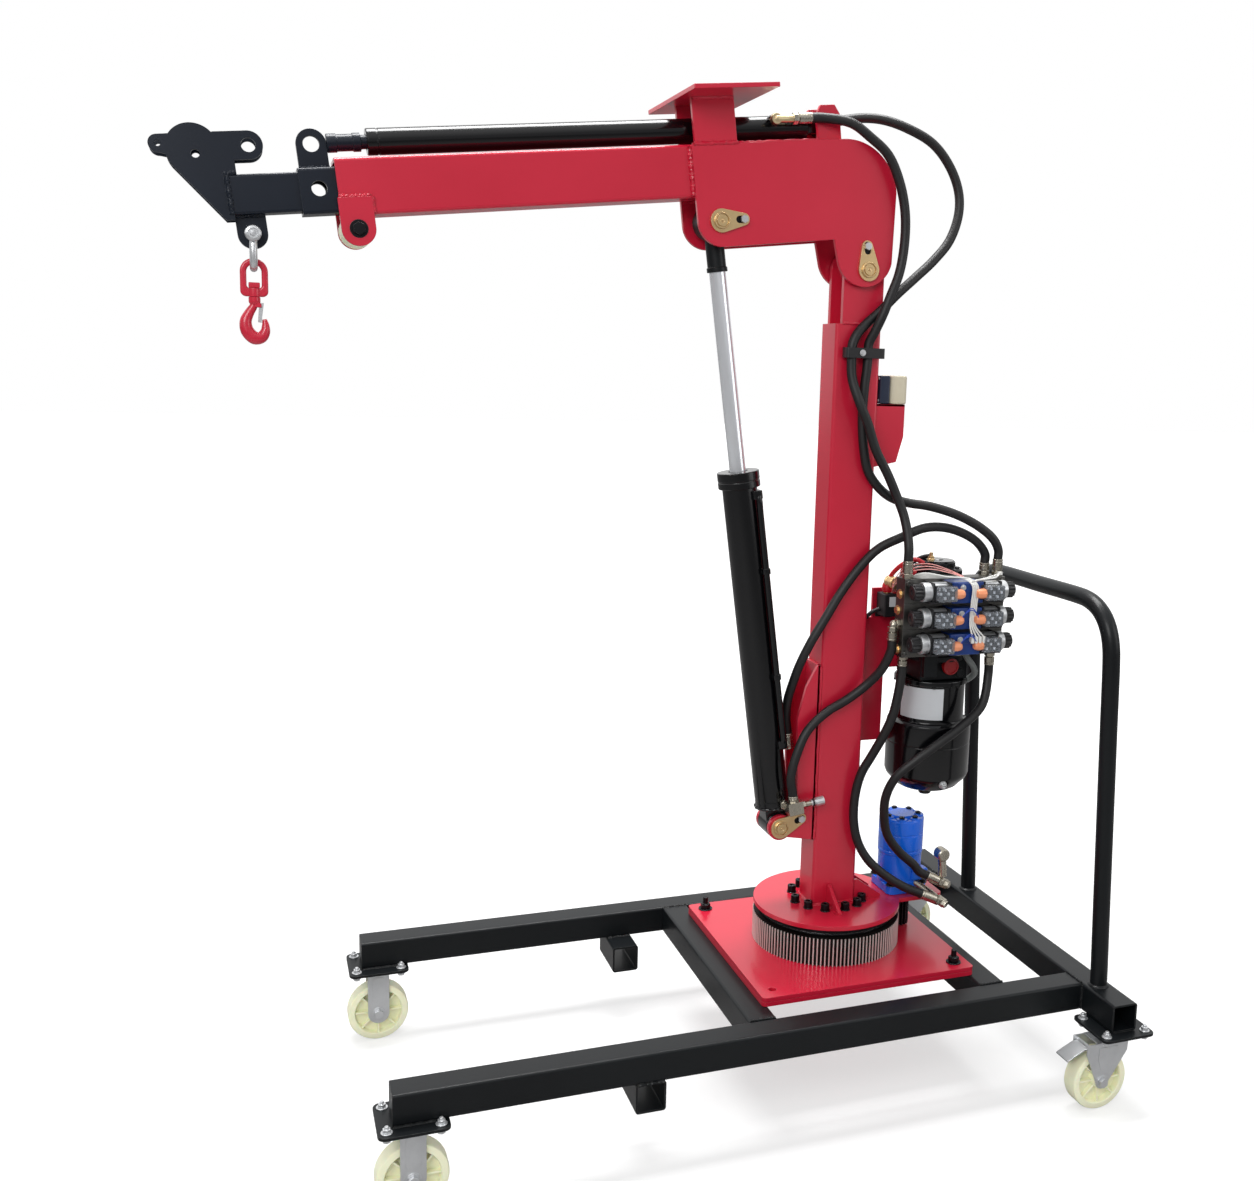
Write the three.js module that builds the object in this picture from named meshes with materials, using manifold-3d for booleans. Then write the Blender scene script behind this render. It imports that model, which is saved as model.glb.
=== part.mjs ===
import * as THREE from 'three';
import { mergeVertices } from 'three/addons/utils/BufferGeometryUtils.js';
import Module from 'manifold-3d';

// A small hydraulic crane on a wheeled frame, with a slewing mast and a telescopic boom.
// The working origin is the slewing axis on the floor: X runs to the boom tip, Y to the left
// side, Z up, all in millimetres. The finished group is moved so that its box is centred.

const wasm = await Module();
wasm.setup();

// Clearances and the fineness of round shapes
const fit = { seat: 0.3, weld: 1, overrun: 4, run: 0.35, slide: 0.5 };
const sides = { wheel: 16, round: 16, small: 8, hose: 8, hex: 6, disc: 36, plate: 18, arc: 6, corner: 3 };

// Wheeled frame of square tube
const frame = {
  tube: 60, wall: 4, underside: 175, legFront: 983, legOuter: 350,
  crossbarFront: -450, crossbarHalf: 460, crossTubeStep: 17,
  socketLeftX: 510, socketRightX: 399, socketLength: 120,
  plate: 490, lowerPlate: 10, turretPlate: 9, plateHole: 8, plateHoleInset: 33,
};
const frameTop = frame.underside + frame.tube;
const legMid = frame.legOuter - frame.tube / 2;
const crossbarX = frame.crossbarFront - frame.tube / 2;
const crossTubeX = frame.plate / 2 + frame.crossTubeStep;
const turretPlateBottom = frameTop + frame.lowerPlate + fit.seat;
const turretPlateTop = turretPlateBottom + frame.turretPlate;

// Casters with nylon wheels
const caster = {
  frontInset: 36, rearY: 426,
  padLength: 126, padWidth: 120, padThickness: 6, padCorner: 14,
  plateLength: 115, plateWidth: 100, plateThickness: 4, plateCorner: 12,
  wheelRadius: 65, treadHalf: 19, chamfer: 4, rimInner: 50, webHalf: 6, hubRadius: 17, hubHalf: 22,
  axleRadius: 6, nutRadius: 9.5, nutLength: 8, forkWall: 3, forkInner: 46, forkWidth: 46,
};
const casterFrontX = frame.legFront - caster.frontInset;
const swivel = {
  trail: 38, raceRadius: 30, raceHeight: 9, crownRadius: 33, crownThickness: 5,
  earX: 80, earDrop: 20, backX: -22, axleLobe: 15,
};
const pedal = {
  hingeX: 70, hingeDrop: 9, barrelRadius: 5, tipX: 124, tipDrop: 34, thickness: 3, half: 21, roofGap: 15,
};

// Push handle, a bent round tube that leans towards the mast
const handle = {
  radius: 18, leftY: 365, rightY: -185, height: 1062, bend: 120, lean: 36, collar: 14, steps: 40,
};

// Slewing ring, pinion and turntable
const slew = {
  module: 2.7, ringTeeth: 120, pinionTeeth: 18, driveAngle: 183, backlash: 0.55,
  addendumShare: 0.85, dedendumShare: 1.25, flankShare: 0.364,
  ringTop: 316, ringInner: 130, faceGap: 4, shaftRadius: 12, shaftHole: 14,
  raceOuter: 150, raceInner: 100, tableRadius: 164, tableBottom: 335, tableThickness: 10,
  armEnd: -266, armStart: -100, armLeft: 58, armRight: -66, armCorner: 14,
};
const tableTop = slew.tableBottom + slew.tableThickness;
const pitchSum = (slew.module * (slew.ringTeeth + slew.pinionTeeth)) / 2;
const driveDirection = THREE.MathUtils.degToRad(slew.driveAngle);
const motorX = pitchSum * Math.cos(driveDirection);
const motorY = pitchSum * Math.sin(driveDirection);

// Mast, its head and the small brackets on it
const mast = { halfX: 52, halfY: 38, wall: 6, top: 1611, cap: 8 };
const head = {
  pivotX: -7, pivotZ: 1721, radius: 45.5, lugThickness: 12, sleeveRadius: 27, pinRadius: 17.5,
};
const gusset = { thickness: 8, run: 66, rise: 46, sideX: 14, rearY: 30 };
const shelf = {
  back: -120, top: 1448, front: 1380, low: 1325, foot: 1314, lowBack: -105, thickness: 5, half: 30,
};
const controlBox = { front: -58, back: -126, half: 33, height: 60 };
const clamp = {
  front: 38, back: -50, depth: 28, low: 1542, height: 21, holeY: 52, leftX: 21, rightX: -16, rubber: 2,
};

// Lift cylinder and its bracket on the mast
const lift = {
  baseX: 134, baseZ: 532, topX: 311, topZ: 115, pinRadius: 15,
  eyeRadius: 28, eyeHalf: 26, neckHalf: 24, barrelStart: 42, barrelRadius: 36.5, boreRadius: 30,
  boreStart: 60, glandRadius: 44, glandStart: 744, glandEnd: 778, rodRadius: 17,
  pistonStart: 330, pistonLength: 40, pistonRadius: 29.2,
  collarStart: 1182, collarRadius: 19, collarRing: 21, ringLength: 9,
  rodEyeRadius: 34, rodEyeHole: 26, rodEyeHalf: 25,
};
const bracket = {
  inner: 28, thickness: 9, backPlate: 8, bottom: 497, footX: 118, footZ: 509, lobe: 28,
  throatX: 96, throatZ: 577, bulgeX: 103, bulgeZ: 772, shoulderX: 85, shoulderZ: 842, top: 889,
  lobeStartShare: -0.7, lobeEndShare: 0.75,
};
const pipe = { radius: 7, x: -27, y: 36, start: 175, end: 738, bossHalf: 10, bossDepth: 20 };
const liftPort = { x: -50, y: 5, start: 163, end: 197, elbowZ: 171, radius: 11, elbow: 9, root: 2 };
const flowBlock = {
  x: -27, y: 62, halfX: 17, halfY: 15, start: 36, end: 64, bossX: -14, bossRadius: 10, bossZ: 52,
  bossStart: 28, ferrule: 12, stemRadius: 7, stemLength: 22, knobRadius: 10, knobLength: 30, knobZ: 50,
};
const keeper = { thickness: 5, lobe: 23, boltLobe: 12, boltRadius: 9, boltHead: 6, headRadius: 24 };
const keeperReach = { boom: 47, lift: 46, baseX: -46, baseZ: 18 };

// Hydraulic power unit and valves behind the mast
const unit = {
  x: -225, y: 20, blockHalf: 58, blockBottom: 850.3, blockTop: 905, motorRadius: 56, motorTop: 1110,
  motorCap: 40, capRadius: 16, capX: -245, capZ: 878, capLength: 18, terminal: 7, terminalHeight: 16,
};
const tank = {
  nubRadius: 14, nubBottom: 575, floor: 598, floorRadius: 60, coneTop: 630, radius: 94, shoulder: 752,
  neckRadius: 76, neckBottom: 766, top: 850, wall: 3, mouth: 22,
};
const unitPlate = {
  thickness: 8, front: 40, low: 690, step: -135, shelfDrop: 117, back: -285, high: 974,
  postBack: -185, postFront: -100, postRise: 66,
};
const manifold = {
  left: -96, right: -340, near: 118, bottom: 915, top: 1085, footLeft: -168, footRight: -200,
  footDepth: 12, footBottom: 860,
};
const ferrule = {
  radius: 11, topEnd: 1122, inletTop: 1112, leftX: -107, rightX: -326, upperY: 106, inletX: -304,
  inletY: 88, midX: -82, midY: 98, midZ: 985, midEnd: 950, elbow: 9, lowLeftX: -109, lowRightX: -325,
  lowY: 98, lowLeftEnd: 893, lowRightEnd: 885,
};
const valve = {
  x: -224, y: 140, bodyHalf: 37, depth: 44, halfHeight: 23, coilRadius: 21, coilLength: 60,
  nutRadius: 17, nutLength: 26, boxStart: 30, boxLength: 50, boxDepth: 20, boxHalf: 14,
  topZ: 1060, pitch: 56,
};
const contactor = { front: -109, back: -168, near: 6, low: 981, high: 1040 };

// Slewing motor
const motor = {
  flangeHalf: 50, flangeThickness: 20, radius: 51, top: 525, lidRadius: 44, lidHeight: 6,
  portRadius: 9, upperPort: [-250, 86, 381], upperRoot: [-206, 20, 388], lowerPort: [-240, 98, 343],
  lowerRoot: [-200, 24, 372], upperHose: [-208, 82, 403], lowerHose: [-188, 95, 367],
  plug: [-242, 84, 452], plugRadius: 12,
};

// Boom sections. Boom coordinates start at the pivot pin, x along the boom, z square to it.
const boom = {
  tilt: 7.1, start: 84, end: 1020, bottom: 162, height: 100, width: 86, wall: 6,
  cheek: 10, cheekFront: 358, cheekTop: 260, cheekBottom: 65, cheekCorner: 50, innerCornerX: 70,
  lobeX: 4, lobeZ: 28, lobeRadius: 62, backX: 34, backZ: 150, backRadius: 110, wrapper: 6,
  wrapperEnd: 195, lugStart: 32, lugEnd: 83, lugTop: 329, lugInner: 25, lugThickness: 10,
};
const roller = {
  inset: 26, radius: 30, half: 34, hubRadius: 14, hubHalf: 41.5, boltRadius: 8, headRadius: 12,
  headLength: 8, lug: 9, lugTop: 193, lugHalf: 30, slotRoom: 4, slotSide: 1.5,
};
const rollerX = boom.end - roller.inset;
const winch = {
  start: 264, end: 351, plateStart: 205, plateEnd: 376, half: 150, bottom: 346.5, thickness: 8.5,
};
const ram = {
  z: 291.5, eyeX: 57, eyeRadius: 20, eyeHalf: 23, pinRadius: 10, barrelStart: 97, barrelEnd: 957,
  radius: 24, bore: 19, boreStart: 118, rodRadius: 12.5, pistonStart: 150, pistonLength: 30,
  pistonRadius: 18.4, collarStart: 967, collarRadius: 16.5, portX: 176, portY: 45, portZ: 303,
  portRadius: 9, ferruleEnd: 100, pinTail: 2, neckShare: 0.7,
};
const mid = {
  start: 150, end: 1083, height: 80, width: 62, wall: 5, pinHole: 13.5, pinInset: 33,
  pinRise: 43.5, lugInset: 5, lugLength: 52, lugHalf: 7, eyeRise: 42.5, eye: 14,
};
const inner = {
  start: 500, end: 1202, wall: 5, plate: 8, disc: 43.5, discHole: 7, tip: 15, tipHole: 5,
  ear: 24, earHole: 12, lug: 25.5, lugHalf: 6, head: 100,
};

// Heights of the sliding sections, one inside the other
const midBottom = boom.bottom + boom.wall + fit.slide;
const midTop = midBottom + mid.height;
const innerBottom = midBottom + mid.wall + fit.slide;
const innerTop = midTop - mid.wall - fit.slide;
const innerHalf = mid.width / 2 - mid.wall - fit.slide;

// Places on the middle section, from its front end
const midLug = { start: mid.end - mid.lugInset - mid.lugLength, end: mid.end - mid.lugInset };
const midPlaces = {
  pin: { x: mid.end - mid.pinInset, z: midBottom + mid.pinRise },
  eye: { x: (midLug.start + midLug.end) / 2, z: midTop + mid.eyeRise },
};

// Places on the head plates, as shares of their size: how far ahead of the end of the inner
// section, and how far above its top. The toe and the lug hang below its bottom.
const headShares = {
  disc: [0.46, 0.435], discHole: [0.42, 0.36], tip: [0.99, 0.55], ear: [-0.45, 0.47],
  chin: [0.82, 0.19], shoulder: [-0.19, 0.57], toe: [0.08, -0.08], foot: [-0.06, -0.08],
  lug: [-0.31, -0.32],
};

function headPlace(name) {
  const [ahead, rise] = headShares[name];
  const root = rise < 0 ? innerBottom : innerTop;
  return { x: inner.end + ahead * inner.head, z: root + rise * inner.head };
}

const disc = headPlace('disc');
const discHole = headPlace('discHole');
const tip = headPlace('tip');
const ear = headPlace('ear');
const chin = headPlace('chin');
const shoulder = headPlace('shoulder');
const toe = headPlace('toe');
const foot = headPlace('foot');
const hookLug = headPlace('lug');

// Shackle, swivel and hook, which hang plumb below the lug of the inner section
const hang = {
  pinRadius: 6.5, eyeRadius: 13, eyeStart: 12, eyeEnd: 24, headRadius: 15, headEnd: 35, tail: 29,
  barRadius: 5.5, bowHalf: 20, bowTop: 8, bowMiddle: 22, bowShoulder: 38, bowCorner: 15.5, bowTurn: 53,
  bowBottom: 57.5, play: 0.9,
  linkHalf: 23.5, linkBar: 10, linkThickness: 11, linkFloor: 15, linkHeight: 67,
  stemRadius: 6, nutRadius: 9, nutHeight: 10, collarRadius: 10, collarLength: 11,
  hookRadius: 7, earHalf: 7.4, earThickness: 2, latchHalf: 5, hookDrop: 77, hookReach: 18,
  bowSteps: 13, hookSteps: 16, earReachShare: 0.62, earDropShare: 0.17,
};

// Hoses, all of one size, and the fineness of their tubes
const hoseRadius = 10;
const hoseLead = 20;
const hoseSteps = 45;
const hosePitch = 40;

// Finishes
const finish = {
  redPaint: { color: 0xbe2337, roughness: 0.32, metalness: 0.1 },
  blackPaint: { color: 0x16191a, roughness: 0.4, metalness: 0.1 },
  zinc: { color: 0x9aa0a6, roughness: 0.35, metalness: 0.9 },
  nylon: { color: 0xeeedbe, roughness: 0.45, metalness: 0 },
  gearSteel: { color: 0x77716f, roughness: 0.35, metalness: 0.95 },
  darkSteel: { color: 0x1b1b1d, roughness: 0.5, metalness: 0.6 },
  chrome: { color: 0xc9ccd0, roughness: 0.08, metalness: 1 },
  yellowZinc: { color: 0xb98f4e, roughness: 0.35, metalness: 0.85 },
  blueEnamel: { color: 0x1955be, roughness: 0.3, metalness: 0.1 },
  navyEnamel: { color: 0x1b2b86, roughness: 0.35, metalness: 0.2 },
  silverBlock: { color: 0xa8a8a4, roughness: 0.4, metalness: 0.8 },
  blackPlastic: { color: 0x141416, roughness: 0.55, metalness: 0 },
  rubber: { color: 0x1c1c1d, roughness: 0.7, metalness: 0 },
  clearBox: { color: 0x26354f, roughness: 0.25, metalness: 0 },
};
const material = {};
for (const [name, values] of Object.entries(finish)) {
  material[name] = new THREE.MeshStandardMaterial(values);
}

// Geometry helpers
function solidOf(geometry) {
  const bare = new THREE.BufferGeometry();
  bare.setAttribute('position', geometry.getAttribute('position').clone());
  if (geometry.index) bare.setIndex(geometry.index.clone());
  const merged = mergeVertices(bare);
  const vertProperties = new Float32Array(merged.getAttribute('position').array);
  const triVerts = new Uint32Array(merged.index.array);
  return new wasm.Manifold(new wasm.Mesh({ numProp: 3, vertProperties, triVerts }));
}

function geometryOf(solid) {
  const mesh = solid.getMesh();
  const geometry = new THREE.BufferGeometry();
  geometry.setAttribute('position', new THREE.BufferAttribute(mesh.vertProperties, mesh.numProp));
  geometry.setIndex(new THREE.BufferAttribute(mesh.triVerts, 1));
  return geometry;
}

function join(...geometries) {
  return geometryOf(geometries.map(solidOf).reduce((whole, next) => whole.add(next)));
}

function cut(body, ...tools) {
  return geometryOf(tools.map(solidOf).reduce((whole, tool) => whole.subtract(tool), solidOf(body)));
}

// The radius of a many-sided hole whose flats clear a round shaft
function boreFor(radius, count = sides.round, gap = fit.run) {
  return (radius + gap) / Math.cos(Math.PI / count);
}

function block(x0, x1, y0, y1, z0, z1) {
  const box = new THREE.BoxGeometry(Math.abs(x1 - x0), Math.abs(y1 - y0), Math.abs(z1 - z0));
  return box.translate((x0 + x1) / 2, (y0 + y1) / 2, (z0 + z1) / 2);
}

function rodX(radius, x0, x1, y, z, count = sides.round) {
  const bar = new THREE.CylinderGeometry(radius, radius, Math.abs(x1 - x0), count);
  return bar.rotateZ(-Math.PI / 2).translate((x0 + x1) / 2, y, z);
}

function rodY(radius, y0, y1, x, z, count = sides.round) {
  const bar = new THREE.CylinderGeometry(radius, radius, Math.abs(y1 - y0), count);
  return bar.translate(x, (y0 + y1) / 2, z);
}

function rodZ(radius, z0, z1, x, y, count = sides.round) {
  const bar = new THREE.CylinderGeometry(radius, radius, Math.abs(z1 - z0), count);
  return bar.rotateX(Math.PI / 2).translate(x, y, (z0 + z1) / 2);
}

function rodBetween(radius, from, to, count = sides.small) {
  const start = new THREE.Vector3(...from);
  const run = new THREE.Vector3(...to).sub(start);
  const bar = new THREE.CylinderGeometry(radius, radius, run.length(), count);
  const upright = new THREE.Vector3(0, 1, 0);
  const turn = new THREE.Quaternion().setFromUnitVectors(upright, run.clone().normalize());
  const middle = start.addScaledVector(run, 1 / 2);
  return bar.applyQuaternion(turn).translate(middle.x, middle.y, middle.z);
}

const alongX = new THREE.Matrix4().makeBasis(
  new THREE.Vector3(0, 1, 0),
  new THREE.Vector3(0, 0, 1),
  new THREE.Vector3(1, 0, 0),
);

function extrudeX(shape, x0, x1, curveSegments = sides.arc) {
  const solid = new THREE.ExtrudeGeometry(shape, { depth: x1 - x0, bevelEnabled: false, curveSegments });
  return solid.applyMatrix4(alongX).translate(x0, 0, 0);
}

function extrudeY(shape, y0, y1, curveSegments = sides.arc) {
  const solid = new THREE.ExtrudeGeometry(shape, { depth: y1 - y0, bevelEnabled: false, curveSegments });
  return solid.rotateX(Math.PI / 2).translate(0, y1, 0);
}

function extrudeZ(shape, z0, z1, curveSegments = sides.arc) {
  const solid = new THREE.ExtrudeGeometry(shape, { depth: z1 - z0, bevelEnabled: false, curveSegments });
  return solid.translate(0, 0, z0);
}

function outline(points) {
  return new THREE.Shape(points.map(([a, b]) => new THREE.Vector2(a, b)));
}

function roundedRectangle(a0, a1, b0, b1, corner) {
  const shape = new THREE.Shape();
  shape.moveTo(a0 + corner, b0);
  shape.lineTo(a1 - corner, b0);
  shape.absarc(a1 - corner, b0 + corner, corner, -Math.PI / 2, 0);
  shape.absarc(a1 - corner, b1 - corner, corner, 0, Math.PI / 2);
  shape.absarc(a0 + corner, b1 - corner, corner, Math.PI / 2, Math.PI);
  shape.absarc(a0 + corner, b0 + corner, corner, Math.PI, (Math.PI * 3) / 2);
  return shape;
}

// A rectangular tube section with its hollow, in the plane of the extrusion
function tubeSection(a0, a1, b0, b1, wall) {
  const shape = outline([[a0, b0], [a1, b0], [a1, b1], [a0, b1]]);
  const low = [[a0 + wall, b0 + wall], [a0 + wall, b1 - wall]];
  const high = [[a1 - wall, b1 - wall], [a1 - wall, b0 + wall]];
  shape.holes.push(outline([...low, ...high]));
  return shape;
}

// A turned piece about Z: the profile goes outwards, up and back inwards
function turned(profile, count = sides.round) {
  const points = profile.map(([radius, height]) => new THREE.Vector2(radius, height));
  return new THREE.LatheGeometry(points, count).rotateX(Math.PI / 2);
}

function polygonShape(radius, count) {
  const corners = [];
  for (let i = 0; i < count; i += 1) {
    const angle = (2 * Math.PI * i) / count;
    corners.push([radius * Math.cos(angle), radius * Math.sin(angle)]);
  }
  return outline(corners);
}

function tubeAlong(curve, radius, steps, count = sides.hose) {
  const options = { steps, extrudePath: curve, bevelEnabled: false };
  return new THREE.ExtrudeGeometry(polygonShape(radius, count), options);
}

// The teardrop keeper plate of a pin, in the plane square to the pin, with its bolt head
function keeperPlate(x, z, boltX, boltZ, y0) {
  const y1 = y0 + keeper.thickness;
  const along = new THREE.Vector2(boltX - x, boltZ - z);
  const turn = Math.acos((keeper.lobe - keeper.boltLobe) / along.length());
  const side = (radius, sign, cx, cz) => {
    const angle = Math.atan2(along.y, along.x) + sign * turn;
    return [cx + radius * Math.cos(angle), cz + radius * Math.sin(angle)];
  };
  const web = outline([
    side(keeper.lobe, -1, x, z), side(keeper.boltLobe, -1, boltX, boltZ),
    side(keeper.boltLobe, 1, boltX, boltZ), side(keeper.lobe, 1, x, z),
  ]);
  return join(
    rodY(keeper.lobe, y0, y1, x, z),
    rodY(keeper.boltLobe, y0, y1, boltX, boltZ, sides.small),
    extrudeY(web, y0, y1),
    rodY(keeper.boltRadius, y1 - fit.weld, y1 + keeper.boltHead, boltX, boltZ, sides.hex),
  );
}

function add(parent, name, geometry, paint) {
  const mesh = new THREE.Mesh(geometry, paint);
  mesh.name = name;
  parent.add(mesh);
  return mesh;
}

const crane = new THREE.Group();
const hoses = new THREE.Group();

// Legs with a side socket below and the pad of the front caster
const sideList = [
  { name: 'left', sign: 1, socketX: frame.socketLeftX },
  { name: 'right', sign: -1, socketX: frame.socketRightX },
];

function casterPad(x, y) {
  const shape = roundedRectangle(
    x - caster.padLength / 2, x + caster.padLength / 2,
    y - caster.padWidth / 2, y + caster.padWidth / 2, caster.padCorner,
  );
  return extrudeZ(shape, frame.underside - caster.padThickness, frame.underside + fit.weld, sides.corner);
}

function leg(side) {
  const mid = side.sign * legMid;
  const low = mid - frame.tube / 2;
  const high = mid + frame.tube / 2;
  const rear = frame.crossbarFront + fit.seat;
  const hollow = block(
    rear - fit.overrun, frame.legFront - frame.wall,
    low + frame.wall, high - frame.wall, frame.underside + frame.wall, frameTop - frame.wall,
  );
  const bar = cut(block(rear, frame.legFront, low, high, frame.underside, frameTop), hollow);
  const outer = side.sign * frame.legOuter;
  const end = side.sign * (frame.legOuter - frame.socketLength);
  const socket = extrudeY(
    tubeSection(
      side.socketX - frame.tube / 2, side.socketX + frame.tube / 2,
      frame.underside - frame.tube + fit.weld, frame.underside + fit.weld, frame.wall,
    ),
    Math.min(outer, end), Math.max(outer, end),
  );
  return join(bar, socket, casterPad(casterFrontX, mid));
}

for (const side of sideList) {
  add(crane, `leg_${side.name}`, leg(side), material.blackPaint);
}

// Rear crossbar, open at both ends, with the pads of the rear casters
const crossbar = extrudeY(
  tubeSection(
    frame.crossbarFront - frame.tube, frame.crossbarFront,
    frame.underside, frameTop, frame.wall,
  ),
  -frame.crossbarHalf, frame.crossbarHalf,
);
add(
  crane, 'rear_crossbar',
  join(crossbar, casterPad(crossbarX, caster.rearY), casterPad(crossbarX, -caster.rearY)),
  material.blackPaint,
);

// Two cross tubes with the welded plate, and the bolted plate that carries the slewing ring
function squarePlate(z0, z1) {
  const half = frame.plate / 2;
  return block(-half, half, -half, half, z0, z1);
}

function plateHoles(z0, z1) {
  const place = frame.plate / 2 - frame.plateHoleInset;
  const holes = [];
  for (const x of [-place, place]) {
    for (const y of [-place, place]) {
      holes.push(rodZ(frame.plateHole, z0 - fit.overrun, z1 + fit.overrun, x, y, sides.small));
    }
  }
  return holes;
}

function crossTube(x) {
  const reach = frame.legOuter - frame.tube - fit.seat;
  const section = tubeSection(
    x - frame.tube / 2, x + frame.tube / 2, frame.underside, frameTop, frame.wall,
  );
  return extrudeY(section, -reach, reach);
}

const subframe = join(
  crossTube(crossTubeX), crossTube(-crossTubeX),
  squarePlate(frameTop - fit.weld, frameTop + frame.lowerPlate),
);
add(crane, 'subframe', subframe, material.redPaint);
add(
  crane, 'turret_plate',
  cut(squarePlate(turretPlateBottom, turretPlateTop), ...plateHoles(turretPlateBottom, turretPlateTop)),
  material.redPaint,
);

// Push handle
function handlePath() {
  const foot = frameTop + fit.seat;
  const topX = crossbarX + handle.lean;
  const at = (y, z) => {
    const share = Math.max(0, (z - foot - handle.collar) / (handle.height - foot - handle.collar));
    return new THREE.Vector3(crossbarX + (topX - crossbarX) * share, y, z);
  };
  const low = foot + handle.collar;
  const turn = handle.height - handle.bend;
  const path = new THREE.CurvePath();
  path.add(new THREE.LineCurve3(at(handle.leftY, foot), at(handle.leftY, low)));
  path.add(new THREE.LineCurve3(at(handle.leftY, low), at(handle.leftY, turn)));
  path.add(new THREE.QuadraticBezierCurve3(
    at(handle.leftY, turn), at(handle.leftY, handle.height), at(handle.leftY - handle.bend, handle.height),
  ));
  path.add(new THREE.LineCurve3(
    at(handle.leftY - handle.bend, handle.height), at(handle.rightY + handle.bend, handle.height),
  ));
  path.add(new THREE.QuadraticBezierCurve3(
    at(handle.rightY + handle.bend, handle.height), at(handle.rightY, handle.height),
    at(handle.rightY, turn),
  ));
  path.add(new THREE.LineCurve3(at(handle.rightY, turn), at(handle.rightY, low)));
  path.add(new THREE.LineCurve3(at(handle.rightY, low), at(handle.rightY, foot)));
  return path;
}

const handleTube = tubeAlong(handlePath(), handle.radius, handle.steps, sides.hose);
add(crane, 'push_handle', handleTube, material.blackPaint);

// Casters, built about their own vertical axis on the floor
const casterPlateTop = frame.underside - caster.padThickness - fit.seat;
const casterPlateBottom = casterPlateTop - caster.plateThickness;

function casterPlate() {
  const shape = roundedRectangle(
    -caster.plateLength / 2, caster.plateLength / 2,
    -caster.plateWidth / 2, caster.plateWidth / 2, caster.plateCorner,
  );
  return extrudeZ(shape, casterPlateBottom, casterPlateTop, sides.corner);
}

function axle(x) {
  const outer = caster.forkInner / 2 + caster.forkWall;
  const end = outer + caster.nutLength;
  return join(
    rodY(caster.axleRadius, -end, end, x, caster.wheelRadius, sides.small),
    rodY(caster.nutRadius, outer - fit.weld, end - fit.weld, x, caster.wheelRadius, sides.hex),
    rodY(caster.nutRadius, -end + fit.weld, -outer + fit.weld, x, caster.wheelRadius, sides.hex),
  );
}

function bothForkSides(shape) {
  const near = caster.forkInner / 2;
  const far = near + caster.forkWall;
  return [extrudeY(shape, near, far), extrudeY(shape, -far, -near)];
}

function rigidFork() {
  const half = caster.forkWidth / 2;
  const strap = new THREE.Shape();
  strap.moveTo(-half, casterPlateBottom + fit.weld);
  strap.lineTo(-half, caster.wheelRadius);
  strap.absarc(0, caster.wheelRadius, half, Math.PI, 2 * Math.PI);
  strap.lineTo(half, casterPlateBottom + fit.weld);
  return join(casterPlate(), ...bothForkSides(strap), axle(0));
}

function casterWheel() {
  const r = caster.wheelRadius;
  const w = caster.treadHalf;
  const bore = boreFor(caster.axleRadius);
  const profile = [
    [bore, -caster.hubHalf], [caster.hubRadius, -caster.hubHalf], [caster.hubRadius, -caster.webHalf],
    [caster.rimInner, -caster.webHalf], [caster.rimInner, -w], [r - caster.chamfer, -w],
    [r, -w + caster.chamfer], [r, w - caster.chamfer], [r - caster.chamfer, w], [caster.rimInner, w],
    [caster.rimInner, caster.webHalf], [caster.hubRadius, caster.webHalf],
    [caster.hubRadius, caster.hubHalf], [bore, caster.hubHalf], [bore, -caster.hubHalf],
  ];
  return turned(profile, sides.wheel).rotateX(-Math.PI / 2);
}

const raceBottom = casterPlateBottom - swivel.raceHeight;
const crownTop = raceBottom - fit.seat;
const crownBottom = crownTop - swivel.crownThickness;

function swivelPlate() {
  return join(casterPlate(), rodZ(swivel.raceRadius, raceBottom, casterPlateBottom + fit.weld, 0, 0));
}

function swivelFork() {
  const cheek = new THREE.Shape();
  const low = caster.wheelRadius;
  cheek.moveTo(swivel.backX, crownBottom + fit.weld);
  cheek.lineTo(swivel.trail - swivel.axleLobe, low);
  cheek.absarc(swivel.trail, low, swivel.axleLobe, Math.PI, 2 * Math.PI);
  cheek.lineTo(swivel.earX, crownBottom - swivel.earDrop);
  cheek.lineTo(swivel.earX, crownBottom + fit.weld);
  const crown = rodZ(swivel.crownRadius, crownBottom, crownTop, 0, 0);
  const roofEnd = pedal.hingeX - pedal.roofGap;
  const outer = caster.forkInner / 2 + caster.forkWall;
  const roof = block(swivel.backX, roofEnd, -outer, outer, crownBottom, crownBottom + caster.forkWall);
  return join(crown, roof, ...bothForkSides(cheek), axle(swivel.trail));
}

function brakePedal() {
  const hingeZ = crownBottom - pedal.hingeDrop;
  const tipZ = crownTop - pedal.tipDrop;
  const barrelEnd = caster.forkInner / 2 - fit.seat;
  const tread = outline([
    [pedal.hingeX, hingeZ - pedal.thickness / 2], [pedal.tipX, tipZ - pedal.thickness / 2],
    [pedal.tipX, tipZ + pedal.thickness / 2], [pedal.hingeX, hingeZ + pedal.thickness / 2],
  ]);
  return join(
    rodY(pedal.barrelRadius, -barrelEnd, barrelEnd, pedal.hingeX, hingeZ, sides.small),
    extrudeY(tread, -pedal.half, pedal.half),
  );
}

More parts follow.
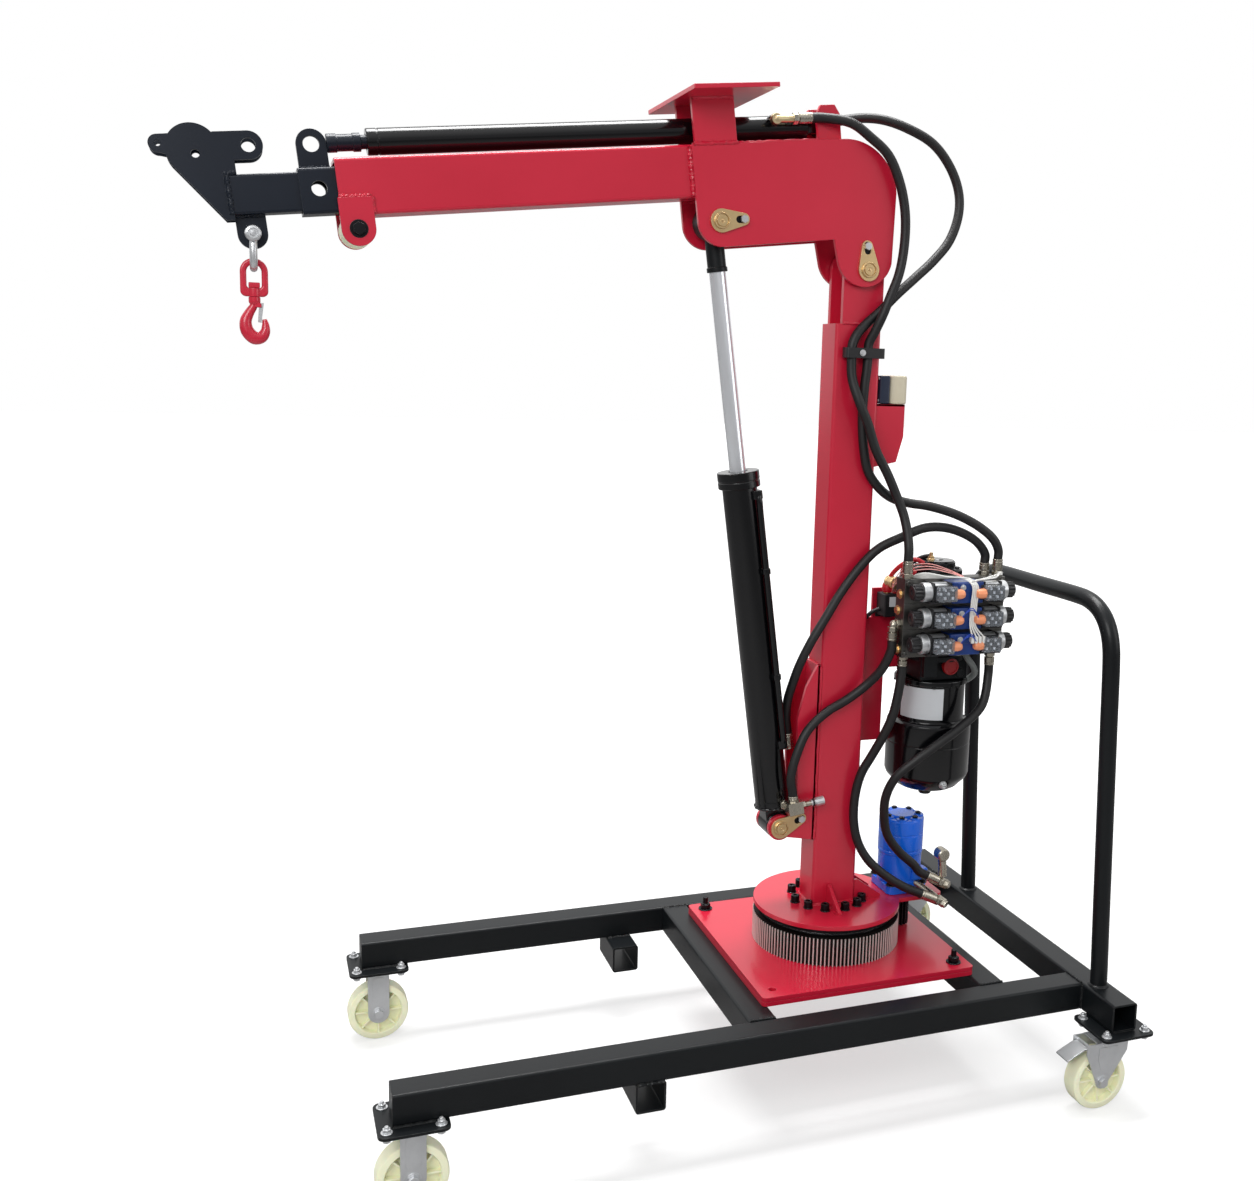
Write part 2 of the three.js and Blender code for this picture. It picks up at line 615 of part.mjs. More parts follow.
for (const side of sideList) {
  const front = new THREE.Group();
  front.position.set(casterFrontX, side.sign * legMid, 0);
  crane.add(front);
  add(front, `caster_fork_front_${side.name}`, rigidFork(), material.zinc);
  const frontWheel = casterWheel().translate(0, 0, caster.wheelRadius);
  add(front, `wheel_front_${side.name}`, frontWheel, material.nylon);

  const rear = new THREE.Group();
  rear.position.set(crossbarX, side.sign * caster.rearY, 0);
  crane.add(rear);
  add(rear, `caster_plate_rear_${side.name}`, swivelPlate(), material.zinc);
  add(rear, `caster_fork_rear_${side.name}`, swivelFork(), material.zinc);
  const rearWheel = casterWheel().translate(swivel.trail, 0, caster.wheelRadius);
  add(rear, `wheel_rear_${side.name}`, rearWheel, material.nylon);
  add(rear, `brake_pedal_${side.name}`, brakePedal(), material.zinc);
}

// Slewing ring and pinion, with straight-sided teeth and a little backlash
function gearOutline(teeth, phase) {
  const pitch = (slew.module * teeth) / 2;
  const tip = pitch + slew.module * slew.addendumShare;
  const root = pitch - slew.module * slew.dedendumShare;
  const halfAtPitch = (Math.PI * slew.module) / 4 - slew.backlash / 2;
  const halfAtTip = halfAtPitch - slew.module * slew.addendumShare * slew.flankShare;
  const halfAtRoot = halfAtPitch + slew.module * slew.dedendumShare * slew.flankShare;
  const points = [];
  for (let i = 0; i < teeth; i += 1) {
    const middle = phase + (2 * Math.PI * i) / teeth;
    const corners = [[root, -halfAtRoot], [tip, -halfAtTip], [tip, halfAtTip], [root, halfAtRoot]];
    for (const [radius, half] of corners) {
      const angle = middle + half / radius;
      points.push([radius * Math.cos(angle), radius * Math.sin(angle)]);
    }
  }
  return outline(points);
}

function circleHole(radius, count) {
  const path = new THREE.Path();
  for (let i = 0; i < count; i += 1) {
    const angle = (-2 * Math.PI * i) / count;
    const x = radius * Math.cos(angle);
    const y = radius * Math.sin(angle);
    if (i === 0) path.moveTo(x, y);
    else path.lineTo(x, y);
  }
  return path;
}

const ringBottom = turretPlateTop + fit.seat;
const ringShape = gearOutline(slew.ringTeeth, 0);
ringShape.holes.push(circleHole(slew.ringInner, sides.disc));
add(crane, 'ring_gear', extrudeZ(ringShape, ringBottom, slew.ringTop), material.gearSteel);

const pinionPhase = driveDirection + Math.PI + Math.PI / slew.pinionTeeth;
const pinionTop = slew.ringTop;
const pinion = join(
  extrudeZ(gearOutline(slew.pinionTeeth, pinionPhase), ringBottom + slew.faceGap, pinionTop),
  rodZ(slew.shaftRadius, pinionTop - fit.weld, tableTop + motor.flangeThickness, 0, 0),
);
add(crane, 'slew_pinion', pinion.translate(motorX, motorY, 0), material.darkSteel);

// Inner race: a turned ring inside the gear that carries the turntable
const raceGap = slew.ringInner * Math.cos(Math.PI / sides.disc) - fit.slide;
const race = [
  [slew.raceInner, ringBottom], [raceGap, ringBottom], [raceGap, slew.ringTop + fit.slide],
  [slew.raceOuter, slew.ringTop + fit.slide], [slew.raceOuter, slew.tableBottom - fit.seat],
  [slew.raceInner, slew.tableBottom - fit.seat], [slew.raceInner, ringBottom],
];
add(crane, 'bearing_race', turned(race, sides.disc), material.darkSteel);

// Turntable disc with the arm of the slewing motor and the gussets of the mast
function gussetAlongY(sign) {
  const start = sign * (mast.halfY + fit.seat);
  const end = start + sign * gusset.run;
  const shape = outline([
    [start, tableTop - fit.weld], [end, tableTop - fit.weld], [start, tableTop + gusset.rise],
  ]);
  return extrudeX(shape, gusset.sideX - gusset.thickness / 2, gusset.sideX + gusset.thickness / 2);
}

function gussetAlongX(y) {
  const start = -mast.halfX - fit.seat;
  const shape = outline([
    [start, tableTop - fit.weld], [start, tableTop + gusset.rise], [start - gusset.run, tableTop - fit.weld],
  ]);
  return extrudeY(shape, y - gusset.thickness / 2, y + gusset.thickness / 2);
}

const armShape = roundedRectangle(slew.armEnd, slew.armStart, slew.armRight, slew.armLeft, slew.armCorner);
const turntable = cut(
  join(
    rodZ(slew.tableRadius, slew.tableBottom, tableTop, 0, 0, sides.disc),
    extrudeZ(armShape, slew.tableBottom, tableTop, sides.corner),
    gussetAlongY(1), gussetAlongY(-1), gussetAlongX(gusset.rearY), gussetAlongX(-gusset.rearY),
  ),
  rodZ(slew.shaftHole, slew.tableBottom - fit.overrun, tableTop + fit.overrun, motorX, motorY),
);
add(crane, 'turntable', turntable, material.redPaint);

// Slewing motor with its two hose ends
function slewMotor() {
  const bottom = tableTop + fit.seat;
  const flangeTop = bottom + motor.flangeThickness;
  const [plugX, plugY, plugZ] = motor.plug;
  const flange = roundedRectangle(
    motorX - motor.flangeHalf, motorX + motor.flangeHalf,
    motorY - motor.flangeHalf, motorY + motor.flangeHalf, slew.armCorner,
  );
  const well = rodZ(
    boreFor(slew.shaftRadius, sides.round, fit.slide), bottom - fit.overrun, flangeTop + fit.overrun,
    motorX, motorY,
  );
  return cut(
    join(
      extrudeZ(flange, bottom, flangeTop, sides.corner),
      rodZ(motor.radius, flangeTop - fit.weld, motor.top - motor.lidHeight, motorX, motorY),
      rodZ(motor.lidRadius, motor.top - motor.lidHeight - fit.weld, motor.top, motorX, motorY),
      rodBetween(motor.portRadius, motor.upperRoot, motor.upperPort),
      rodBetween(motor.portRadius, motor.lowerRoot, motor.lowerPort),
      rodBetween(ferrule.radius, motor.upperPort, motor.upperHose),
      rodBetween(ferrule.radius, motor.lowerPort, motor.lowerHose),
      rodBetween(motor.portRadius, motor.upperPort, motor.plug),
      rodY(motor.plugRadius, plugY - motor.plugRadius, plugY + motor.plugRadius, plugX, plugZ, sides.small),
    ),
    well,
  );
}

add(crane, 'slew_motor', slewMotor(), material.blueEnamel);

// Mast column with its head lugs, pivot sleeve and the shelf of the control box
function mastColumn() {
  const bottom = tableTop + fit.seat;
  const section = tubeSection(-mast.halfX, mast.halfX, -mast.halfY, mast.halfY, mast.wall);
  const box = extrudeZ(section, bottom, mast.top);
  const cap = block(-mast.halfX, mast.halfX, -mast.halfY, mast.halfY, mast.top - mast.cap, mast.top);
  const lug = new THREE.Shape();
  lug.moveTo(head.pivotX - head.radius, mast.top - fit.weld);
  lug.lineTo(head.pivotX + head.radius, mast.top - fit.weld);
  lug.lineTo(head.pivotX + head.radius, head.pivotZ);
  lug.absarc(head.pivotX, head.pivotZ, head.radius, 0, Math.PI);
  const lugInner = mast.halfY - head.lugThickness;
  const sleeveEnd = boom.width / 2;
  const pinReach = sleeveEnd + fit.overrun;
  const shelfSide = outline([
    [-mast.halfX + fit.weld, shelf.foot], [shelf.lowBack, shelf.low], [shelf.back, shelf.front],
    [shelf.back, shelf.top], [-mast.halfX + fit.weld, shelf.top],
  ]);
  return cut(
    join(
      box, cap,
      extrudeY(lug, lugInner, mast.halfY), extrudeY(lug, -mast.halfY, -lugInner),
      rodY(head.sleeveRadius, -sleeveEnd, sleeveEnd, head.pivotX, head.pivotZ),
      extrudeY(shelfSide, shelf.half - shelf.thickness, shelf.half),
      extrudeY(shelfSide, -shelf.half, shelf.thickness - shelf.half),
      block(
        shelf.back, -mast.halfX + fit.weld, -shelf.half, shelf.half, shelf.top - shelf.thickness, shelf.top,
      ),
    ),
    rodY(boreFor(head.pinRadius), -pinReach, pinReach, head.pivotX, head.pivotZ),
  );
}

add(crane, 'mast_column', mastColumn(), material.redPaint);

const controlShape = roundedRectangle(
  controlBox.back, controlBox.front,
  -controlBox.half, controlBox.half, shelf.thickness,
);
const controlBottom = shelf.top + fit.seat;
add(
  crane, 'control_box',
  extrudeZ(controlShape, controlBottom, controlBottom + controlBox.height, sides.corner),
  material.clearBox,
);

const clampNear = mast.halfY + fit.seat;
const clampTop = clamp.low + clamp.height;
const clampHole = boreFor(hoseRadius, sides.small, clamp.rubber);
const clampCut = (x) => rodZ(
  clampHole, clamp.low - fit.overrun, clampTop + fit.overrun, x, clamp.holeY, sides.small,
);
add(
  crane, 'hose_clamp',
  cut(
    block(clamp.back, clamp.front, clampNear, clampNear + clamp.depth, clamp.low, clampTop),
    clampCut(clamp.leftX), clampCut(clamp.rightX),
  ),
  material.blackPaint,
);

// Bracket of the lift cylinder: two side plates on a back plate, and the pin with its keeper
function cylinderBracket() {
  const back = mast.halfX + fit.seat;
  const outer = bracket.inner + bracket.thickness;
  const side = new THREE.Shape();
  side.moveTo(back, bracket.bottom);
  side.lineTo(bracket.footX, bracket.footZ);
  side.absarc(
    lift.baseX, lift.baseZ, bracket.lobe, Math.PI * bracket.lobeStartShare, Math.PI * bracket.lobeEndShare,
  );
  side.lineTo(bracket.throatX, bracket.throatZ);
  side.lineTo(bracket.bulgeX, bracket.bulgeZ);
  side.lineTo(bracket.shoulderX, bracket.shoulderZ);
  side.lineTo(back + bracket.backPlate, bracket.top);
  side.lineTo(back, bracket.top);
  const holes = rodY(
    boreFor(lift.pinRadius), -outer - fit.overrun, outer + fit.overrun, lift.baseX, lift.baseZ,
  );
  return cut(
    join(
      block(back, back + bracket.backPlate, -outer, outer, bracket.bottom, bracket.top),
      extrudeY(side, bracket.inner, outer), extrudeY(side, -outer, -bracket.inner),
    ),
    holes,
  );
}

add(crane, 'cylinder_bracket', cylinderBracket(), material.redPaint);

const bracketOuter = bracket.inner + bracket.thickness;
const basePinEnd = bracketOuter + keeper.thickness;
const farDisc = -bracketOuter - fit.seat;
add(
  crane, 'lift_base_pin',
  join(
    rodY(lift.pinRadius, -basePinEnd, basePinEnd, lift.baseX, lift.baseZ),
    keeperPlate(
      lift.baseX, lift.baseZ, lift.baseX + keeperReach.baseX, lift.baseZ + keeperReach.baseZ,
      bracketOuter + fit.seat,
    ),
    rodY(keeper.lobe, farDisc - keeper.thickness, farDisc, lift.baseX, lift.baseZ),
  ),
  material.yellowZinc,
);

// Lift cylinder, built about its own axis from the base pin upwards
const boomTilt = THREE.MathUtils.degToRad(boom.tilt);

function boomToCrane(x, z) {
  return {
    x: head.pivotX + x * Math.cos(boomTilt) + z * Math.sin(boomTilt),
    z: head.pivotZ - x * Math.sin(boomTilt) + z * Math.cos(boomTilt),
  };
}

const liftTop = boomToCrane(lift.topX, lift.topZ);
const liftLength = Math.hypot(liftTop.x - lift.baseX, liftTop.z - lift.baseZ);
const liftGroup = new THREE.Group();
liftGroup.position.set(lift.baseX, 0, lift.baseZ);
liftGroup.rotation.y = Math.atan2(liftTop.x - lift.baseX, liftTop.z - lift.baseZ);
crane.add(liftGroup);

function liftBarrel() {
  const rodHole = boreFor(lift.rodRadius);
  const profile = [
    [0, lift.barrelStart], [lift.barrelRadius, lift.barrelStart], [lift.barrelRadius, lift.glandStart],
    [lift.glandRadius, lift.glandStart], [lift.glandRadius, lift.glandEnd], [rodHole, lift.glandEnd],
    [rodHole, lift.glandStart], [lift.boreRadius, lift.glandStart], [lift.boreRadius, lift.boreStart],
    [0, lift.boreStart],
  ];
  const pipeEnd = (z) => block(
    pipe.x - pipe.radius, pipe.x + pipe.radius,
    pipe.y - pipe.bossDepth, pipe.y + pipe.radius, z - pipe.bossHalf, z + pipe.bossHalf,
  );
  const body = join(
    turned(profile),
    rodY(lift.eyeRadius, -lift.eyeHalf, lift.eyeHalf, 0, 0),
    block(-lift.neckHalf, lift.neckHalf, -lift.eyeHalf, lift.eyeHalf, 0, lift.barrelStart + fit.weld),
    rodZ(pipe.radius, pipe.start, pipe.end, pipe.x, pipe.y, sides.small),
    rodZ(liftPort.radius, liftPort.start, liftPort.end, liftPort.x, liftPort.y, sides.small),
    rodX(
      liftPort.elbow, liftPort.x, -lift.boreRadius - liftPort.root,
      liftPort.y, liftPort.elbowZ, sides.small,
    ),
    block(
      flowBlock.x - flowBlock.halfX, flowBlock.x + flowBlock.halfX,
      flowBlock.y - flowBlock.halfY, flowBlock.y + flowBlock.halfY, flowBlock.start, flowBlock.end,
    ),
    rodY(
      flowBlock.bossRadius, flowBlock.bossStart, flowBlock.y,
      flowBlock.bossX, flowBlock.bossZ, sides.small,
    ),
    rodZ(
      liftPort.radius, flowBlock.end - fit.weld, flowBlock.end + flowBlock.ferrule,
      flowBlock.x, flowBlock.y, sides.small,
    ),
    rodX(
      flowBlock.stemRadius, flowBlock.x - flowBlock.halfX - flowBlock.stemLength, flowBlock.x,
      flowBlock.y, flowBlock.knobZ, sides.small,
    ),
  );
  const clearBore = rodZ(lift.boreRadius, lift.boreStart, lift.glandStart, 0, 0);
  return cut(
    join(body, pipeEnd(pipe.start + pipe.bossHalf), pipeEnd(pipe.end - pipe.bossHalf)),
    clearBore,
    rodY(boreFor(lift.pinRadius), -lift.eyeHalf - fit.overrun, lift.eyeHalf + fit.overrun, 0, 0),
  );
}

add(liftGroup, 'lift_barrel', liftBarrel(), material.blackPaint);

const knobStart = flowBlock.x - flowBlock.halfX - flowBlock.stemLength - fit.seat;
add(
  liftGroup, 'flow_knob',
  rodX(
    flowBlock.knobRadius, knobStart - flowBlock.knobLength, knobStart,
    flowBlock.y, flowBlock.knobZ, sides.small,
  ),
  material.zinc,
);

const rodEye = cut(
  join(
    rodZ(lift.pistonRadius, lift.pistonStart, lift.pistonStart + lift.pistonLength, 0, 0),
    rodZ(lift.rodRadius, lift.pistonStart, lift.collarStart + lift.ringLength, 0, 0),
    rodZ(lift.collarRing, lift.collarStart, lift.collarStart + lift.ringLength, 0, 0),
    rodZ(lift.collarRadius, lift.collarStart, liftLength - lift.rodEyeHole, 0, 0),
    rodY(lift.rodEyeRadius, -lift.rodEyeHalf, lift.rodEyeHalf, 0, liftLength),
  ),
  rodY(lift.rodEyeHole, -lift.rodEyeHalf - fit.overrun, lift.rodEyeHalf + fit.overrun, 0, liftLength),
);
add(liftGroup, 'lift_rod', rodEye, material.chrome);

// Power unit: plate on the mast, pump block, tank below and motor above
const unitPlateNear = -mast.halfY - fit.seat;
const unitShelf = unitPlate.high - unitPlate.shelfDrop;
const unitPostTop = unitPlate.high + unitPlate.postRise;
const unitPlateShape = outline([
  [unitPlate.front, unitPlate.low], [unitPlate.front, unitPlate.high], [unitPlate.postFront, unitPlate.high],
  [unitPlate.postFront, unitPostTop], [unitPlate.postBack, unitPostTop],
  [unitPlate.postBack, unitPlate.high], [unitPlate.back, unitPlate.high],
  [unitPlate.back, unitShelf], [unitPlate.step, unitShelf], [unitPlate.step, unitPlate.low],
]);
add(
  crane, 'power_unit_plate',
  extrudeY(unitPlateShape, unitPlateNear - unitPlate.thickness, unitPlateNear),
  material.redPaint,
);

const unitNear = unit.y + unit.blockHalf;
add(
  crane, 'pump_block',
  join(
    block(
      unit.x - unit.blockHalf, unit.x + unit.blockHalf, unit.y - unit.blockHalf, unitNear,
      unit.blockBottom, unit.blockTop,
    ),
    rodY(unit.capRadius, unitNear - fit.weld, unitNear + unit.capLength, unit.capX, unit.capZ),
  ),
  material.blackPaint,
);

const tankProfile = [
  [0, tank.nubBottom], [tank.nubRadius, tank.nubBottom], [tank.nubRadius, tank.floor - tank.wall],
  [tank.floorRadius, tank.floor - tank.wall], [tank.radius, tank.coneTop], [tank.radius, tank.shoulder],
  [tank.neckRadius, tank.neckBottom], [tank.neckRadius, tank.top], [tank.mouth, tank.top],
  [tank.mouth, tank.top - tank.wall], [tank.neckRadius - tank.wall, tank.top - tank.wall],
  [tank.neckRadius - tank.wall, tank.neckBottom - tank.wall],
  [tank.radius - tank.wall, tank.shoulder - tank.wall],
  [tank.radius - tank.wall, tank.coneTop + tank.wall], [tank.floorRadius, tank.floor], [0, tank.floor],
];
add(crane, 'oil_tank', turned(tankProfile).translate(unit.x, unit.y, 0), material.blackPaint);

add(
  crane, 'pump_motor',
  join(
    rodZ(unit.motorRadius, unit.blockTop + fit.seat, unit.motorTop - unit.terminalHeight, unit.x, unit.y),
    rodZ(unit.motorCap, unit.motorTop - unit.terminalHeight - fit.weld, unit.motorTop, unit.x, unit.y),
    rodZ(
      unit.terminal, unit.motorTop - fit.weld, unit.motorTop + unit.terminalHeight,
      unit.x + unit.terminalHeight, unit.y, sides.small,
    ),
  ),
  material.blackPaint,
);

// Valve manifold with the hose ends, and three stacked valves
const manifoldFar = unitNear + fit.seat;
const hoseEnd = (z0, z1, x, y) => rodZ(ferrule.radius, z0, z1, x, y, sides.small);
add(
  crane, 'valve_manifold',
  join(
    block(manifold.right, manifold.left, manifoldFar, manifold.near, manifold.bottom, manifold.top),
    block(
      manifold.footRight, manifold.footLeft, manifoldFar, manifoldFar + manifold.footDepth,
      manifold.footBottom, manifold.bottom + fit.weld,
    ),
    hoseEnd(manifold.top - fit.weld, ferrule.topEnd, ferrule.leftX, ferrule.upperY),
    hoseEnd(manifold.top - fit.weld, ferrule.topEnd, ferrule.rightX, ferrule.upperY),
    hoseEnd(manifold.top - fit.weld, ferrule.inletTop, ferrule.inletX, ferrule.inletY),
    rodX(ferrule.elbow, manifold.left - fit.weld, ferrule.midX, ferrule.midY, ferrule.midZ, sides.small),
    hoseEnd(ferrule.midEnd, ferrule.midZ + ferrule.elbow, ferrule.midX, ferrule.midY),
    hoseEnd(ferrule.lowLeftEnd, manifold.bottom + fit.weld, ferrule.lowLeftX, ferrule.lowY),
    hoseEnd(ferrule.lowRightEnd, manifold.bottom + fit.weld, ferrule.lowRightX, ferrule.lowY),
  ),
  material.silverBlock,
);

function solenoidValve(z) {
  const far = manifold.near + fit.seat;
  const near = far + valve.depth;
  const pieces = [
    block(
      valve.x - valve.bodyHalf, valve.x + valve.bodyHalf, far, near,
      z - valve.halfHeight, z + valve.halfHeight,
    ),
  ];
  for (const sign of [-1, 1]) {
    const body = valve.x + sign * (valve.bodyHalf - fit.weld);
    const coil = valve.x + sign * (valve.bodyHalf + valve.coilLength);
    const box = valve.x + sign * valve.boxStart;
    pieces.push(rodX(valve.coilRadius, body, coil, valve.y, z));
    const nut = coil + sign * valve.nutLength;
    pieces.push(rodX(valve.nutRadius, coil - sign * fit.weld, nut, valve.y, z, sides.small));
    pieces.push(block(
      box, box + sign * valve.boxLength,
      near - valve.boxHalf, near + valve.boxDepth, z - valve.boxHalf, z + valve.boxHalf,
    ));
  }
  return join(...pieces);
}

['valve_top', 'valve_middle', 'valve_bottom'].forEach((name, row) => {
  add(crane, name, solenoidValve(valve.topZ - row * valve.pitch), material.navyEnamel);
});

add(
  crane, 'contactor',
  block(
    contactor.back, contactor.front, unitPlateNear + fit.seat, contactor.near,
    contactor.low, contactor.high,
  ),
  material.blackPlastic,
);

// Boom, built in boom coordinates
const boomGroup = new THREE.Group();
boomGroup.position.set(head.pivotX, 0, head.pivotZ);
boomGroup.rotation.y = boomTilt;
crane.add(boomGroup);

const boomHalf = boom.width / 2;
const cheekInner = boomHalf + fit.seat;
const cheekOuter = cheekInner + boom.cheek;
const rollerZ = midBottom - fit.slide - roller.radius;

function bothSides(shape, near, far) {
  return [extrudeY(shape, near, far), extrudeY(shape, -far, -near)];
}

function boomTube() {
  const section = tubeSection(-boomHalf, boomHalf, boom.bottom, boom.bottom + boom.height, boom.wall);
  const lug = new THREE.Shape();
  lug.moveTo(rollerX - roller.lugHalf, roller.lugTop);
  lug.lineTo(rollerX - roller.lugHalf, rollerZ);
  lug.absarc(rollerX, rollerZ, roller.lugHalf, Math.PI, 2 * Math.PI);
  lug.lineTo(rollerX + roller.lugHalf - fit.run, roller.lugTop);
  const lugOuter = boomHalf - fit.weld + roller.lug;
  const end = lugOuter + roller.headLength;
  const slot = block(
    rollerX - roller.radius - roller.slotRoom, boom.end + fit.overrun,
    -roller.half - roller.slotSide, roller.half + roller.slotSide,
    boom.bottom - fit.overrun, boom.bottom + boom.wall + fit.weld,
  );
  return join(
    cut(extrudeX(section, boom.start, boom.end), slot),
    ...bothSides(lug, boomHalf - fit.weld, lugOuter),
    rodY(roller.boltRadius, -end + fit.weld, end - fit.weld, rollerX, rollerZ, sides.small),
    rodY(roller.headRadius, lugOuter - fit.weld, end, rollerX, rollerZ, sides.hex),
    rodY(roller.headRadius, -end, -lugOuter + fit.weld, rollerX, rollerZ, sides.hex),
  );
}

add(boomGroup, 'boom_tube', boomTube(), material.redPaint);

const rollerBore = boreFor(roller.boltRadius, sides.round, fit.slide);
const rollerProfile = [
  [rollerBore, -roller.hubHalf], [roller.hubRadius, -roller.hubHalf], [roller.hubRadius, -roller.half],
  [roller.radius, -roller.half], [roller.radius, roller.half], [roller.hubRadius, roller.half],
  [roller.hubRadius, roller.hubHalf], [rollerBore, roller.hubHalf], [rollerBore, -roller.hubHalf],
];
add(
  boomGroup, 'boom_roller',
  turned(rollerProfile).rotateX(-Math.PI / 2).translate(rollerX, 0, rollerZ),
  material.nylon,
);

// Cheek plates joined by the curved back plate, with the lugs of the extension cylinder
function boomCheeks() {
  const cheek = new THREE.Shape();
  cheek.moveTo(boom.cheekFront, boom.cheekTop);
  cheek.absarc(boom.backX, boom.backZ, boom.backRadius, Math.PI / 2, Math.PI);
  cheek.absarc(boom.lobeX, boom.lobeZ, boom.lobeRadius, Math.PI, 2 * Math.PI);
  cheek.lineTo(boom.innerCornerX, boom.cheekBottom);
  cheek.lineTo(boom.cheekFront - boom.cheekCorner, boom.cheekBottom);
  cheek.absarc(
    boom.cheekFront - boom.cheekCorner, boom.cheekBottom + boom.cheekCorner,
    boom.cheekCorner, -Math.PI / 2, 0,
  );
  const innerRadius = boom.backRadius - boom.wrapper;
  const sweepEnd = THREE.MathUtils.degToRad(boom.wrapperEnd);
  const wrap = new THREE.Shape();
  wrap.moveTo(boom.lugEnd, boom.cheekTop);
  wrap.absarc(boom.backX, boom.backZ, boom.backRadius, Math.PI / 2, sweepEnd);
  wrap.absarc(boom.backX, boom.backZ, innerRadius, sweepEnd, Math.PI / 2, true);
  wrap.lineTo(boom.lugEnd, boom.cheekTop - boom.wrapper);
  const lug = outline([
    [boom.lugStart, boom.cheekTop - fit.weld], [boom.lugEnd, boom.cheekTop - fit.weld],
    [boom.lugEnd, ram.z + ram.eyeRadius], [boom.lugEnd - ram.pinRadius, boom.lugTop],
    [boom.lugStart + ram.pinRadius, boom.lugTop], [boom.lugStart, ram.z + ram.eyeRadius],
  ]);
  const lugOuter = boom.lugInner + boom.lugThickness;
  const hole = boreFor(head.pinRadius);
  return cut(
    join(
      ...bothSides(cheek, cheekInner, cheekOuter),
      extrudeY(wrap, -cheekInner - fit.weld, cheekInner + fit.weld),
      ...bothSides(lug, boom.lugInner, lugOuter),
      rodY(ram.pinRadius, -lugOuter - ram.pinTail, lugOuter + ram.pinTail, ram.eyeX, ram.z),
    ),
    rodY(hole, -cheekOuter - fit.overrun, cheekOuter + fit.overrun, 0, 0),
    rodY(hole, -cheekOuter - fit.overrun, cheekOuter + fit.overrun, lift.topX, lift.topZ),
  );
}

add(boomGroup, 'boom_cheeks', boomCheeks(), material.redPaint);

function cheekPin(x, z, boltX, boltZ) {
  const near = cheekOuter + fit.seat;
  return join(
    rodY(head.pinRadius, -near - fit.weld, near + fit.weld, x, z),
    keeperPlate(x, z, boltX, boltZ, near),
    rodY(keeper.headRadius, -near - keeper.thickness, -near, x, z),
  );
}

add(boomGroup, 'boom_pivot_pin', cheekPin(0, 0, 0, keeperReach.boom), material.yellowZinc);
add(
  boomGroup, 'lift_top_pin',
  cheekPin(lift.topX, lift.topZ, lift.topX - keeperReach.lift, lift.topZ),
  material.yellowZinc,
);

const winchTop = winch.bottom + winch.thickness;
const upright = outline([
  [winch.start, boom.cheekTop + fit.seat], [winch.end, boom.cheekTop + fit.seat],
  [winch.end, winch.bottom + fit.weld], [winch.start, winch.bottom + fit.weld],
]);
add(
  boomGroup, 'winch_plate',
  join(
    block(winch.plateStart, winch.plateEnd, -winch.half, winch.half, winch.bottom, winchTop),
    ...bothSides(upright, cheekInner, cheekOuter),
  ),
  material.redPaint,
);

// Extension cylinder on top of the boom
function ramBarrel() {
  const rodHole = boreFor(ram.rodRadius);
  const profile = [
    [0, ram.barrelStart], [ram.radius, ram.barrelStart], [ram.radius, ram.barrelEnd],
    [rodHole, ram.barrelEnd], [rodHole, ram.barrelEnd - ram.collarRadius],
    [ram.bore, ram.barrelEnd - ram.collarRadius], [ram.bore, ram.boreStart], [0, ram.boreStart],
  ];
  const tube = turned(profile).rotateY(Math.PI / 2).translate(0, 0, ram.z);
  const pieces = [
    tube,
    rodY(ram.eyeRadius, -ram.eyeHalf, ram.eyeHalf, ram.eyeX, ram.z),
    block(
      ram.eyeX, ram.barrelStart + fit.weld, -ram.eyeHalf * ram.neckShare, ram.eyeHalf * ram.neckShare,
      ram.z - ram.eyeRadius * ram.neckShare, ram.z + ram.eyeRadius * ram.neckShare,
    ),
  ];
  for (const sign of [-1, 1]) {
    const start = sign * (ram.bore + fit.weld);
    pieces.push(rodY(ram.portRadius, start, sign * ram.portY, ram.portX, ram.portZ, sides.small));
    pieces.push(rodX(
      ferrule.radius, ram.ferruleEnd, ram.portX + ram.portRadius, sign * ram.portY, ram.portZ, sides.small,
    ));
  }
  return cut(
    join(...pieces),
    rodX(ram.bore, ram.boreStart, ram.barrelEnd - ram.collarRadius, 0, ram.z),
    rodY(boreFor(ram.pinRadius), -ram.eyeHalf - fit.overrun, ram.eyeHalf + fit.overrun, ram.eyeX, ram.z),
  );
}

add(boomGroup, 'extension_barrel', ramBarrel(), material.blackPaint);
add(
  boomGroup, 'extension_rod',
  join(
    rodX(ram.pistonRadius, ram.pistonStart, ram.pistonStart + ram.pistonLength, 0, ram.z),
    rodX(ram.rodRadius, ram.pistonStart, ram.collarStart + fit.weld, 0, ram.z),
    rodX(ram.collarRadius, ram.collarStart, midLug.start - fit.seat, 0, ram.z),
  ),
  material.blackPaint,
);

// Middle section, which slides in the red tube, with the lug that the extension rod pushes
function midBoom() {
  const section = tubeSection(-mid.width / 2, mid.width / 2, midBottom, midTop, mid.wall);
  const lug = new THREE.Shape();
  lug.moveTo(midLug.start, midTop - fit.weld);
  lug.lineTo(midLug.end, midTop - fit.weld);
  lug.lineTo(midLug.end, midPlaces.eye.z);
  lug.absarc(midPlaces.eye.x, midPlaces.eye.z, mid.lugLength / 2, 0, Math.PI);
  return cut(
    join(extrudeX(section, mid.start, mid.end), extrudeY(lug, -mid.lugHalf, mid.lugHalf)),
    rodY(mid.pinHole, -mid.width, mid.width, midPlaces.pin.x, midPlaces.pin.z),
    rodY(mid.eye, -mid.width, mid.width, midPlaces.eye.x, midPlaces.eye.z),
  );
}

add(boomGroup, 'mid_boom', midBoom(), material.blackPaint);

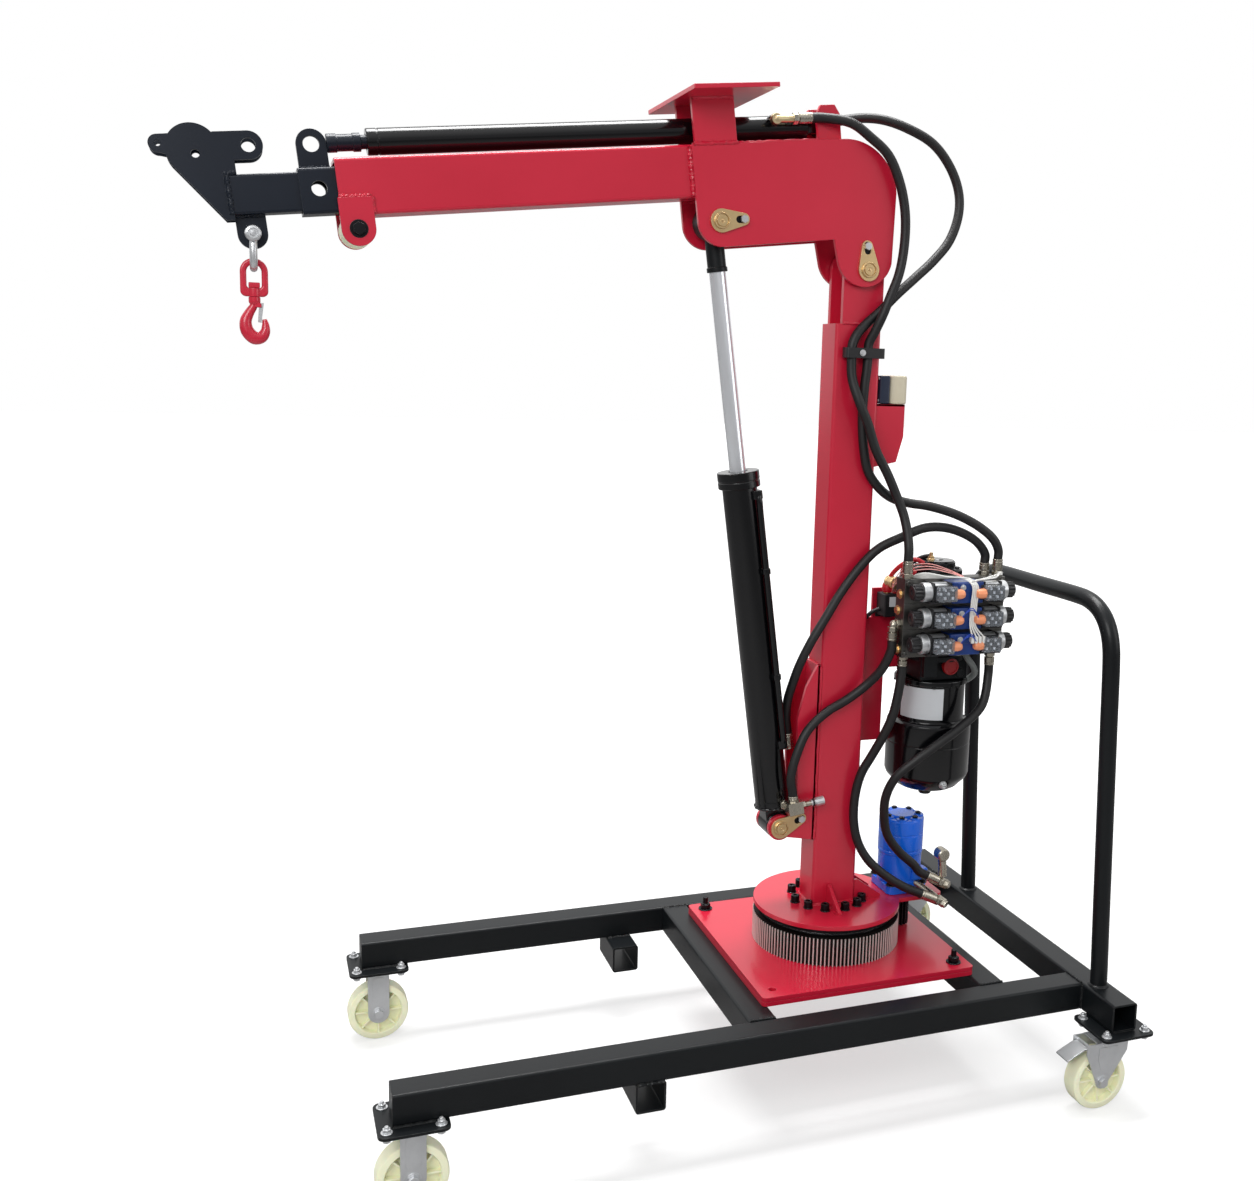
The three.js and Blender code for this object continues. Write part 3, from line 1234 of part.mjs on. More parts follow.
// Inner section with the two head plates and the lug of the shackle
function headPlate(near, far) {
  const body = outline([
    [foot.x, foot.z], [toe.x, toe.z], [chin.x, chin.z], [disc.x, shoulder.z], [shoulder.x, shoulder.z],
    [shoulder.x, innerTop - fit.weld], [foot.x, innerTop - fit.weld],
  ]);
  return join(
    extrudeY(body, near, far),
    rodY(inner.disc, near, far, disc.x, disc.z, sides.plate),
    block(ear.x, disc.x, near, far, ear.z - inner.ear, ear.z + inner.ear),
    rodY(inner.ear, near, far, ear.x, ear.z),
    block(disc.x, tip.x, near, far, tip.z - inner.tip, tip.z + inner.tip),
    rodY(inner.tip, near, far, tip.x, tip.z),
  );
}

function innerBoom() {
  const section = tubeSection(-innerHalf, innerHalf, innerBottom, innerTop, inner.wall);
  const lug = new THREE.Shape();
  lug.moveTo(hookLug.x - inner.lug, innerBottom + fit.weld);
  lug.lineTo(hookLug.x - inner.lug, hookLug.z);
  lug.absarc(hookLug.x, hookLug.z, inner.lug, Math.PI, 2 * Math.PI);
  lug.lineTo(hookLug.x + inner.lug, innerBottom + fit.weld);
  const reach = mid.width;
  return cut(
    join(
      extrudeX(section, inner.start, inner.end),
      headPlate(innerHalf - inner.plate, innerHalf), headPlate(-innerHalf, inner.plate - innerHalf),
      extrudeY(lug, -inner.lugHalf, inner.lugHalf),
    ),
    rodY(mid.pinHole, -reach, reach, midPlaces.pin.x, midPlaces.pin.z),
    rodY(inner.discHole, -reach, reach, discHole.x, discHole.z, sides.small),
    rodY(inner.tipHole, -reach, reach, tip.x, tip.z, sides.small),
    rodY(inner.earHole, -reach, reach, ear.x, ear.z),
    rodY(boreFor(hang.pinRadius, sides.round, fit.slide), -reach, reach, hookLug.x, hookLug.z),
  );
}

add(boomGroup, 'inner_boom', innerBoom(), material.blackPaint);

// Shackle, swivel link and hook, built plumb below the shackle pin
const pinPlace = boomToCrane(hookLug.x, hookLug.z);
const hangGroup = new THREE.Group();
hangGroup.position.set(pinPlace.x, 0, pinPlace.z);
crane.add(hangGroup);

function shackle() {
  const half = [
    [hang.eyeStart + hang.barRadius, -hang.bowTop], [hang.bowHalf, -hang.bowMiddle],
    [hang.bowHalf, -hang.bowShoulder], [hang.bowCorner, -hang.bowTurn],
  ];
  const left = half.map(([y, z]) => new THREE.Vector3(0, y, z));
  const right = half.map(([y, z]) => new THREE.Vector3(0, -y, z)).reverse();
  const bow = new THREE.CatmullRomCurve3([...left, new THREE.Vector3(0, 0, -hang.bowBottom), ...right]);
  return join(
    tubeAlong(bow, hang.barRadius, hang.bowSteps),
    rodY(hang.eyeRadius, hang.eyeStart, hang.eyeEnd, 0, 0),
    rodY(hang.eyeRadius, -hang.eyeEnd, -hang.eyeStart, 0, 0),
    rodY(hang.pinRadius, -hang.tail, hang.eyeEnd, 0, 0),
    rodY(hang.headRadius, hang.eyeEnd - fit.weld, hang.headEnd, 0, 0),
  );
}

add(hangGroup, 'shackle', shackle(), material.zinc);

const linkTop = -hang.bowBottom + hang.barRadius + hang.play + hang.linkBar;
const linkBottom = linkTop - hang.linkHeight;
const linkFloor = linkBottom + hang.linkFloor;

function stadium(half, bottom, arcZ, corner) {
  const shape = new THREE.Shape();
  shape.moveTo(-half + corner, bottom);
  shape.lineTo(half - corner, bottom);
  shape.absarc(half - corner, bottom + corner, corner, -Math.PI / 2, 0);
  shape.absarc(0, arcZ, half, 0, Math.PI);
  shape.absarc(-half + corner, bottom + corner, corner, Math.PI, (Math.PI * 3) / 2);
  return shape;
}

function swivelLink() {
  const arcZ = linkTop - hang.linkHalf;
  const plate = extrudeY(
    stadium(hang.linkHalf, linkBottom, arcZ, hang.linkBar), -hang.linkThickness / 2, hang.linkThickness / 2,
  );
  const window = extrudeY(
    stadium(hang.linkHalf - hang.linkBar, linkFloor, arcZ, hang.linkBar / 2),
    -hang.linkThickness, hang.linkThickness,
  );
  const stemHole = rodZ(
    boreFor(hang.stemRadius, sides.small), linkBottom - fit.overrun, linkFloor + fit.overrun,
    0, 0, sides.small,
  );
  const floor = rodZ(hang.collarRadius, linkBottom, linkFloor, 0, 0, sides.small);
  return cut(join(cut(plate, window), floor), stemHole);
}

add(hangGroup, 'swivel_link', swivelLink(), material.redPaint);

// Hook: shares of its height below the swivel, chosen by hand, give the bend
const hookTop = linkBottom - fit.seat;
const hookShares = [
  [0, 0.06], [0.1, 0.2], [0.4, 0.36], [0.62, 0.55], [0.5, 0.77], [0.02, 0.91], [-0.5, 0.89],
  [-0.86, 0.77], [-0.9, 0.63], [-0.8, 0.5],
];

function hook() {
  const points = hookShares.map(
    ([x, z]) => new THREE.Vector3(x * hang.hookReach, 0, hookTop - z * hang.hookDrop),
  );
  const bend = new THREE.CatmullRomCurve3(points);
  const earZ = hookTop - hang.hookDrop * hang.earDropShare;
  const ear = (y) => block(
    -hang.hookReach * hang.earReachShare, 0, y, y + hang.earThickness,
    earZ - hang.collarRadius / 2, earZ + hang.collarRadius / 2,
  );
  return join(
    tubeAlong(bend, hang.hookRadius, hang.hookSteps),
    rodZ(hang.collarRadius, hookTop - hang.collarLength, hookTop, 0, 0, sides.small),
    rodZ(hang.stemRadius, hookTop - hang.collarLength, linkFloor + fit.seat + fit.weld, 0, 0, sides.small),
    rodZ(hang.nutRadius, linkFloor + fit.seat, linkFloor + fit.seat + hang.nutHeight, 0, 0, sides.hex),
    ear(hang.earHalf - hang.earThickness), ear(-hang.earHalf),
  );
}

add(hangGroup, 'hook', hook(), material.redPaint);

const latchShares = [[-0.6, 0.155], [-0.345, 0.56], [-0.2, 0.56], [-0.46, 0.155]];
const latchPoints = latchShares.map(([x, z]) => [x * hang.hookReach, hookTop - z * hang.hookDrop]);
const latchShape = outline(latchPoints.reverse());
add(hangGroup, 'hook_latch', extrudeY(latchShape, -hang.latchHalf, hang.latchHalf), material.zinc);

// Hoses. Each route is a list of points chosen by hand, in the crane's working frame.
function boomPlace(x, y, z) {
  const place = boomToCrane(x, z);
  return [place.x, y, place.z];
}

function liftPlace(x, y, z) {
  const turn = liftGroup.rotation.y;
  return [
    lift.baseX + x * Math.cos(turn) + z * Math.sin(turn), y,
    lift.baseZ - x * Math.sin(turn) + z * Math.cos(turn),
  ];
}

const hoseRoutes = {
  hose_boom_near: [
    boomPlace(ram.ferruleEnd - fit.seat, ram.portY, ram.portZ), boomPlace(82, ram.portY, ram.portZ),
    [50, 62, 2005], [8, 70, 1979], [-31, 72, 1949], [-59, 72, 1900], [-76, 71, 1841],
    [-79, 70, 1781], [-70, 71, 1718], [-51, 72, 1668], [-37, 70, 1630], [-25, 61, 1596],
    [-17, 53, 1574], [-16, 52, 1560], [-16, 52, 1540], [-15, 52, 1520], [-12, 51, 1480],
    [-11, 50, 1415], [-18, 50, 1352], [-30, 50, 1307], [-56, 50, 1273], [-89, 51, 1250],
    [-126, 56, 1240], [-170, 70, 1234],
    [-226, 88, 1218], [-278, 101, 1192], [-313, 106, 1164], [ferrule.rightX, ferrule.upperY, 1140],
    [ferrule.rightX, ferrule.upperY, ferrule.topEnd + fit.seat],
  ],
  hose_boom_far: [
    boomPlace(ram.ferruleEnd - fit.seat, -ram.portY, ram.portZ), boomPlace(82, -ram.portY, ram.portZ),
    [58, -51, 2019], [16, -46, 2030], [-22, -34, 2036], [-62, -20, 2034], [-108, -7, 2021],
    [-170, 0, 1993], [-210, 6, 1949], [-232, 10, 1899], [-233, 14, 1853], [-212, 20, 1797],
    [-172, 28, 1752], [-124, 38, 1712],
    [-80, 46, 1676], [-42, 49, 1640], [-8, 49, 1610], [12, 51, 1588], [21, 52, 1566],
    [21, 52, 1550], [21, 52, 1535], [19, 55, 1500], [6, 68, 1452], [-13, 73, 1409], [-35, 73, 1353],
    [-66, 74, 1300], [-89, 77, 1252], [-102, 85, 1216], [-107, 98, 1175],
    [ferrule.leftX, ferrule.upperY, 1146], [ferrule.leftX, ferrule.upperY, ferrule.topEnd + fit.seat],
  ],
  hose_lift_rod_side: [
    [ferrule.inletX, ferrule.inletY, ferrule.inletTop + fit.seat],
    [ferrule.inletX, ferrule.inletY, 1130], [-279, 86, 1160],
    [-220, 80, 1186], [-164, 72, 1188], [-109, 63, 1166], [-62, 56, 1143], [-23, 54, 1107],
    [23, 54, 1048], [55, 54, 996], [86, 52, 944], [106, 42, 893], [115, 28, 848],
    [119, 14, 808], liftPlace(liftPort.x, liftPort.y + 1, 232),
    liftPlace(liftPort.x, liftPort.y, liftPort.end + fit.seat),
  ],
  hose_lift_base: [
    [ferrule.midX, ferrule.midY, ferrule.midEnd - fit.seat],
    [ferrule.midX, ferrule.midY, 932], [-68, 84, 884],
    [-44, 66, 848], [-4, 56, 815], [45, 54, 788], [88, 57, 751], [109, 61, 712],
    liftPlace(flowBlock.x, flowBlock.y, 120),
    liftPlace(flowBlock.x, flowBlock.y, flowBlock.end + flowBlock.ferrule + fit.seat),
  ],
  hose_slew_lower: [
    [ferrule.lowLeftX, ferrule.lowY, ferrule.lowLeftEnd - fit.seat],
    [ferrule.lowLeftX, ferrule.lowY, 874], [-97, 94, 789],
    [-82, 84, 739], [-62, 70, 689], [-43, 60, 646], [-33, 56, 597], [-32, 56, 541],
    [-42, 60, 492], [-66, 68, 449], [-106, 80, 412], [-150, 90, 384], motor.lowerHose,
  ],
  hose_slew_upper: [
    [ferrule.lowRightX, ferrule.lowY, ferrule.lowRightEnd - fit.seat],
    [ferrule.lowRightX, ferrule.lowY, 866], [-304, 115, 800], [-252, 130, 762], [-190, 137, 726],
    [-133, 134, 689], [-97, 122, 654], [-83, 106, 608], [-88, 92, 554], [-104, 82, 507],
    [-138, 78, 463], [-175, 79, 430],
    motor.upperHose,
  ],
};

// The last point of a hose that ends at a slanting fitting is pulled back by the seat gap
function seatedRoute(route, fittingEnd) {
  if (!fittingEnd) return route;
  const end = new THREE.Vector3(...route[route.length - 1]);
  const back = new THREE.Vector3(...fittingEnd).sub(end).normalize();
  end.addScaledVector(back, -fit.seat);
  const lead = end.clone().addScaledVector(back, -hoseLead);
  return [...route.slice(0, -1), lead.toArray(), end.toArray()];
}

const slantEnds = { hose_slew_lower: motor.lowerPort, hose_slew_upper: motor.upperPort };
for (const [name, route] of Object.entries(hoseRoutes)) {
  const points = seatedRoute(route, slantEnds[name]).map((point) => new THREE.Vector3(...point));
  const curve = new THREE.CatmullRomCurve3(points, false, 'centripetal');
  const steps = Math.min(hoseSteps, Math.ceil(curve.getLength() / hosePitch));
  add(hoses, name, tubeAlong(curve, hoseRadius, steps), material.rubber);
}

// The origin is the middle of the crane's box, on the floor; hoses are not counted
const group = new THREE.Group();
const reach = new THREE.Box3().setFromObject(crane, true);
const middle = reach.getCenter(new THREE.Vector3());
group.add(crane, hoses);
group.position.set(-middle.x, -middle.y, -reach.min.z);
group.updateMatrixWorld(true);

export default group;
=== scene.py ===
# %% [markdown]
# # A small hydraulic crane on casters
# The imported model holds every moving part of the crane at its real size. This notebook loads it
# as a fixed frame and dresses it: each visible piece is modelled again with fine, round shapes,
# or keeps its plain solid and gets a painted or plated finish.

# %% Load the frame
import math

import bpy
from mathutils import Matrix, Vector


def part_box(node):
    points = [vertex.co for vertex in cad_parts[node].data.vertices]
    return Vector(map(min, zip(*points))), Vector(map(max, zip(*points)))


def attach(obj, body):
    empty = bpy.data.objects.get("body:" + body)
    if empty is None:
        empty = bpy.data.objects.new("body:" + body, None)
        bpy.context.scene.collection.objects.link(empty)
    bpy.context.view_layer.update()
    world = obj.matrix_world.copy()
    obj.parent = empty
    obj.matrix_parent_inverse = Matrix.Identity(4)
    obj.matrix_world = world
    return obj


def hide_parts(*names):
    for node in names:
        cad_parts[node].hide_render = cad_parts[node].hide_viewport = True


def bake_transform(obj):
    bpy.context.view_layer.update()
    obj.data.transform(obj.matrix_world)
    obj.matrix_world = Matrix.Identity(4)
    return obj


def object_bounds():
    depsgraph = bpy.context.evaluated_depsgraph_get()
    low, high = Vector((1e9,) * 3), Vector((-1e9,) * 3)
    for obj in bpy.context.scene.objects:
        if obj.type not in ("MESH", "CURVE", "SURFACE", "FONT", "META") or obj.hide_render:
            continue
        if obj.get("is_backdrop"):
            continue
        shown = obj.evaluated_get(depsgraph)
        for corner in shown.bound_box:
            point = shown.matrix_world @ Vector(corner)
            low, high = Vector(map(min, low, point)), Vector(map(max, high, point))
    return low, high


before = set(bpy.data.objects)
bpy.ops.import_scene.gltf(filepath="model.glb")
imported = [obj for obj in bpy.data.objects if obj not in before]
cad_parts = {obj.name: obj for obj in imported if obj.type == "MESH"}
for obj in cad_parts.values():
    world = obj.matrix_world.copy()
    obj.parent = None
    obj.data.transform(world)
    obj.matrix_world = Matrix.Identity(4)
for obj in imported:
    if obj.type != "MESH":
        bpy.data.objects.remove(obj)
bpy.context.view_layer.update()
scene = bpy.context.scene
scene.view_settings.view_transform = "Standard"

# %% [markdown]
# The crane's own drawings use millimetres from the slewing axis on the floor, with X towards the
# hook. The axis is found from the ring gear, so the drawing lands where the solids are. The boom
# and the lift cylinder lean, so each has a frame of its own in which its parts are straight.

# %% Drawing frames
MM = 0.001
ring_low, ring_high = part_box("ring_gear")
AXIS_X = (ring_low.x + ring_high.x) / 2
CRANE = Matrix.Translation((AXIS_X, 0, 0)) @ Matrix.Scale(MM, 4)
PIVOT = Vector((-7, 0, 1721))
TILT = math.radians(7.1)
TOP_PIN_X, TOP_PIN_Z = 311, 115
HOOK_PIN_X, HOOK_PIN_Z = 1171, 142
tilted = Matrix.Translation(PIVOT) @ Matrix.Rotation(TILT, 4, "Y")
BOOM = CRANE @ tilted
lift_top = tilted @ Vector((TOP_PIN_X, 0, TOP_PIN_Z))
lift_base = Vector((134, 0, 532))
LEAN = math.atan2(lift_top.x - lift_base.x, lift_top.z - lift_base.z)
LIFT_LENGTH = (lift_top - lift_base).length
LIFT = CRANE @ Matrix.Translation(lift_base) @ Matrix.Rotation(LEAN, 4, "Y")
HANG = CRANE @ Matrix.Translation(tilted @ Vector((HOOK_PIN_X, 0, HOOK_PIN_Z)))
print("slewing axis at x =", round(AXIS_X, 4), "lift cylinder", round(LIFT_LENGTH, 1), "mm")


def crane(x, y, z):
    """A point of the crane's drawing, in metres in the row frame."""
    return CRANE @ Vector((x, y, z))


def boom_point(x, y, z):
    """A point given in boom millimetres, as crane millimetres."""
    return CRANE.inverted() @ (BOOM @ Vector((x, y, z)))


def lift_point(x, y, z):
    """A point given in lift cylinder millimetres, as crane millimetres."""
    return CRANE.inverted() @ (LIFT @ Vector((x, y, z)))


# %% [markdown]
# The camera stands where the photograph was taken: on the crane's left, ahead of the mast and
# about 1.5 m above the floor. The lens was worked out from the straight edges of the frame. The
# picture's middle is off the lens axis, so the frame is shifted rather than the camera turned.

# %% Camera
SENSOR, PHOTO_WIDTH, FOCAL_PIXELS = 36, 1254, 1313.8
MIDDLE_PIXEL = (627, 590.5)
AXIS_PIXEL = (759.65, 572.34)
CAMERA_PLACE = (1197.2, 2549.9, 1516.9)
lens = bpy.data.cameras.new("photo_camera")
lens.sensor_width = SENSOR
lens.lens = SENSOR * FOCAL_PIXELS / PHOTO_WIDTH
lens.shift_x = (MIDDLE_PIXEL[0] - AXIS_PIXEL[0]) / PHOTO_WIDTH
lens.shift_y = (AXIS_PIXEL[1] - MIDDLE_PIXEL[1]) / PHOTO_WIDTH
lens.clip_end = 60
camera = bpy.data.objects.new("photo_camera", lens)
scene.collection.objects.link(camera)
right = Vector((-0.93127, 0.36270, 0.03442)).normalized()
up = Vector((-0.02440, -0.15634, 0.98740)).normalized()
back = right.cross(up).normalized()
up = back.cross(right)
turn = Matrix((right, up, back)).transposed().to_4x4()
camera.matrix_world = Matrix.Translation(crane(*CAMERA_PLACE)) @ turn
scene.camera = camera
print("camera at", [round(v, 3) for v in camera.location])

# %% [markdown]
# Shader maths reads best as plain sums. A wire wraps one output of a node, and an expression
# such as 1 - mask adds the Math node that works it out. Every other node comes from one method,
# which sets its settings first and then fills or links its sockets.

# %% Shader wires


class Wire:
    """One number in a material, written with Python's own operators."""

    def __init__(self, paint, socket):
        self.paint = paint
        self.socket = socket

    def _sum(self, operation, first, second):
        values = {0: first, 1: second}
        return self.paint.node("ShaderNodeMath", {"operation": operation}, values)["Value"]

    def __add__(self, other):
        return self._sum("ADD", self, other)

    def __radd__(self, other):
        return self._sum("ADD", other, self)

    def __sub__(self, other):
        return self._sum("SUBTRACT", self, other)

    def __rsub__(self, other):
        return self._sum("SUBTRACT", other, self)

    def __mul__(self, other):
        return self._sum("MULTIPLY", self, other)

    def __rmul__(self, other):
        return self._sum("MULTIPLY", other, self)

    def __truediv__(self, other):
        return self._sum("DIVIDE", self, other)

    def clipped(self):
        """The wire kept between 0 and 1."""
        settings = {"operation": "MULTIPLY", "use_clamp": True}
        return self.paint.node("ShaderNodeMath", settings, {0: self, 1: 1.0})["Value"]


class Paint:
    """A material under construction, with the object's own coordinates at hand."""

    def __init__(self, name, **plain):
        self.material = bpy.data.materials.new(name)
        self.material.use_nodes = True
        self.tree = self.material.node_tree
        self.shader = self.tree.nodes["Principled BSDF"]
        for socket, value in plain.items():
            self.shader.inputs[socket.replace("_", " ")].default_value = value
        self.place = self.node("ShaderNodeTexCoord")["Object"]

    def node(self, kind, settings=None, values=None):
        """A node of that kind. Its outputs come back by name, each as a wire."""
        made = self.tree.nodes.new(kind)
        for name, value in (settings or {}).items():
            if name == "stops":
                self._stops(made.color_ramp, value)
            else:
                setattr(made, name, value)
        for socket, value in (values or {}).items():
            if isinstance(value, Wire):
                self.tree.links.new(value.socket, made.inputs[socket])
            else:
                made.inputs[socket].default_value = value
        return {output.name: Wire(self, output) for output in made.outputs if output.enabled}

    def _stops(self, ramp, stops):
        while len(ramp.elements) > 1:
            ramp.elements.remove(ramp.elements[0])
        ramp.elements[0].position, ramp.elements[0].color = stops[0]
        for position, color in stops[1:]:
            ramp.elements.new(position).color = color

    def noise(self, scale, detail=3.0, roughness=0.5, place=None):
        """Soft random variation, about 0.5 in the middle."""
        values = {"Vector": place or self.place, "Scale": scale, "Detail": detail, "Roughness": roughness}
        return self.node("ShaderNodeTexNoise", {}, values)["Fac"]

    def stretched(self, scale):
        """The object's coordinates, drawn out or pressed together along each axis."""
        return self.node("ShaderNodeMapping", {}, {"Vector": self.place, "Scale": scale})["Vector"]

    def between(self, mask, first, second):
        """A colour that goes from the first to the second as the mask goes from 0 to 1."""
        settings = {"data_type": "RGBA", "clamp_factor": True}
        return self.node("ShaderNodeMix", settings, {0: mask, 6: first, 7: second})["Result"]

    def edges(self, radius):
        """Rounded normals, and a mask that is 1 on sharp edges."""
        soft = self.node("ShaderNodeBevel", {"samples": 4}, {"Radius": radius})["Normal"]
        plain = self.node("ShaderNodeNewGeometry")["Normal"]
        settings = {"operation": "DOT_PRODUCT"}
        turned_away = self.node("ShaderNodeVectorMath", settings, {0: soft, 1: plain})["Value"]
        return soft, ((1 - turned_away) * 6 - 0.2).clipped()

    def bump(self, height, strength, distance, normal=None):
        """Small relief, from a height wire."""
        values = {"Height": height, "Strength": strength, "Distance": distance}
        if normal is not None:
            values["Normal"] = normal
        return self.node("ShaderNodeBump", {}, values)["Normal"]

    def set(self, **wires):
        """Links wires to the shader's sockets."""
        for socket, wire in wires.items():
            self.tree.links.new(wire.socket, self.shader.inputs[socket.replace("_", " ")])
        return self.material


def tone(red, green, blue):
    """A colour picked from the photograph, 0 to 255, as the shader wants it."""
    return (*(((v / 255) ** 2.2) for v in (red, green, blue)), 1.0)


# %% [markdown]
# The red, the black and the blues are sprayed enamel. Sprayed paint is not flat: it has a faint
# orange peel, its colour and gloss vary a little, and it wears thin on sharp edges. The edge mask
# compares a rounded normal with the real one.

# %% Painted finishes


def enamel(name, color, deep, worn, roughness, wear=0.5, coat=0.35, shine=0.45):
    """Sprayed paint with orange peel, soft gloss changes and thin edges."""
    paint = Paint(name, Coat_Roughness=0.12, Specular_IOR_Level=shine)
    patches = paint.noise(4.0, 4.0)
    specks = paint.noise(160.0, 5.0, 0.7)
    soft, edge = paint.edges(0.0012)
    ragged = (edge * (paint.noise(45.0, 4.0, 0.65) * 2.2 - 0.75)).clipped() * wear
    body = paint.between(patches, deep, color)
    shown = paint.between((ragged * 1.2).clipped(), body, worn)
    gloss = (patches * 0.1 + specks * 0.02 + (roughness - 0.06) + ragged * 0.25).clipped()
    peel = paint.bump(paint.noise(240.0, 2.0), 0.04, 0.0004, soft)
    coat_wire = (coat - ragged * coat).clipped()
    return paint.set(Base_Color=shown, Roughness=gloss, Normal=peel, Coat_Weight=coat_wire)


red_paint = enamel("red_enamel", tone(204, 36, 62), tone(184, 27, 50), tone(120, 60, 60), 0.30, 0.3)
black_paint = enamel(
    "black_enamel", tone(26, 29, 31), tone(17, 19, 21), tone(120, 118, 112), 0.4, 0.5, 0.08, 0.22,
)
night_paint = enamel(
    "blue_black_enamel", tone(27, 34, 46), tone(18, 24, 33), tone(120, 124, 130), 0.34, 0.4, 0.1, 0.28,
)
tank_paint = enamel("tank_enamel", tone(15, 16, 19), tone(9, 10, 12), tone(70, 70, 70), 0.2, 0.25, 0.3, 0.35)
blue_paint = enamel("blue_enamel", tone(0, 112, 244), tone(0, 92, 214), tone(90, 110, 140), 0.28, 0.3, 0.3)
navy_paint = enamel("navy_enamel", tone(22, 62, 132), tone(14, 42, 104), tone(110, 115, 140), 0.33, 0.4)
print("painted finishes:", 6)

# %% [markdown]
# Bare and plated metals differ mostly in colour and in how their gloss runs. Zinc is cool and
# slightly mottled, yellow zinc shifts between gold and rose, cast aluminium has a fine grain, and
# the chromed rod is almost a mirror.

# %% Metal finishes


def metal(name, color, other, roughness, mottle=18.0, grain=(1, 1, 1), scratches=0.06, bare=1.0):
    """Plated or machined metal: two close colours, mottled, with fine directional grain."""
    paint = Paint(name, Metallic=bare)
    mask = paint.noise(mottle, 4.0, 0.6)
    lines = paint.noise(300.0, 3.0, 0.6, paint.stretched(grain))
    soft, edge = paint.edges(0.0006)
    shown = paint.between(mask, color, other)
    bright = paint.between(edge * 0.35, shown, tone(235, 235, 235))
    gloss = (lines * 0.16 + mask * 0.10 + (roughness - 0.12)).clipped()
    relief = paint.bump(lines, scratches, 0.0003, soft)
    return paint.set(Base_Color=bright, Roughness=gloss, Normal=relief)


zinc = metal("bright_zinc", tone(226, 228, 230), tone(188, 190, 192), 0.34, bare=0.8)
yellow_zinc = metal("yellow_zinc", tone(234, 208, 154), tone(214, 178, 132), 0.36, 26.0)
pale_brass = metal("pale_brass", tone(232, 214, 172), tone(212, 190, 146), 0.3, 26.0)
nickel = metal("nickel_plate", tone(196, 190, 176), tone(160, 154, 140), 0.26, 30.0)
chrome = metal(
    "chromed_rod", tone(244, 246, 250), tone(226, 229, 234), 0.14, 5.0, (1, 1, 0.04), 0.02, bare=0.6,
)
dark_steel = metal("dark_oiled_steel", tone(52, 52, 55), tone(34, 34, 36), 0.42, 20.0)
aluminium = metal("cast_aluminium", tone(118, 117, 114), tone(92, 91, 88), 0.42, 22.0, (1, 0.2, 1), 0.1)
print("metal finishes:", 7)

# %% [markdown]
# Rubber, nylon and moulded plastic have no grain of their own. What shows is their gloss, a fine
# unevenness of the skin, and for nylon the warm light that enters it.

# %% Rubber and plastic finishes


def moulded(name, color, other, roughness, fine=220.0, relief=0.12, scatter=0.0):
    """Moulded rubber or plastic, slightly uneven in colour and gloss."""
    paint = Paint(name, Subsurface_Weight=scatter, Subsurface_Scale=0.004)
    mask = paint.noise(9.0, 4.0, 0.6)
    skin = paint.noise(fine, 3.0, 0.6)
    soft, edge = paint.edges(0.0008)
    shown = paint.between((mask + edge * 0.2).clipped(), color, other)
    gloss = (mask * 0.12 + skin * 0.10 + (roughness - 0.1)).clipped()
    return paint.set(Base_Color=shown, Roughness=gloss, Normal=paint.bump(skin, relief, 0.0003, soft))


hose_rubber = moulded("hose_rubber", tone(14, 14, 16), tone(28, 27, 28), 0.5, 500.0, 0.16)
black_plastic = moulded("black_plastic", tone(24, 24, 26), tone(38, 38, 40), 0.42)
nylon = moulded("cream_nylon", tone(252, 252, 222), tone(242, 242, 202), 0.4, 150.0, 0.08, 0.15)
orange_plastic = moulded("orange_plastic", tone(239, 162, 120), tone(227, 130, 88), 0.35)
red_rubber = moulded("red_rubber", tone(196, 34, 46), tone(160, 24, 34), 0.45)
cap_red = moulded("cap_red", tone(150, 16, 24), tone(120, 12, 18), 0.35)
grey_hose = moulded("grey_hose", tone(112, 116, 114), tone(92, 96, 95), 0.4)
white_wire = moulded("white_wire", tone(235, 235, 232), tone(214, 214, 210), 0.4)
pink_wire = moulded("pink_wire", tone(242, 178, 172), tone(228, 146, 142), 0.4)
blue_wire = moulded("blue_wire", tone(38, 78, 190), tone(28, 58, 160), 0.4)
silver_label = moulded("silver_label", tone(206, 209, 212), tone(190, 193, 197), 0.35)
dark_housing = moulded("dark_housing", tone(34, 44, 66), tone(24, 32, 50), 0.3)
cream_housing = moulded("cream_housing", tone(214, 206, 184), tone(196, 186, 160), 0.4)
clear_plastic = Paint("clear_plastic", Roughness=0.08, IOR=1.46, Transmission_Weight=0.85)
smoke = clear_plastic.between(clear_plastic.noise(30.0), tone(222, 228, 236), tone(200, 208, 220))
clear_plastic = clear_plastic.set(Base_Color=smoke)
print("rubber and plastic finishes:", 14)
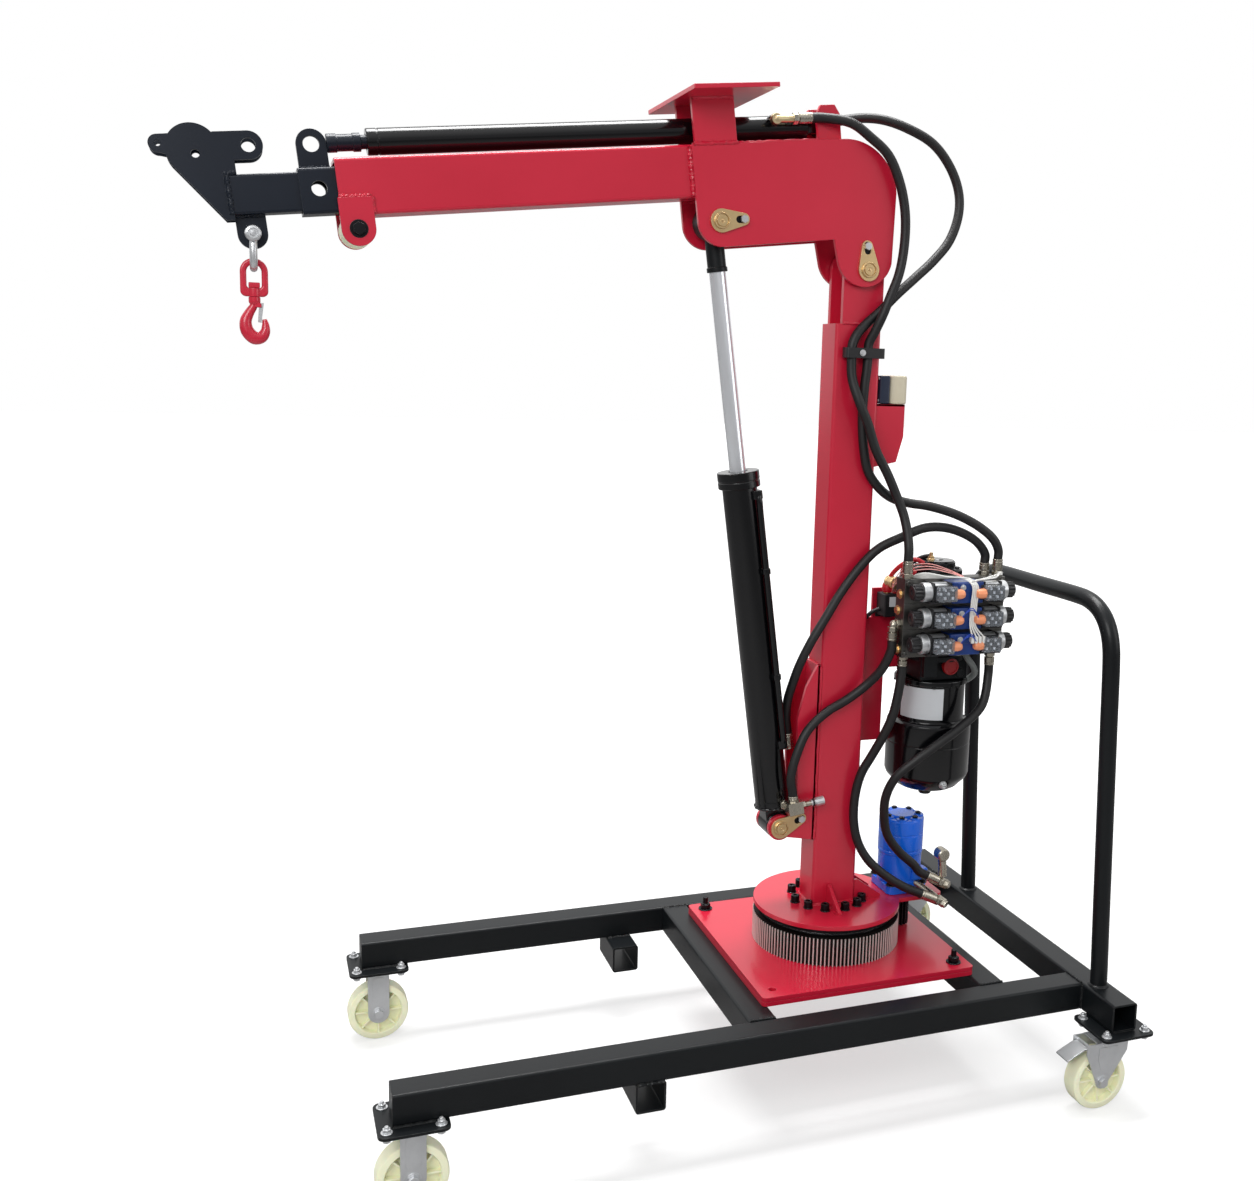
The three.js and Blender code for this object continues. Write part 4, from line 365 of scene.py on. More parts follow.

# %% [markdown]

# %% [markdown]
# The hydraulic hoses are the free cords of this crane. Each is one fixed length of rubber hose
# between two fittings. The route is the drawing's own list of points, and the line between them
# is the same smooth spline that the solids use, so the fine hose lies exactly in its solid.

# %% Hose routes
HOSE = 20
RAM_PORT = (99.7, 45, 303)
routes = {
    "hose_boom_near": [
        boom_point(*RAM_PORT), boom_point(82, 45, 303), (50, 62, 2005), (8, 70, 1979), (-31, 72, 1949),
        (-59, 72, 1900), (-76, 71, 1841), (-79, 70, 1781), (-70, 71, 1718), (-51, 72, 1668),
        (-37, 70, 1630), (-25, 61, 1596), (-17, 53, 1574), (-16, 52, 1560), (-16, 52, 1540),
        (-15, 52, 1520), (-12, 51, 1480), (-11, 50, 1415), (-18, 50, 1352), (-30, 50, 1307),
        (-56, 50, 1273), (-89, 51, 1250), (-126, 56, 1240), (-170, 70, 1234), (-226, 88, 1218),
        (-278, 101, 1192), (-313, 106, 1164), (-326, 106, 1140), (-326, 106, 1122.3),
    ],
    "hose_boom_far": [
        boom_point(99.7, -45, 303), boom_point(82, -45, 303), (58, -51, 2019), (16, -46, 2030),
        (-22, -34, 2036), (-62, -20, 2034), (-108, -7, 2021), (-170, 0, 1993), (-210, 6, 1949),
        (-232, 10, 1899), (-233, 14, 1853), (-212, 20, 1797), (-172, 28, 1752), (-124, 38, 1712),
        (-80, 46, 1676), (-42, 49, 1640), (-8, 49, 1610), (12, 51, 1588), (21, 52, 1566),
        (21, 52, 1550), (21, 52, 1535), (19, 55, 1500), (6, 68, 1452), (-13, 73, 1409),
        (-35, 73, 1353), (-66, 74, 1300), (-89, 77, 1252), (-102, 85, 1216), (-107, 98, 1175),
        (-107, 106, 1146), (-107, 106, 1122.3),
    ],
    "hose_lift_rod_side": [
        (-304, 88, 1112.3), (-304, 88, 1130), (-279, 86, 1160), (-220, 80, 1186), (-164, 72, 1188),
        (-109, 63, 1166), (-62, 56, 1143), (-23, 54, 1107), (23, 54, 1048), (55, 54, 996),
        (86, 52, 944), (106, 42, 893), (115, 28, 848), (119, 14, 808),
        lift_point(-50, 6, 232), lift_point(-50, 5, 197.3),
    ],
    "hose_lift_base": [
        (-82, 98, 949.7), (-82, 98, 932), (-68, 84, 884), (-44, 66, 848), (-4, 56, 815),
        (45, 54, 788), (88, 57, 751), (109, 61, 712), lift_point(-27, 62, 120), lift_point(-27, 62, 76.3),
    ],
    "hose_slew_lower": [
        (-109, 98, 892.7), (-109, 98, 874), (-97, 94, 789), (-82, 84, 739), (-62, 70, 689),
        (-43, 60, 646), (-33, 56, 597), (-32, 56, 541), (-42, 60, 492), (-66, 68, 449),
        (-106, 80, 412), (-150, 90, 384), (-170.2, 94, 375.3), (-187.7, 95, 367.1),
    ],
    "hose_slew_upper": [
        (-325, 98, 884.7), (-325, 98, 866), (-304, 115, 800), (-252, 130, 762), (-190, 137, 726),
        (-133, 134, 689), (-97, 122, 654), (-83, 106, 608), (-88, 92, 554), (-104, 82, 507),
        (-138, 78, 463), (-175, 79, 430), (-189.5, 80.3, 412.7), (-207.7, 82, 403.2),
    ],
}
print("hoses:", len(routes))


# %% [markdown]
# Hoses, wires and weld seams follow a smooth line through a few chosen points. The line never
# swings wide where the points lie close together.

# %% Smooth lines through points


def smooth_line(points):
    """Spline points with their two handles, for a curve that passes through all the points."""
    points = [Vector(p) for p in points]
    path = [points[0] * 2 - points[1], *points, points[-1] * 2 - points[-2]]
    knots = []
    for before, here, after, beyond in zip(path, path[1:], path[2:], path[3:]):
        spans = ((before, here), (here, after), (after, beyond))
        d0, d1, d2 = (max((b - a).length, 1e-6) ** 0.5 for a, b in spans)
        leave = ((here - before) / d0 - (after - before) / (d0 + d1) + (after - here) / d1) * d1
        arrive = ((after - here) / d1 - (beyond - here) / (d1 + d2) + (beyond - after) / d2) * d1
        knots.append((here, here + leave / 3, after - arrive / 3, after))
    return knots


def samples(knots, count=12):
    """Points along the line, close together, with both ends."""
    line = [knots[0][0].copy()]
    for a, b, c, d in knots:
        for step in range(1, count + 1):
            t = step / count
            s = 1 - t
            line.append(a * s**3 + b * 3 * s * s * t + c * 3 * s * t * t + d * t**3)
    return line


def line_length(line):
    """The length of a line of points."""
    return sum((b - a).length for a, b in zip(line, line[1:]))


def soft_tube(name, points, radius, frame_matrix=CRANE, ring=4, steps=6, widths=None):
    """A round tube along a smooth line, made as a curve and turned into a mesh."""
    knots = smooth_line(points)
    curve = bpy.data.curves.new(name, "CURVE")
    curve.dimensions = "3D"
    curve.bevel_depth = radius
    curve.bevel_resolution = ring
    curve.resolution_u = steps
    curve.use_fill_caps = True
    spline = curve.splines.new("BEZIER")
    spline.bezier_points.add(len(knots))
    for index, point in enumerate(spline.bezier_points):
        start = knots[index] if index < len(knots) else None
        end = knots[index - 1] if index else None
        point.co = start[0] if start else end[3]
        point.handle_right = start[1] if start else point.co
        point.handle_left = end[2] if end else point.co
        point.radius = widths[index] if widths else 1.0
    tube = bpy.data.objects.new(name, curve)
    scene.collection.objects.link(tube)
    bpy.ops.object.select_all(action="DESELECT")
    tube.select_set(True)
    bpy.context.view_layer.objects.active = tube
    bpy.ops.object.convert(target="MESH")
    tube = bpy.context.object
    tube.data.transform(frame_matrix)
    bpy.ops.object.shade_smooth()
    return tube, [frame_matrix @ p for p in samples(knots)]


# %% [markdown]
# Two hoses cross from the mast to the boom and two from the mast to the lift cylinder. The last
# two stay on the tower. A hose's length is the length of its drawn line, because both of its ends
# are fixed.

# %% Hoses
hose_ends = {
    "hose_boom_near": ("tower", "boom", (-16, 52, 1600), (95, 52, 2010)),
    "hose_boom_far": ("tower", "boom", (0, 45, 1610), (60, -40, 2020)),
    "hose_lift_rod_side": ("tower", "lift_cylinder", (40, 54, 1020), (119, 14, 790)),
    "hose_lift_base": ("tower", "lift_cylinder", (45, 54, 788), (116, 62, 640)),
}
for name, points in routes.items():
    hose, line = soft_tube(name + "_rubber", points, HOSE / 2)
    hose.data.materials.append(hose_rubber)
    if name in hose_ends:
        body, other, start, end = hose_ends[name]
        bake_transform(hose)
    else:
        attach(hose, "tower")
    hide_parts(name)
    line_length(line)
    print(name, "is", round(line_length(line), 3), "m long")

# %% [markdown]
# The rest is modelled as at a bench, in millimetres, with Blender's own operators. A primitive
# is added at its size and place, shaped in edit mode and finished with a modifier. An operator
# acts on all that is selected, so each helper first deselects everything.

# %% Bench tools
ROUND = 48
PLANES = {"X": (1, 2, 0), "Y": (0, 2, 1), "Z": (0, 1, 2)}


def pick(*pieces):
    """Selects these pieces alone and makes the first one active."""
    bpy.ops.object.select_all(action="DESELECT")
    for piece in pieces:
        piece.select_set(True)
    if pieces:
        bpy.context.view_layer.objects.active = pieces[0]


def rod(radius, start, end, sides=ROUND, tip=None):
    """A round bar between two points, or a cone where its tip has another radius."""
    pick()
    start, end = Vector(start), Vector(end)
    bpy.ops.mesh.primitive_cone_add(
        vertices=sides, radius1=radius, radius2=radius if tip is None else tip,
        depth=(end - start).length, location=(start + end) / 2,
        rotation=(end - start).to_track_quat("Z", "Y").to_euler(),
    )
    bpy.ops.object.transform_apply(location=True, rotation=True, scale=True)
    return bpy.context.object


def slab(low, high):
    """A block between two corners."""
    pick()
    low, high = Vector(low), Vector(high)
    bpy.ops.mesh.primitive_cube_add(size=1, location=(low + high) / 2)
    bpy.context.object.scale = high - low
    bpy.ops.object.transform_apply(location=True, rotation=True, scale=True)
    return bpy.context.object


def edit_all():
    """Opens the active piece in edit mode with all of it selected."""
    bpy.ops.object.mode_set(mode="EDIT")
    bpy.ops.mesh.select_all(action="SELECT")


def plate(points, axis, near, far):
    """A plate square to an axis, extruded from an outline in its own plane."""
    pick()
    first, second, through = PLANES[axis]
    bpy.ops.mesh.primitive_circle_add(vertices=len(points), fill_type="NGON")
    blank = bpy.context.object
    for vertex, (a, b) in zip(blank.data.vertices, points):
        vertex.co[first], vertex.co[second], vertex.co[through] = a, b, near
    step = Vector((0, 0, 0))
    step[through] = far - near
    edit_all()
    bpy.ops.mesh.extrude_region_move(TRANSFORM_OT_translate={"value": step})
    bpy.ops.mesh.select_all(action="SELECT")
    bpy.ops.mesh.normals_make_consistent(inside=False)
    bpy.ops.object.mode_set(mode="OBJECT")
    return blank


def arc(x, y, radius, start, end, steps=12):
    """Points along an arc, from one angle to another in degrees."""
    angles = [math.radians(start + (end - start) * step / steps) for step in range(steps + 1)]
    return [(x + radius * math.cos(a), y + radius * math.sin(a)) for a in angles]


def rounded(a0, a1, b0, b1, corner, steps=5):
    """The outline of a rectangle with round corners."""
    return [
        *arc(a1 - corner, b0 + corner, corner, -90, 0, steps),
        *arc(a1 - corner, b1 - corner, corner, 0, 90, steps),
        *arc(a0 + corner, b1 - corner, corner, 90, 180, steps),
        *arc(a0 + corner, b0 + corner, corner, 180, 270, steps),
    ]


AXES = {
    "X": Matrix.Rotation(math.pi / 2, 4, "Y"), "Y": Matrix.Rotation(-math.pi / 2, 4, "X"), "Z": Matrix(),
}


def turned(profile, axis="Z", origin=(0, 0, 0), sides=ROUND):
    """A piece spun about an axis. Its profile is (radius, height), out, up and back in."""
    pick()
    bpy.ops.mesh.primitive_circle_add(vertices=len(profile), fill_type="NOTHING")
    piece = bpy.context.object
    for vertex, (radius, height) in zip(piece.data.vertices, profile):
        vertex.co = (radius, 0, height)
    edit_all()
    bpy.ops.mesh.spin(steps=sides, angle=2 * math.pi, axis=(0, 0, 1), center=(0, 0, 0))
    bpy.ops.mesh.select_all(action="SELECT")
    bpy.ops.mesh.remove_doubles(threshold=0.001)
    bpy.ops.mesh.delete_loose()
    bpy.ops.mesh.select_all(action="SELECT")
    bpy.ops.mesh.normals_make_consistent(inside=False)
    bpy.ops.object.mode_set(mode="OBJECT")
    piece.data.transform(Matrix.Translation(origin) @ AXES[axis])
    return piece


def join(*pieces):
    """Several pieces made one object."""
    pick(*pieces)
    if len(pieces) > 1:
        bpy.ops.object.join()
    return pieces[0]


def cut(body, *tools):
    """A body with the shapes of the tools taken out of it."""
    for tool in tools:
        pick(body)
        hole = body.modifiers.new("cut", "BOOLEAN")
        hole.operation = "DIFFERENCE"
        hole.object = tool
        bpy.ops.object.modifier_apply(modifier=hole.name)
        bpy.data.objects.remove(tool)
    return body


def soften(piece, width=1.0, segments=2, angle=30):
    """Rounds the sharp edges of a piece."""
    pick(piece)
    bevel = piece.modifiers.new("soften", "BEVEL")
    bevel.width = width
    bevel.segments = segments
    bevel.limit_method = "ANGLE"
    bevel.angle_limit = math.radians(angle)
    bpy.ops.object.modifier_apply(modifier=bevel.name)
    return piece


def copied(model, places):
    """Copies of a piece, each with a mesh of its own. The model itself is taken away."""
    made = []
    for place in places:
        twin = model.copy()
        twin.data = model.data.copy()
        twin.data.transform(place)
        scene.collection.objects.link(twin)
        made.append(twin)
    bpy.data.objects.remove(model)
    return made


def at(x, y, z, facing="Z"):
    """A place for a copy: its own Z points along an axis, or against it."""
    turn = AXES[facing[-1]]
    if facing[0] == "-":
        turn = turn @ Matrix.Rotation(math.pi, 4, "X")
    return Matrix.Translation((x, y, z)) @ turn


def put(piece, x, y, z, facing="Z"):
    """Moves a piece that stands on the ground to its place."""
    piece.data.transform(at(x, y, z, facing))
    return piece


def pair(line, near, far, width=0.9, segments=2):
    """Two softened plates of one outline, on the left and on the right of the middle."""
    ends = [sorted((side * near, side * far)) for side in (1, -1)]
    return [soften(plate(line, "Y", *span), width, segments) for span in ends]


def polar(radius, degrees, x=0, y=0):
    """The point at that angle of a circle."""
    angle = math.radians(degrees)
    return x + radius * math.cos(angle), y + radius * math.sin(angle)


def face_outwards(piece):
    """Turns all faces outwards, as a mirrored placement needs it."""
    pick(piece)
    edit_all()
    bpy.ops.mesh.normals_make_consistent(inside=False)
    bpy.ops.object.mode_set(mode="OBJECT")


def settle(piece, name, body, finish, nodes=(), place=CRANE, angle=35):
    """Brings a finished piece into the frame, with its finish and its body."""
    pick(piece)
    bpy.ops.object.shade_smooth_by_angle(angle=math.radians(angle))
    flat = piece.modifiers.new("flat_faces", "WEIGHTED_NORMAL")
    flat.keep_sharp = True
    bpy.ops.object.modifier_apply(modifier=flat.name)
    piece.name = piece.data.name = name
    piece.data.transform(place)
    piece.data.materials.clear()
    piece.data.materials.append(finish)
    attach(piece, body)
    if nodes:
        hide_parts(*nodes)


def select_ends(piece, axis, ends):
    """Opens a piece in edit mode with only the faces that close it at these places."""
    through = PLANES[axis][2]
    pick(piece)
    bpy.ops.object.mode_set(mode="EDIT")
    bpy.ops.mesh.select_mode(type="FACE")
    bpy.ops.mesh.select_all(action="DESELECT")
    bpy.ops.object.mode_set(mode="OBJECT")
    for face in piece.data.polygons:
        square = abs(face.normal[through]) > 0.99
        face.select = square and min(abs(face.center[through] - end) for end in ends) < 0.01
    bpy.ops.object.mode_set(mode="EDIT")


def hollow(tube, axis, ends, wall):
    """A tube open at both ends: the end faces are inset by the wall and bridged."""
    select_ends(tube, axis, ends)
    bpy.ops.mesh.inset(thickness=wall, use_individual=True)
    bpy.ops.mesh.bridge_edge_loops()
    bpy.ops.object.mode_set(mode="OBJECT")
    return tube


def hex_head(radius, height, shank=0.0, washer=0.0):
    """A hexagon head on its washer, with the end of its screw, standing on the ground."""
    head = soften(rod(radius, (0, 0, washer), (0, 0, washer + height), 6), height * 0.12, 2)
    parts = [head]
    if washer:
        parts.append(soften(rod(radius * 1.35, (0, 0, 0), (0, 0, washer), 24), washer * 0.2, 1))
    if shank:
        top = washer + height + shank
        parts.append(soften(rod(radius * 0.5, (0, 0, washer), (0, 0, top), 16), radius * 0.1, 1))
    return join(*parts)


def socket_head(radius, height):
    """A round screw head with a hexagon socket."""
    head = soften(rod(radius, (0, 0, 0), (0, 0, height), 24), height * 0.1, 2)
    return cut(head, rod(radius * 0.55, (0, 0, height * 0.45), (0, 0, height * 1.5), 6))


print("bench tools ready")

# %% [markdown]
# The wheeled frame is welded from square steel tube. A tube is rolled round at its four corners
# and open where it is sawn off, so each one is an extruded outline with round corners, and the
# open ends are inset by the wall and bridged. The legs end in a closed cap.

# %% Legs, crossbar and side sockets
TUBE, WALL, CORNER = 60, 4, 6
UNDERSIDE = 175
TUBE_MIDDLE = UNDERSIDE + TUBE / 2
FRAME_TOP = UNDERSIDE + TUBE
LEG_Y, LEG_FRONT, LEG_REAR = 320, 983, -449.7
CROSSBAR_X, CROSSBAR_HALF = -480, 460
EDGES = (-TUBE / 2, TUBE / 2)
ACROSS = (-26, 0, 26)
SOCKET_X = {1: 510, -1: 399}
PAD = {"length": 126, "width": 120, "thick": 6, "corner": 14}
PAD_PLACES = {"front": (947, LEG_Y), "rear": (CROSSBAR_X, 426)}


def square_tube(a, b, axis, near, far):
    """A square tube centred on a point of its own plane."""
    half = TUBE / 2
    return plate(rounded(a - half, a + half, b - half, b + half, CORNER), axis, near, far)


def pad(x, y):
    """The welded plate that a caster is bolted to."""
    long, wide = PAD["length"] / 2, PAD["width"] / 2
    outline = rounded(x - long, x + long, y - wide, y + wide, PAD["corner"])
    return soften(plate(outline, "Z", UNDERSIDE - PAD["thick"], UNDERSIDE), 0.8)


def bead(points, radius):
    """A weld seam: a thin round run of steel along a line, rippled like laid coins."""
    seam, line = soft_tube("bead", points, radius, Matrix(), 2, 12)
    for vertex in seam.data.vertices:
        travel = sum(vertex.co)
        swell = 0.2 * math.sin(travel * 0.85) + 0.16 * math.sin(travel * 0.31 + 1)
        vertex.co += vertex.normal * swell * radius
    return seam


def side_beads(points, radius):
    """A weld seam on the left side and its mirror image on the right."""
    return [bead([(x, side * y, z) for x, y, z in points], radius) for side in (1, -1)]


for side, word in ((1, "left"), (-1, "right")):
    bar = soften(square_tube(side * LEG_Y, TUBE_MIDDLE, "X", LEG_REAR, LEG_FRONT), 1.2)
    ends = (side * (LEG_Y - 90), side * (LEG_Y + TUBE / 2))
    socket_z = UNDERSIDE - TUBE / 2 + 1
    socket = square_tube(SOCKET_X[side], socket_z, "Y", *ends)
    hollow(socket, "Y", ends, WALL)
    front_x, front_y = PAD_PLACES["front"]
    seams = []
    for edge in EDGES:
        seam_y = side * (LEG_Y + edge)
        seams.append(bead([(SOCKET_X[side] + step, seam_y, UNDERSIDE) for step in ACROSS], 3))
        seams.append(bead([(LEG_FRONT - back, seam_y, UNDERSIDE) for back in (90, 50, 2)], 2.6))
    leg = join(bar, socket, pad(front_x, side * front_y), *seams)
    settle(leg, f"leg_{word}_tube", "chassis", black_paint, [f"leg_{word}"])

crossbar = square_tube(CROSSBAR_X, TUBE_MIDDLE, "Y", -CROSSBAR_HALF, CROSSBAR_HALF)
hollow(crossbar, "Y", (-CROSSBAR_HALF, CROSSBAR_HALF), WALL)
rear_x, rear_y = PAD_PLACES["rear"]
front_face = CROSSBAR_X + TUBE / 2
seams = [
    bead([(front_face, side * LEG_Y + step, FRAME_TOP) for step in ACROSS], 3) for side in (-1, 1)
]
for edge in EDGES:
    seams += side_beads([(front_face, LEG_Y + edge, FRAME_TOP - down) for down in (4, 30, 56)], 3)
crossbar = join(crossbar, pad(rear_x, rear_y), pad(rear_x, -rear_y), *seams)
settle(crossbar, "crossbar_tube", "chassis", black_paint, ["rear_crossbar"])

CROSS_X, CROSS_HALF = 262, 289.7
cross_tubes = []
for sign in (1, -1):
    cross = square_tube(sign * CROSS_X, TUBE_MIDDLE, "Y", -CROSS_HALF, CROSS_HALF)
    cross_tubes.append(hollow(cross, "Y", (-CROSS_HALF, CROSS_HALF), WALL))
    for end in (-CROSS_HALF, CROSS_HALF):
        cross_tubes.append(bead([(sign * CROSS_X + step, end, FRAME_TOP) for step in ACROSS], 2.6))
settle(join(*cross_tubes), "cross_tubes", "chassis", black_paint, ["subframe"])
PLATE_HALF, PLATE_HOLE = 245, 212
LOWER_TOP, UPPER_TOP = 245, 254.3
plate_line = rounded(-PLATE_HALF, PLATE_HALF, -PLATE_HALF, PLATE_HALF, 10)
low_plate = soften(plate(plate_line, "Z", FRAME_TOP + 0.1, LOWER_TOP), 0.8)
settle(low_plate, "welded_plate", "chassis", red_paint, ["subframe"])
high_plate = plate(plate_line, "Z", LOWER_TOP + 0.3, UPPER_TOP)
empty_hole = rod(8, (PLATE_HOLE, PLATE_HOLE, LOWER_TOP), (PLATE_HOLE, PLATE_HOLE, UPPER_TOP + 1))
high_plate = soften(cut(high_plate, empty_hole), 0.8)
settle(high_plate, "bolted_plate", "chassis", red_paint, ["turret_plate"])
print("frame tubes: 7, plates: 2")

# %% [markdown]
# The push handle is one round tube, bent twice and welded to the crossbar. It leans a little
# towards the mast, so each point's place along X follows from its height.

# %% Push handle
HANDLE = {"radius": 18, "left": 365, "right": -185, "top": 1062, "bend": 120, "lean": 36, "collar": 14}
handle_foot = FRAME_TOP + 0.3
lean_from = handle_foot + HANDLE["collar"]


def handle_point(y, z):
    """A point of the handle's middle line."""
    rise = max(0.0, (z - lean_from) / (HANDLE["top"] - lean_from))
    return (CROSSBAR_X + HANDLE["lean"] * rise, y, z)


def handle_bend(side):
    """The round corner of one side, as points of a quadratic curve from upright to level."""
    points = []
    inward = -HANDLE["bend"] if side == "left" else HANDLE["bend"]
    for step in range(1, 8):
        t = step / 8
        y = HANDLE[side] + inward * t * t
        z = HANDLE["top"] - HANDLE["bend"] * (1 - t) ** 2
        points.append(handle_point(y, z))
    return points


turn_z = HANDLE["top"] - HANDLE["bend"]
upright = [handle_foot, lean_from, 400, 600, 800, turn_z]
left_leg = [handle_point(HANDLE["left"], z) for z in upright]
right_leg = [handle_point(HANDLE["right"], z) for z in reversed(upright)]
level = [
    handle_point(HANDLE["left"] - HANDLE["bend"], HANDLE["top"]),
    handle_point((HANDLE["left"] + HANDLE["right"]) / 2, HANDLE["top"]),
    handle_point(HANDLE["right"] + HANDLE["bend"], HANDLE["top"]),
]
handle_line = left_leg + handle_bend("left") + level + handle_bend("right")[::-1] + right_leg
handle, line = soft_tube("push_handle_tube", handle_line, HANDLE["radius"], Matrix(), 8, 6)
collars = [
    turned([(15, handle_foot), (22.5, handle_foot), (20, handle_foot + 3.5), (15, handle_foot + 4.5)],
           origin=(CROSSBAR_X, HANDLE[side], 0))
    for side in ("left", "right")
]
handle = join(handle, *collars)
settle(handle, "push_handle_tube", "chassis", black_paint, ["push_handle"], angle=60)
print("handle tube", round(line_length(line) / 1000, 2), "m long")

# %% [markdown]
# Each caster hangs below its pad on four zinc bolts. The nylon wheel is a turned rim and hub
# with a thin web between them and eight ribs on each side. A caster is modelled once about its
# own upright axis and placed at its corner.

# %% Caster parts
PLATE_TOP = UNDERSIDE - PAD["thick"] - 0.3
PLATE_BOTTOM = PLATE_TOP - 4
WHEEL_R = 65
AXLE_Z = WHEEL_R
TRAIL = 38
FORK_IN, FORK_OUT, PRESSED = 23, 26, 1.2
BOLT_X, BOLT_Y = 47, 42


def caster_plate():
    """The top plate of a caster with its four bolts."""
    flat = soften(plate(rounded(-57.5, 57.5, -50, 50, 12), "Z", PLATE_BOTTOM, PLATE_TOP), 0.7)
    places = [(x, y) for x in (-BOLT_X, BOLT_X) for y in (-BOLT_Y, BOLT_Y)]
    heads = copied(hex_head(7.5, 5, 0, 1.6), [at(x, y, PLATE_BOTTOM, "-Z") for x, y in places])
    nuts = copied(hex_head(7.7, 6.5, 4.5, 1.8), [at(x, y, UNDERSIDE) for x, y in places])
    return join(flat, *heads, *nuts)


def wheel(x):
    """A nylon wheel at that distance from the caster's axis."""
    rim = [
        (50, -17.5), (51.5, -19), (60, -19), (63.5, -17.5), (WHEEL_R, -14), (WHEEL_R, 14), (63.5, 17.5),
        (60, 19), (51.5, 19), (50, 17.5), (49, 4), (18, 4), (17, 21), (16, 22), (6.5, 22), (6.5, -22),
        (16, -22), (17, -21), (18, -4), (49, -4),
    ]
    rib = soften(slab((15, -15, -2), (51, 15, 2)), 0.8, 1)
    ribs = copied(rib, [Matrix.Rotation(math.radians(45 * k), 4, "Y") for k in range(8)])
    return put(join(turned(rim, "Y", sides=64), *ribs), x, 0, AXLE_Z)


def axle(x):
    """The axle bolt with its head and its nut."""
    bar = rod(6, (x, -FORK_OUT - 6, AXLE_Z), (x, FORK_OUT + 7, AXLE_Z), 24)
    head = put(hex_head(10.5, 7, 0, 1.5), x, FORK_OUT, AXLE_Z, "Y")
    nut = put(hex_head(10.5, 7, 3.5, 1), x, -FORK_OUT, AXLE_Z, "-Y")
    return join(bar, head, nut)


def rigid_fork():
    """The bent strap of a fixed caster, with a hollow pressed into each side."""
    outline = [(-23, PLATE_BOTTOM + 1), *arc(0, AXLE_Z, 23, 180, 360, 20), (23, PLATE_BOTTOM + 1)]
    sides = pair(outline, FORK_IN, FORK_OUT, 0.8)
    roof = soften(slab((-23, -FORK_OUT, PLATE_BOTTOM - 3), (23, FORK_OUT, PLATE_BOTTOM)), 0.8)
    ribs = pair(rounded(-13, 13, 84, 150, 9), FORK_OUT, FORK_OUT + PRESSED, 1)
    return join(*sides, roof, *ribs)


def ball_race():
    """The round race between the plate and the fork of a rear caster."""
    return turned([
        (0, 155.8), (24, 155.8), (29, 157), (30, 160), (29, 163), (26, PLATE_BOTTOM + 1),
        (0, PLATE_BOTTOM + 1),
    ])


def swivel_fork():
    """The fork of a rear caster, which trails behind its upright axis."""
    cheek_line = [
        (-22, 151.4), (-20, 128), *arc(TRAIL, AXLE_Z, 15, 190, 350, 16), (80, 130.4), (80, 151.4),
    ]
    cheeks = pair(cheek_line, FORK_IN, FORK_OUT, 0.8)
    rib_line = [(4, 142), (50, 142), (52, 118), (44, 92), (30, 92)]
    ribs = pair(rib_line, FORK_OUT, FORK_OUT + PRESSED, 1.2)
    crown = turned([(0, 150.4), (31, 150.4), (33, 152), (33, 154), (30, 155.4), (0, 155.4)])
    roof = soften(slab((-22, -FORK_OUT, 149.4), (55, FORK_OUT, 152.4)), 0.8)
    kingpin = put(hex_head(8, 5, 2, 1.2), 0, 0, 149.4, "-Z")
    return join(*cheeks, *ribs, crown, roof, axle(TRAIL), kingpin)


def brake_pedal():
    """A bent tread with four grip ribs, on its hinge pin."""
    tread = plate([
        (68, 139.5), (84, 138.5), (108, 128), (124, 119.8), (124, 122.9), (108, 131), (85, 141.6),
        (68, 142.6),
    ], "Y", -21, 21)
    grip = [
        soften(slab((92 + 8 * k, -17, 131.5 - 3.9 * k), (95 + 8 * k, 17, 136.5 - 3.9 * k)), 0.8, 1)
        for k in range(4)
    ]
    hinge = rod(5, (70, -22.7, 141.4), (70, 22.7, 141.4), 24)
    return join(soften(tread, 0.7), *grip, hinge)


# %% [markdown]
# The same fork, wheel and bolts are placed at each corner, at the places that the frame gives.
# The rear ones also get their brake pedals.

# %% Casters at the four corners
for side, word in ((1, "left"), (-1, "right")):
    x, y = PAD_PLACES["front"]
    place = CRANE @ Matrix.Translation((x, side * y, 0))
    fork = join(rigid_fork(), caster_plate(), axle(0))
    settle(fork, f"front_fork_{word}", "chassis", zinc, [f"caster_fork_front_{word}"], place)
    settle(
        wheel(0), f"front_wheel_{word}_nylon", f"front_{word}_wheel", nylon,
        [f"wheel_front_{word}"], place,
    )

    x, y = PAD_PLACES["rear"]
    place = CRANE @ Matrix.Translation((x, side * y, 0))
    top = join(ball_race(), caster_plate())
    settle(top, f"rear_top_{word}", "chassis", zinc, [f"caster_plate_rear_{word}"], place)
    settle(
        swivel_fork(), f"rear_fork_{word}", f"rear_{word}_swivel", zinc,
        [f"caster_fork_rear_{word}"], place,
    )
    settle(
        wheel(TRAIL), f"rear_wheel_{word}_nylon", f"rear_{word}_wheel", nylon,
        [f"wheel_rear_{word}"], place,
    )
    settle(
        brake_pedal(), f"rear_brake_{word}", f"rear_{word}_pedal", zinc,
        [f"brake_pedal_{word}"], place,
    )
print("casters:", 4)

# %% [markdown]
# The slewing ring is a toothed ring with an inner race. The race carries the turntable, a disc
# with an arm for the motor and four gussets at the foot of the mast. The toothed solids are not
# modelled again, because the frame has each of their teeth.

# %% Slewing ring and turntable
TABLE_LOW, TABLE_TOP, TABLE_R = 335, 345, 164
RING_TOP = 316
race = turned([
    (100, 255), (129, 255), (129, RING_TOP + 0.6), (148.5, RING_TOP + 0.6), (150, RING_TOP + 2),
    (150, 321), (148.6, 322), (148.6, 324), (150, 325), (150, TABLE_LOW - 1.8), (148.5, TABLE_LOW - 0.4),
    (100, TABLE_LOW - 0.4),
], sides=96)
settle(race, "slewing_race", "tower", dark_steel, ["bearing_race"])

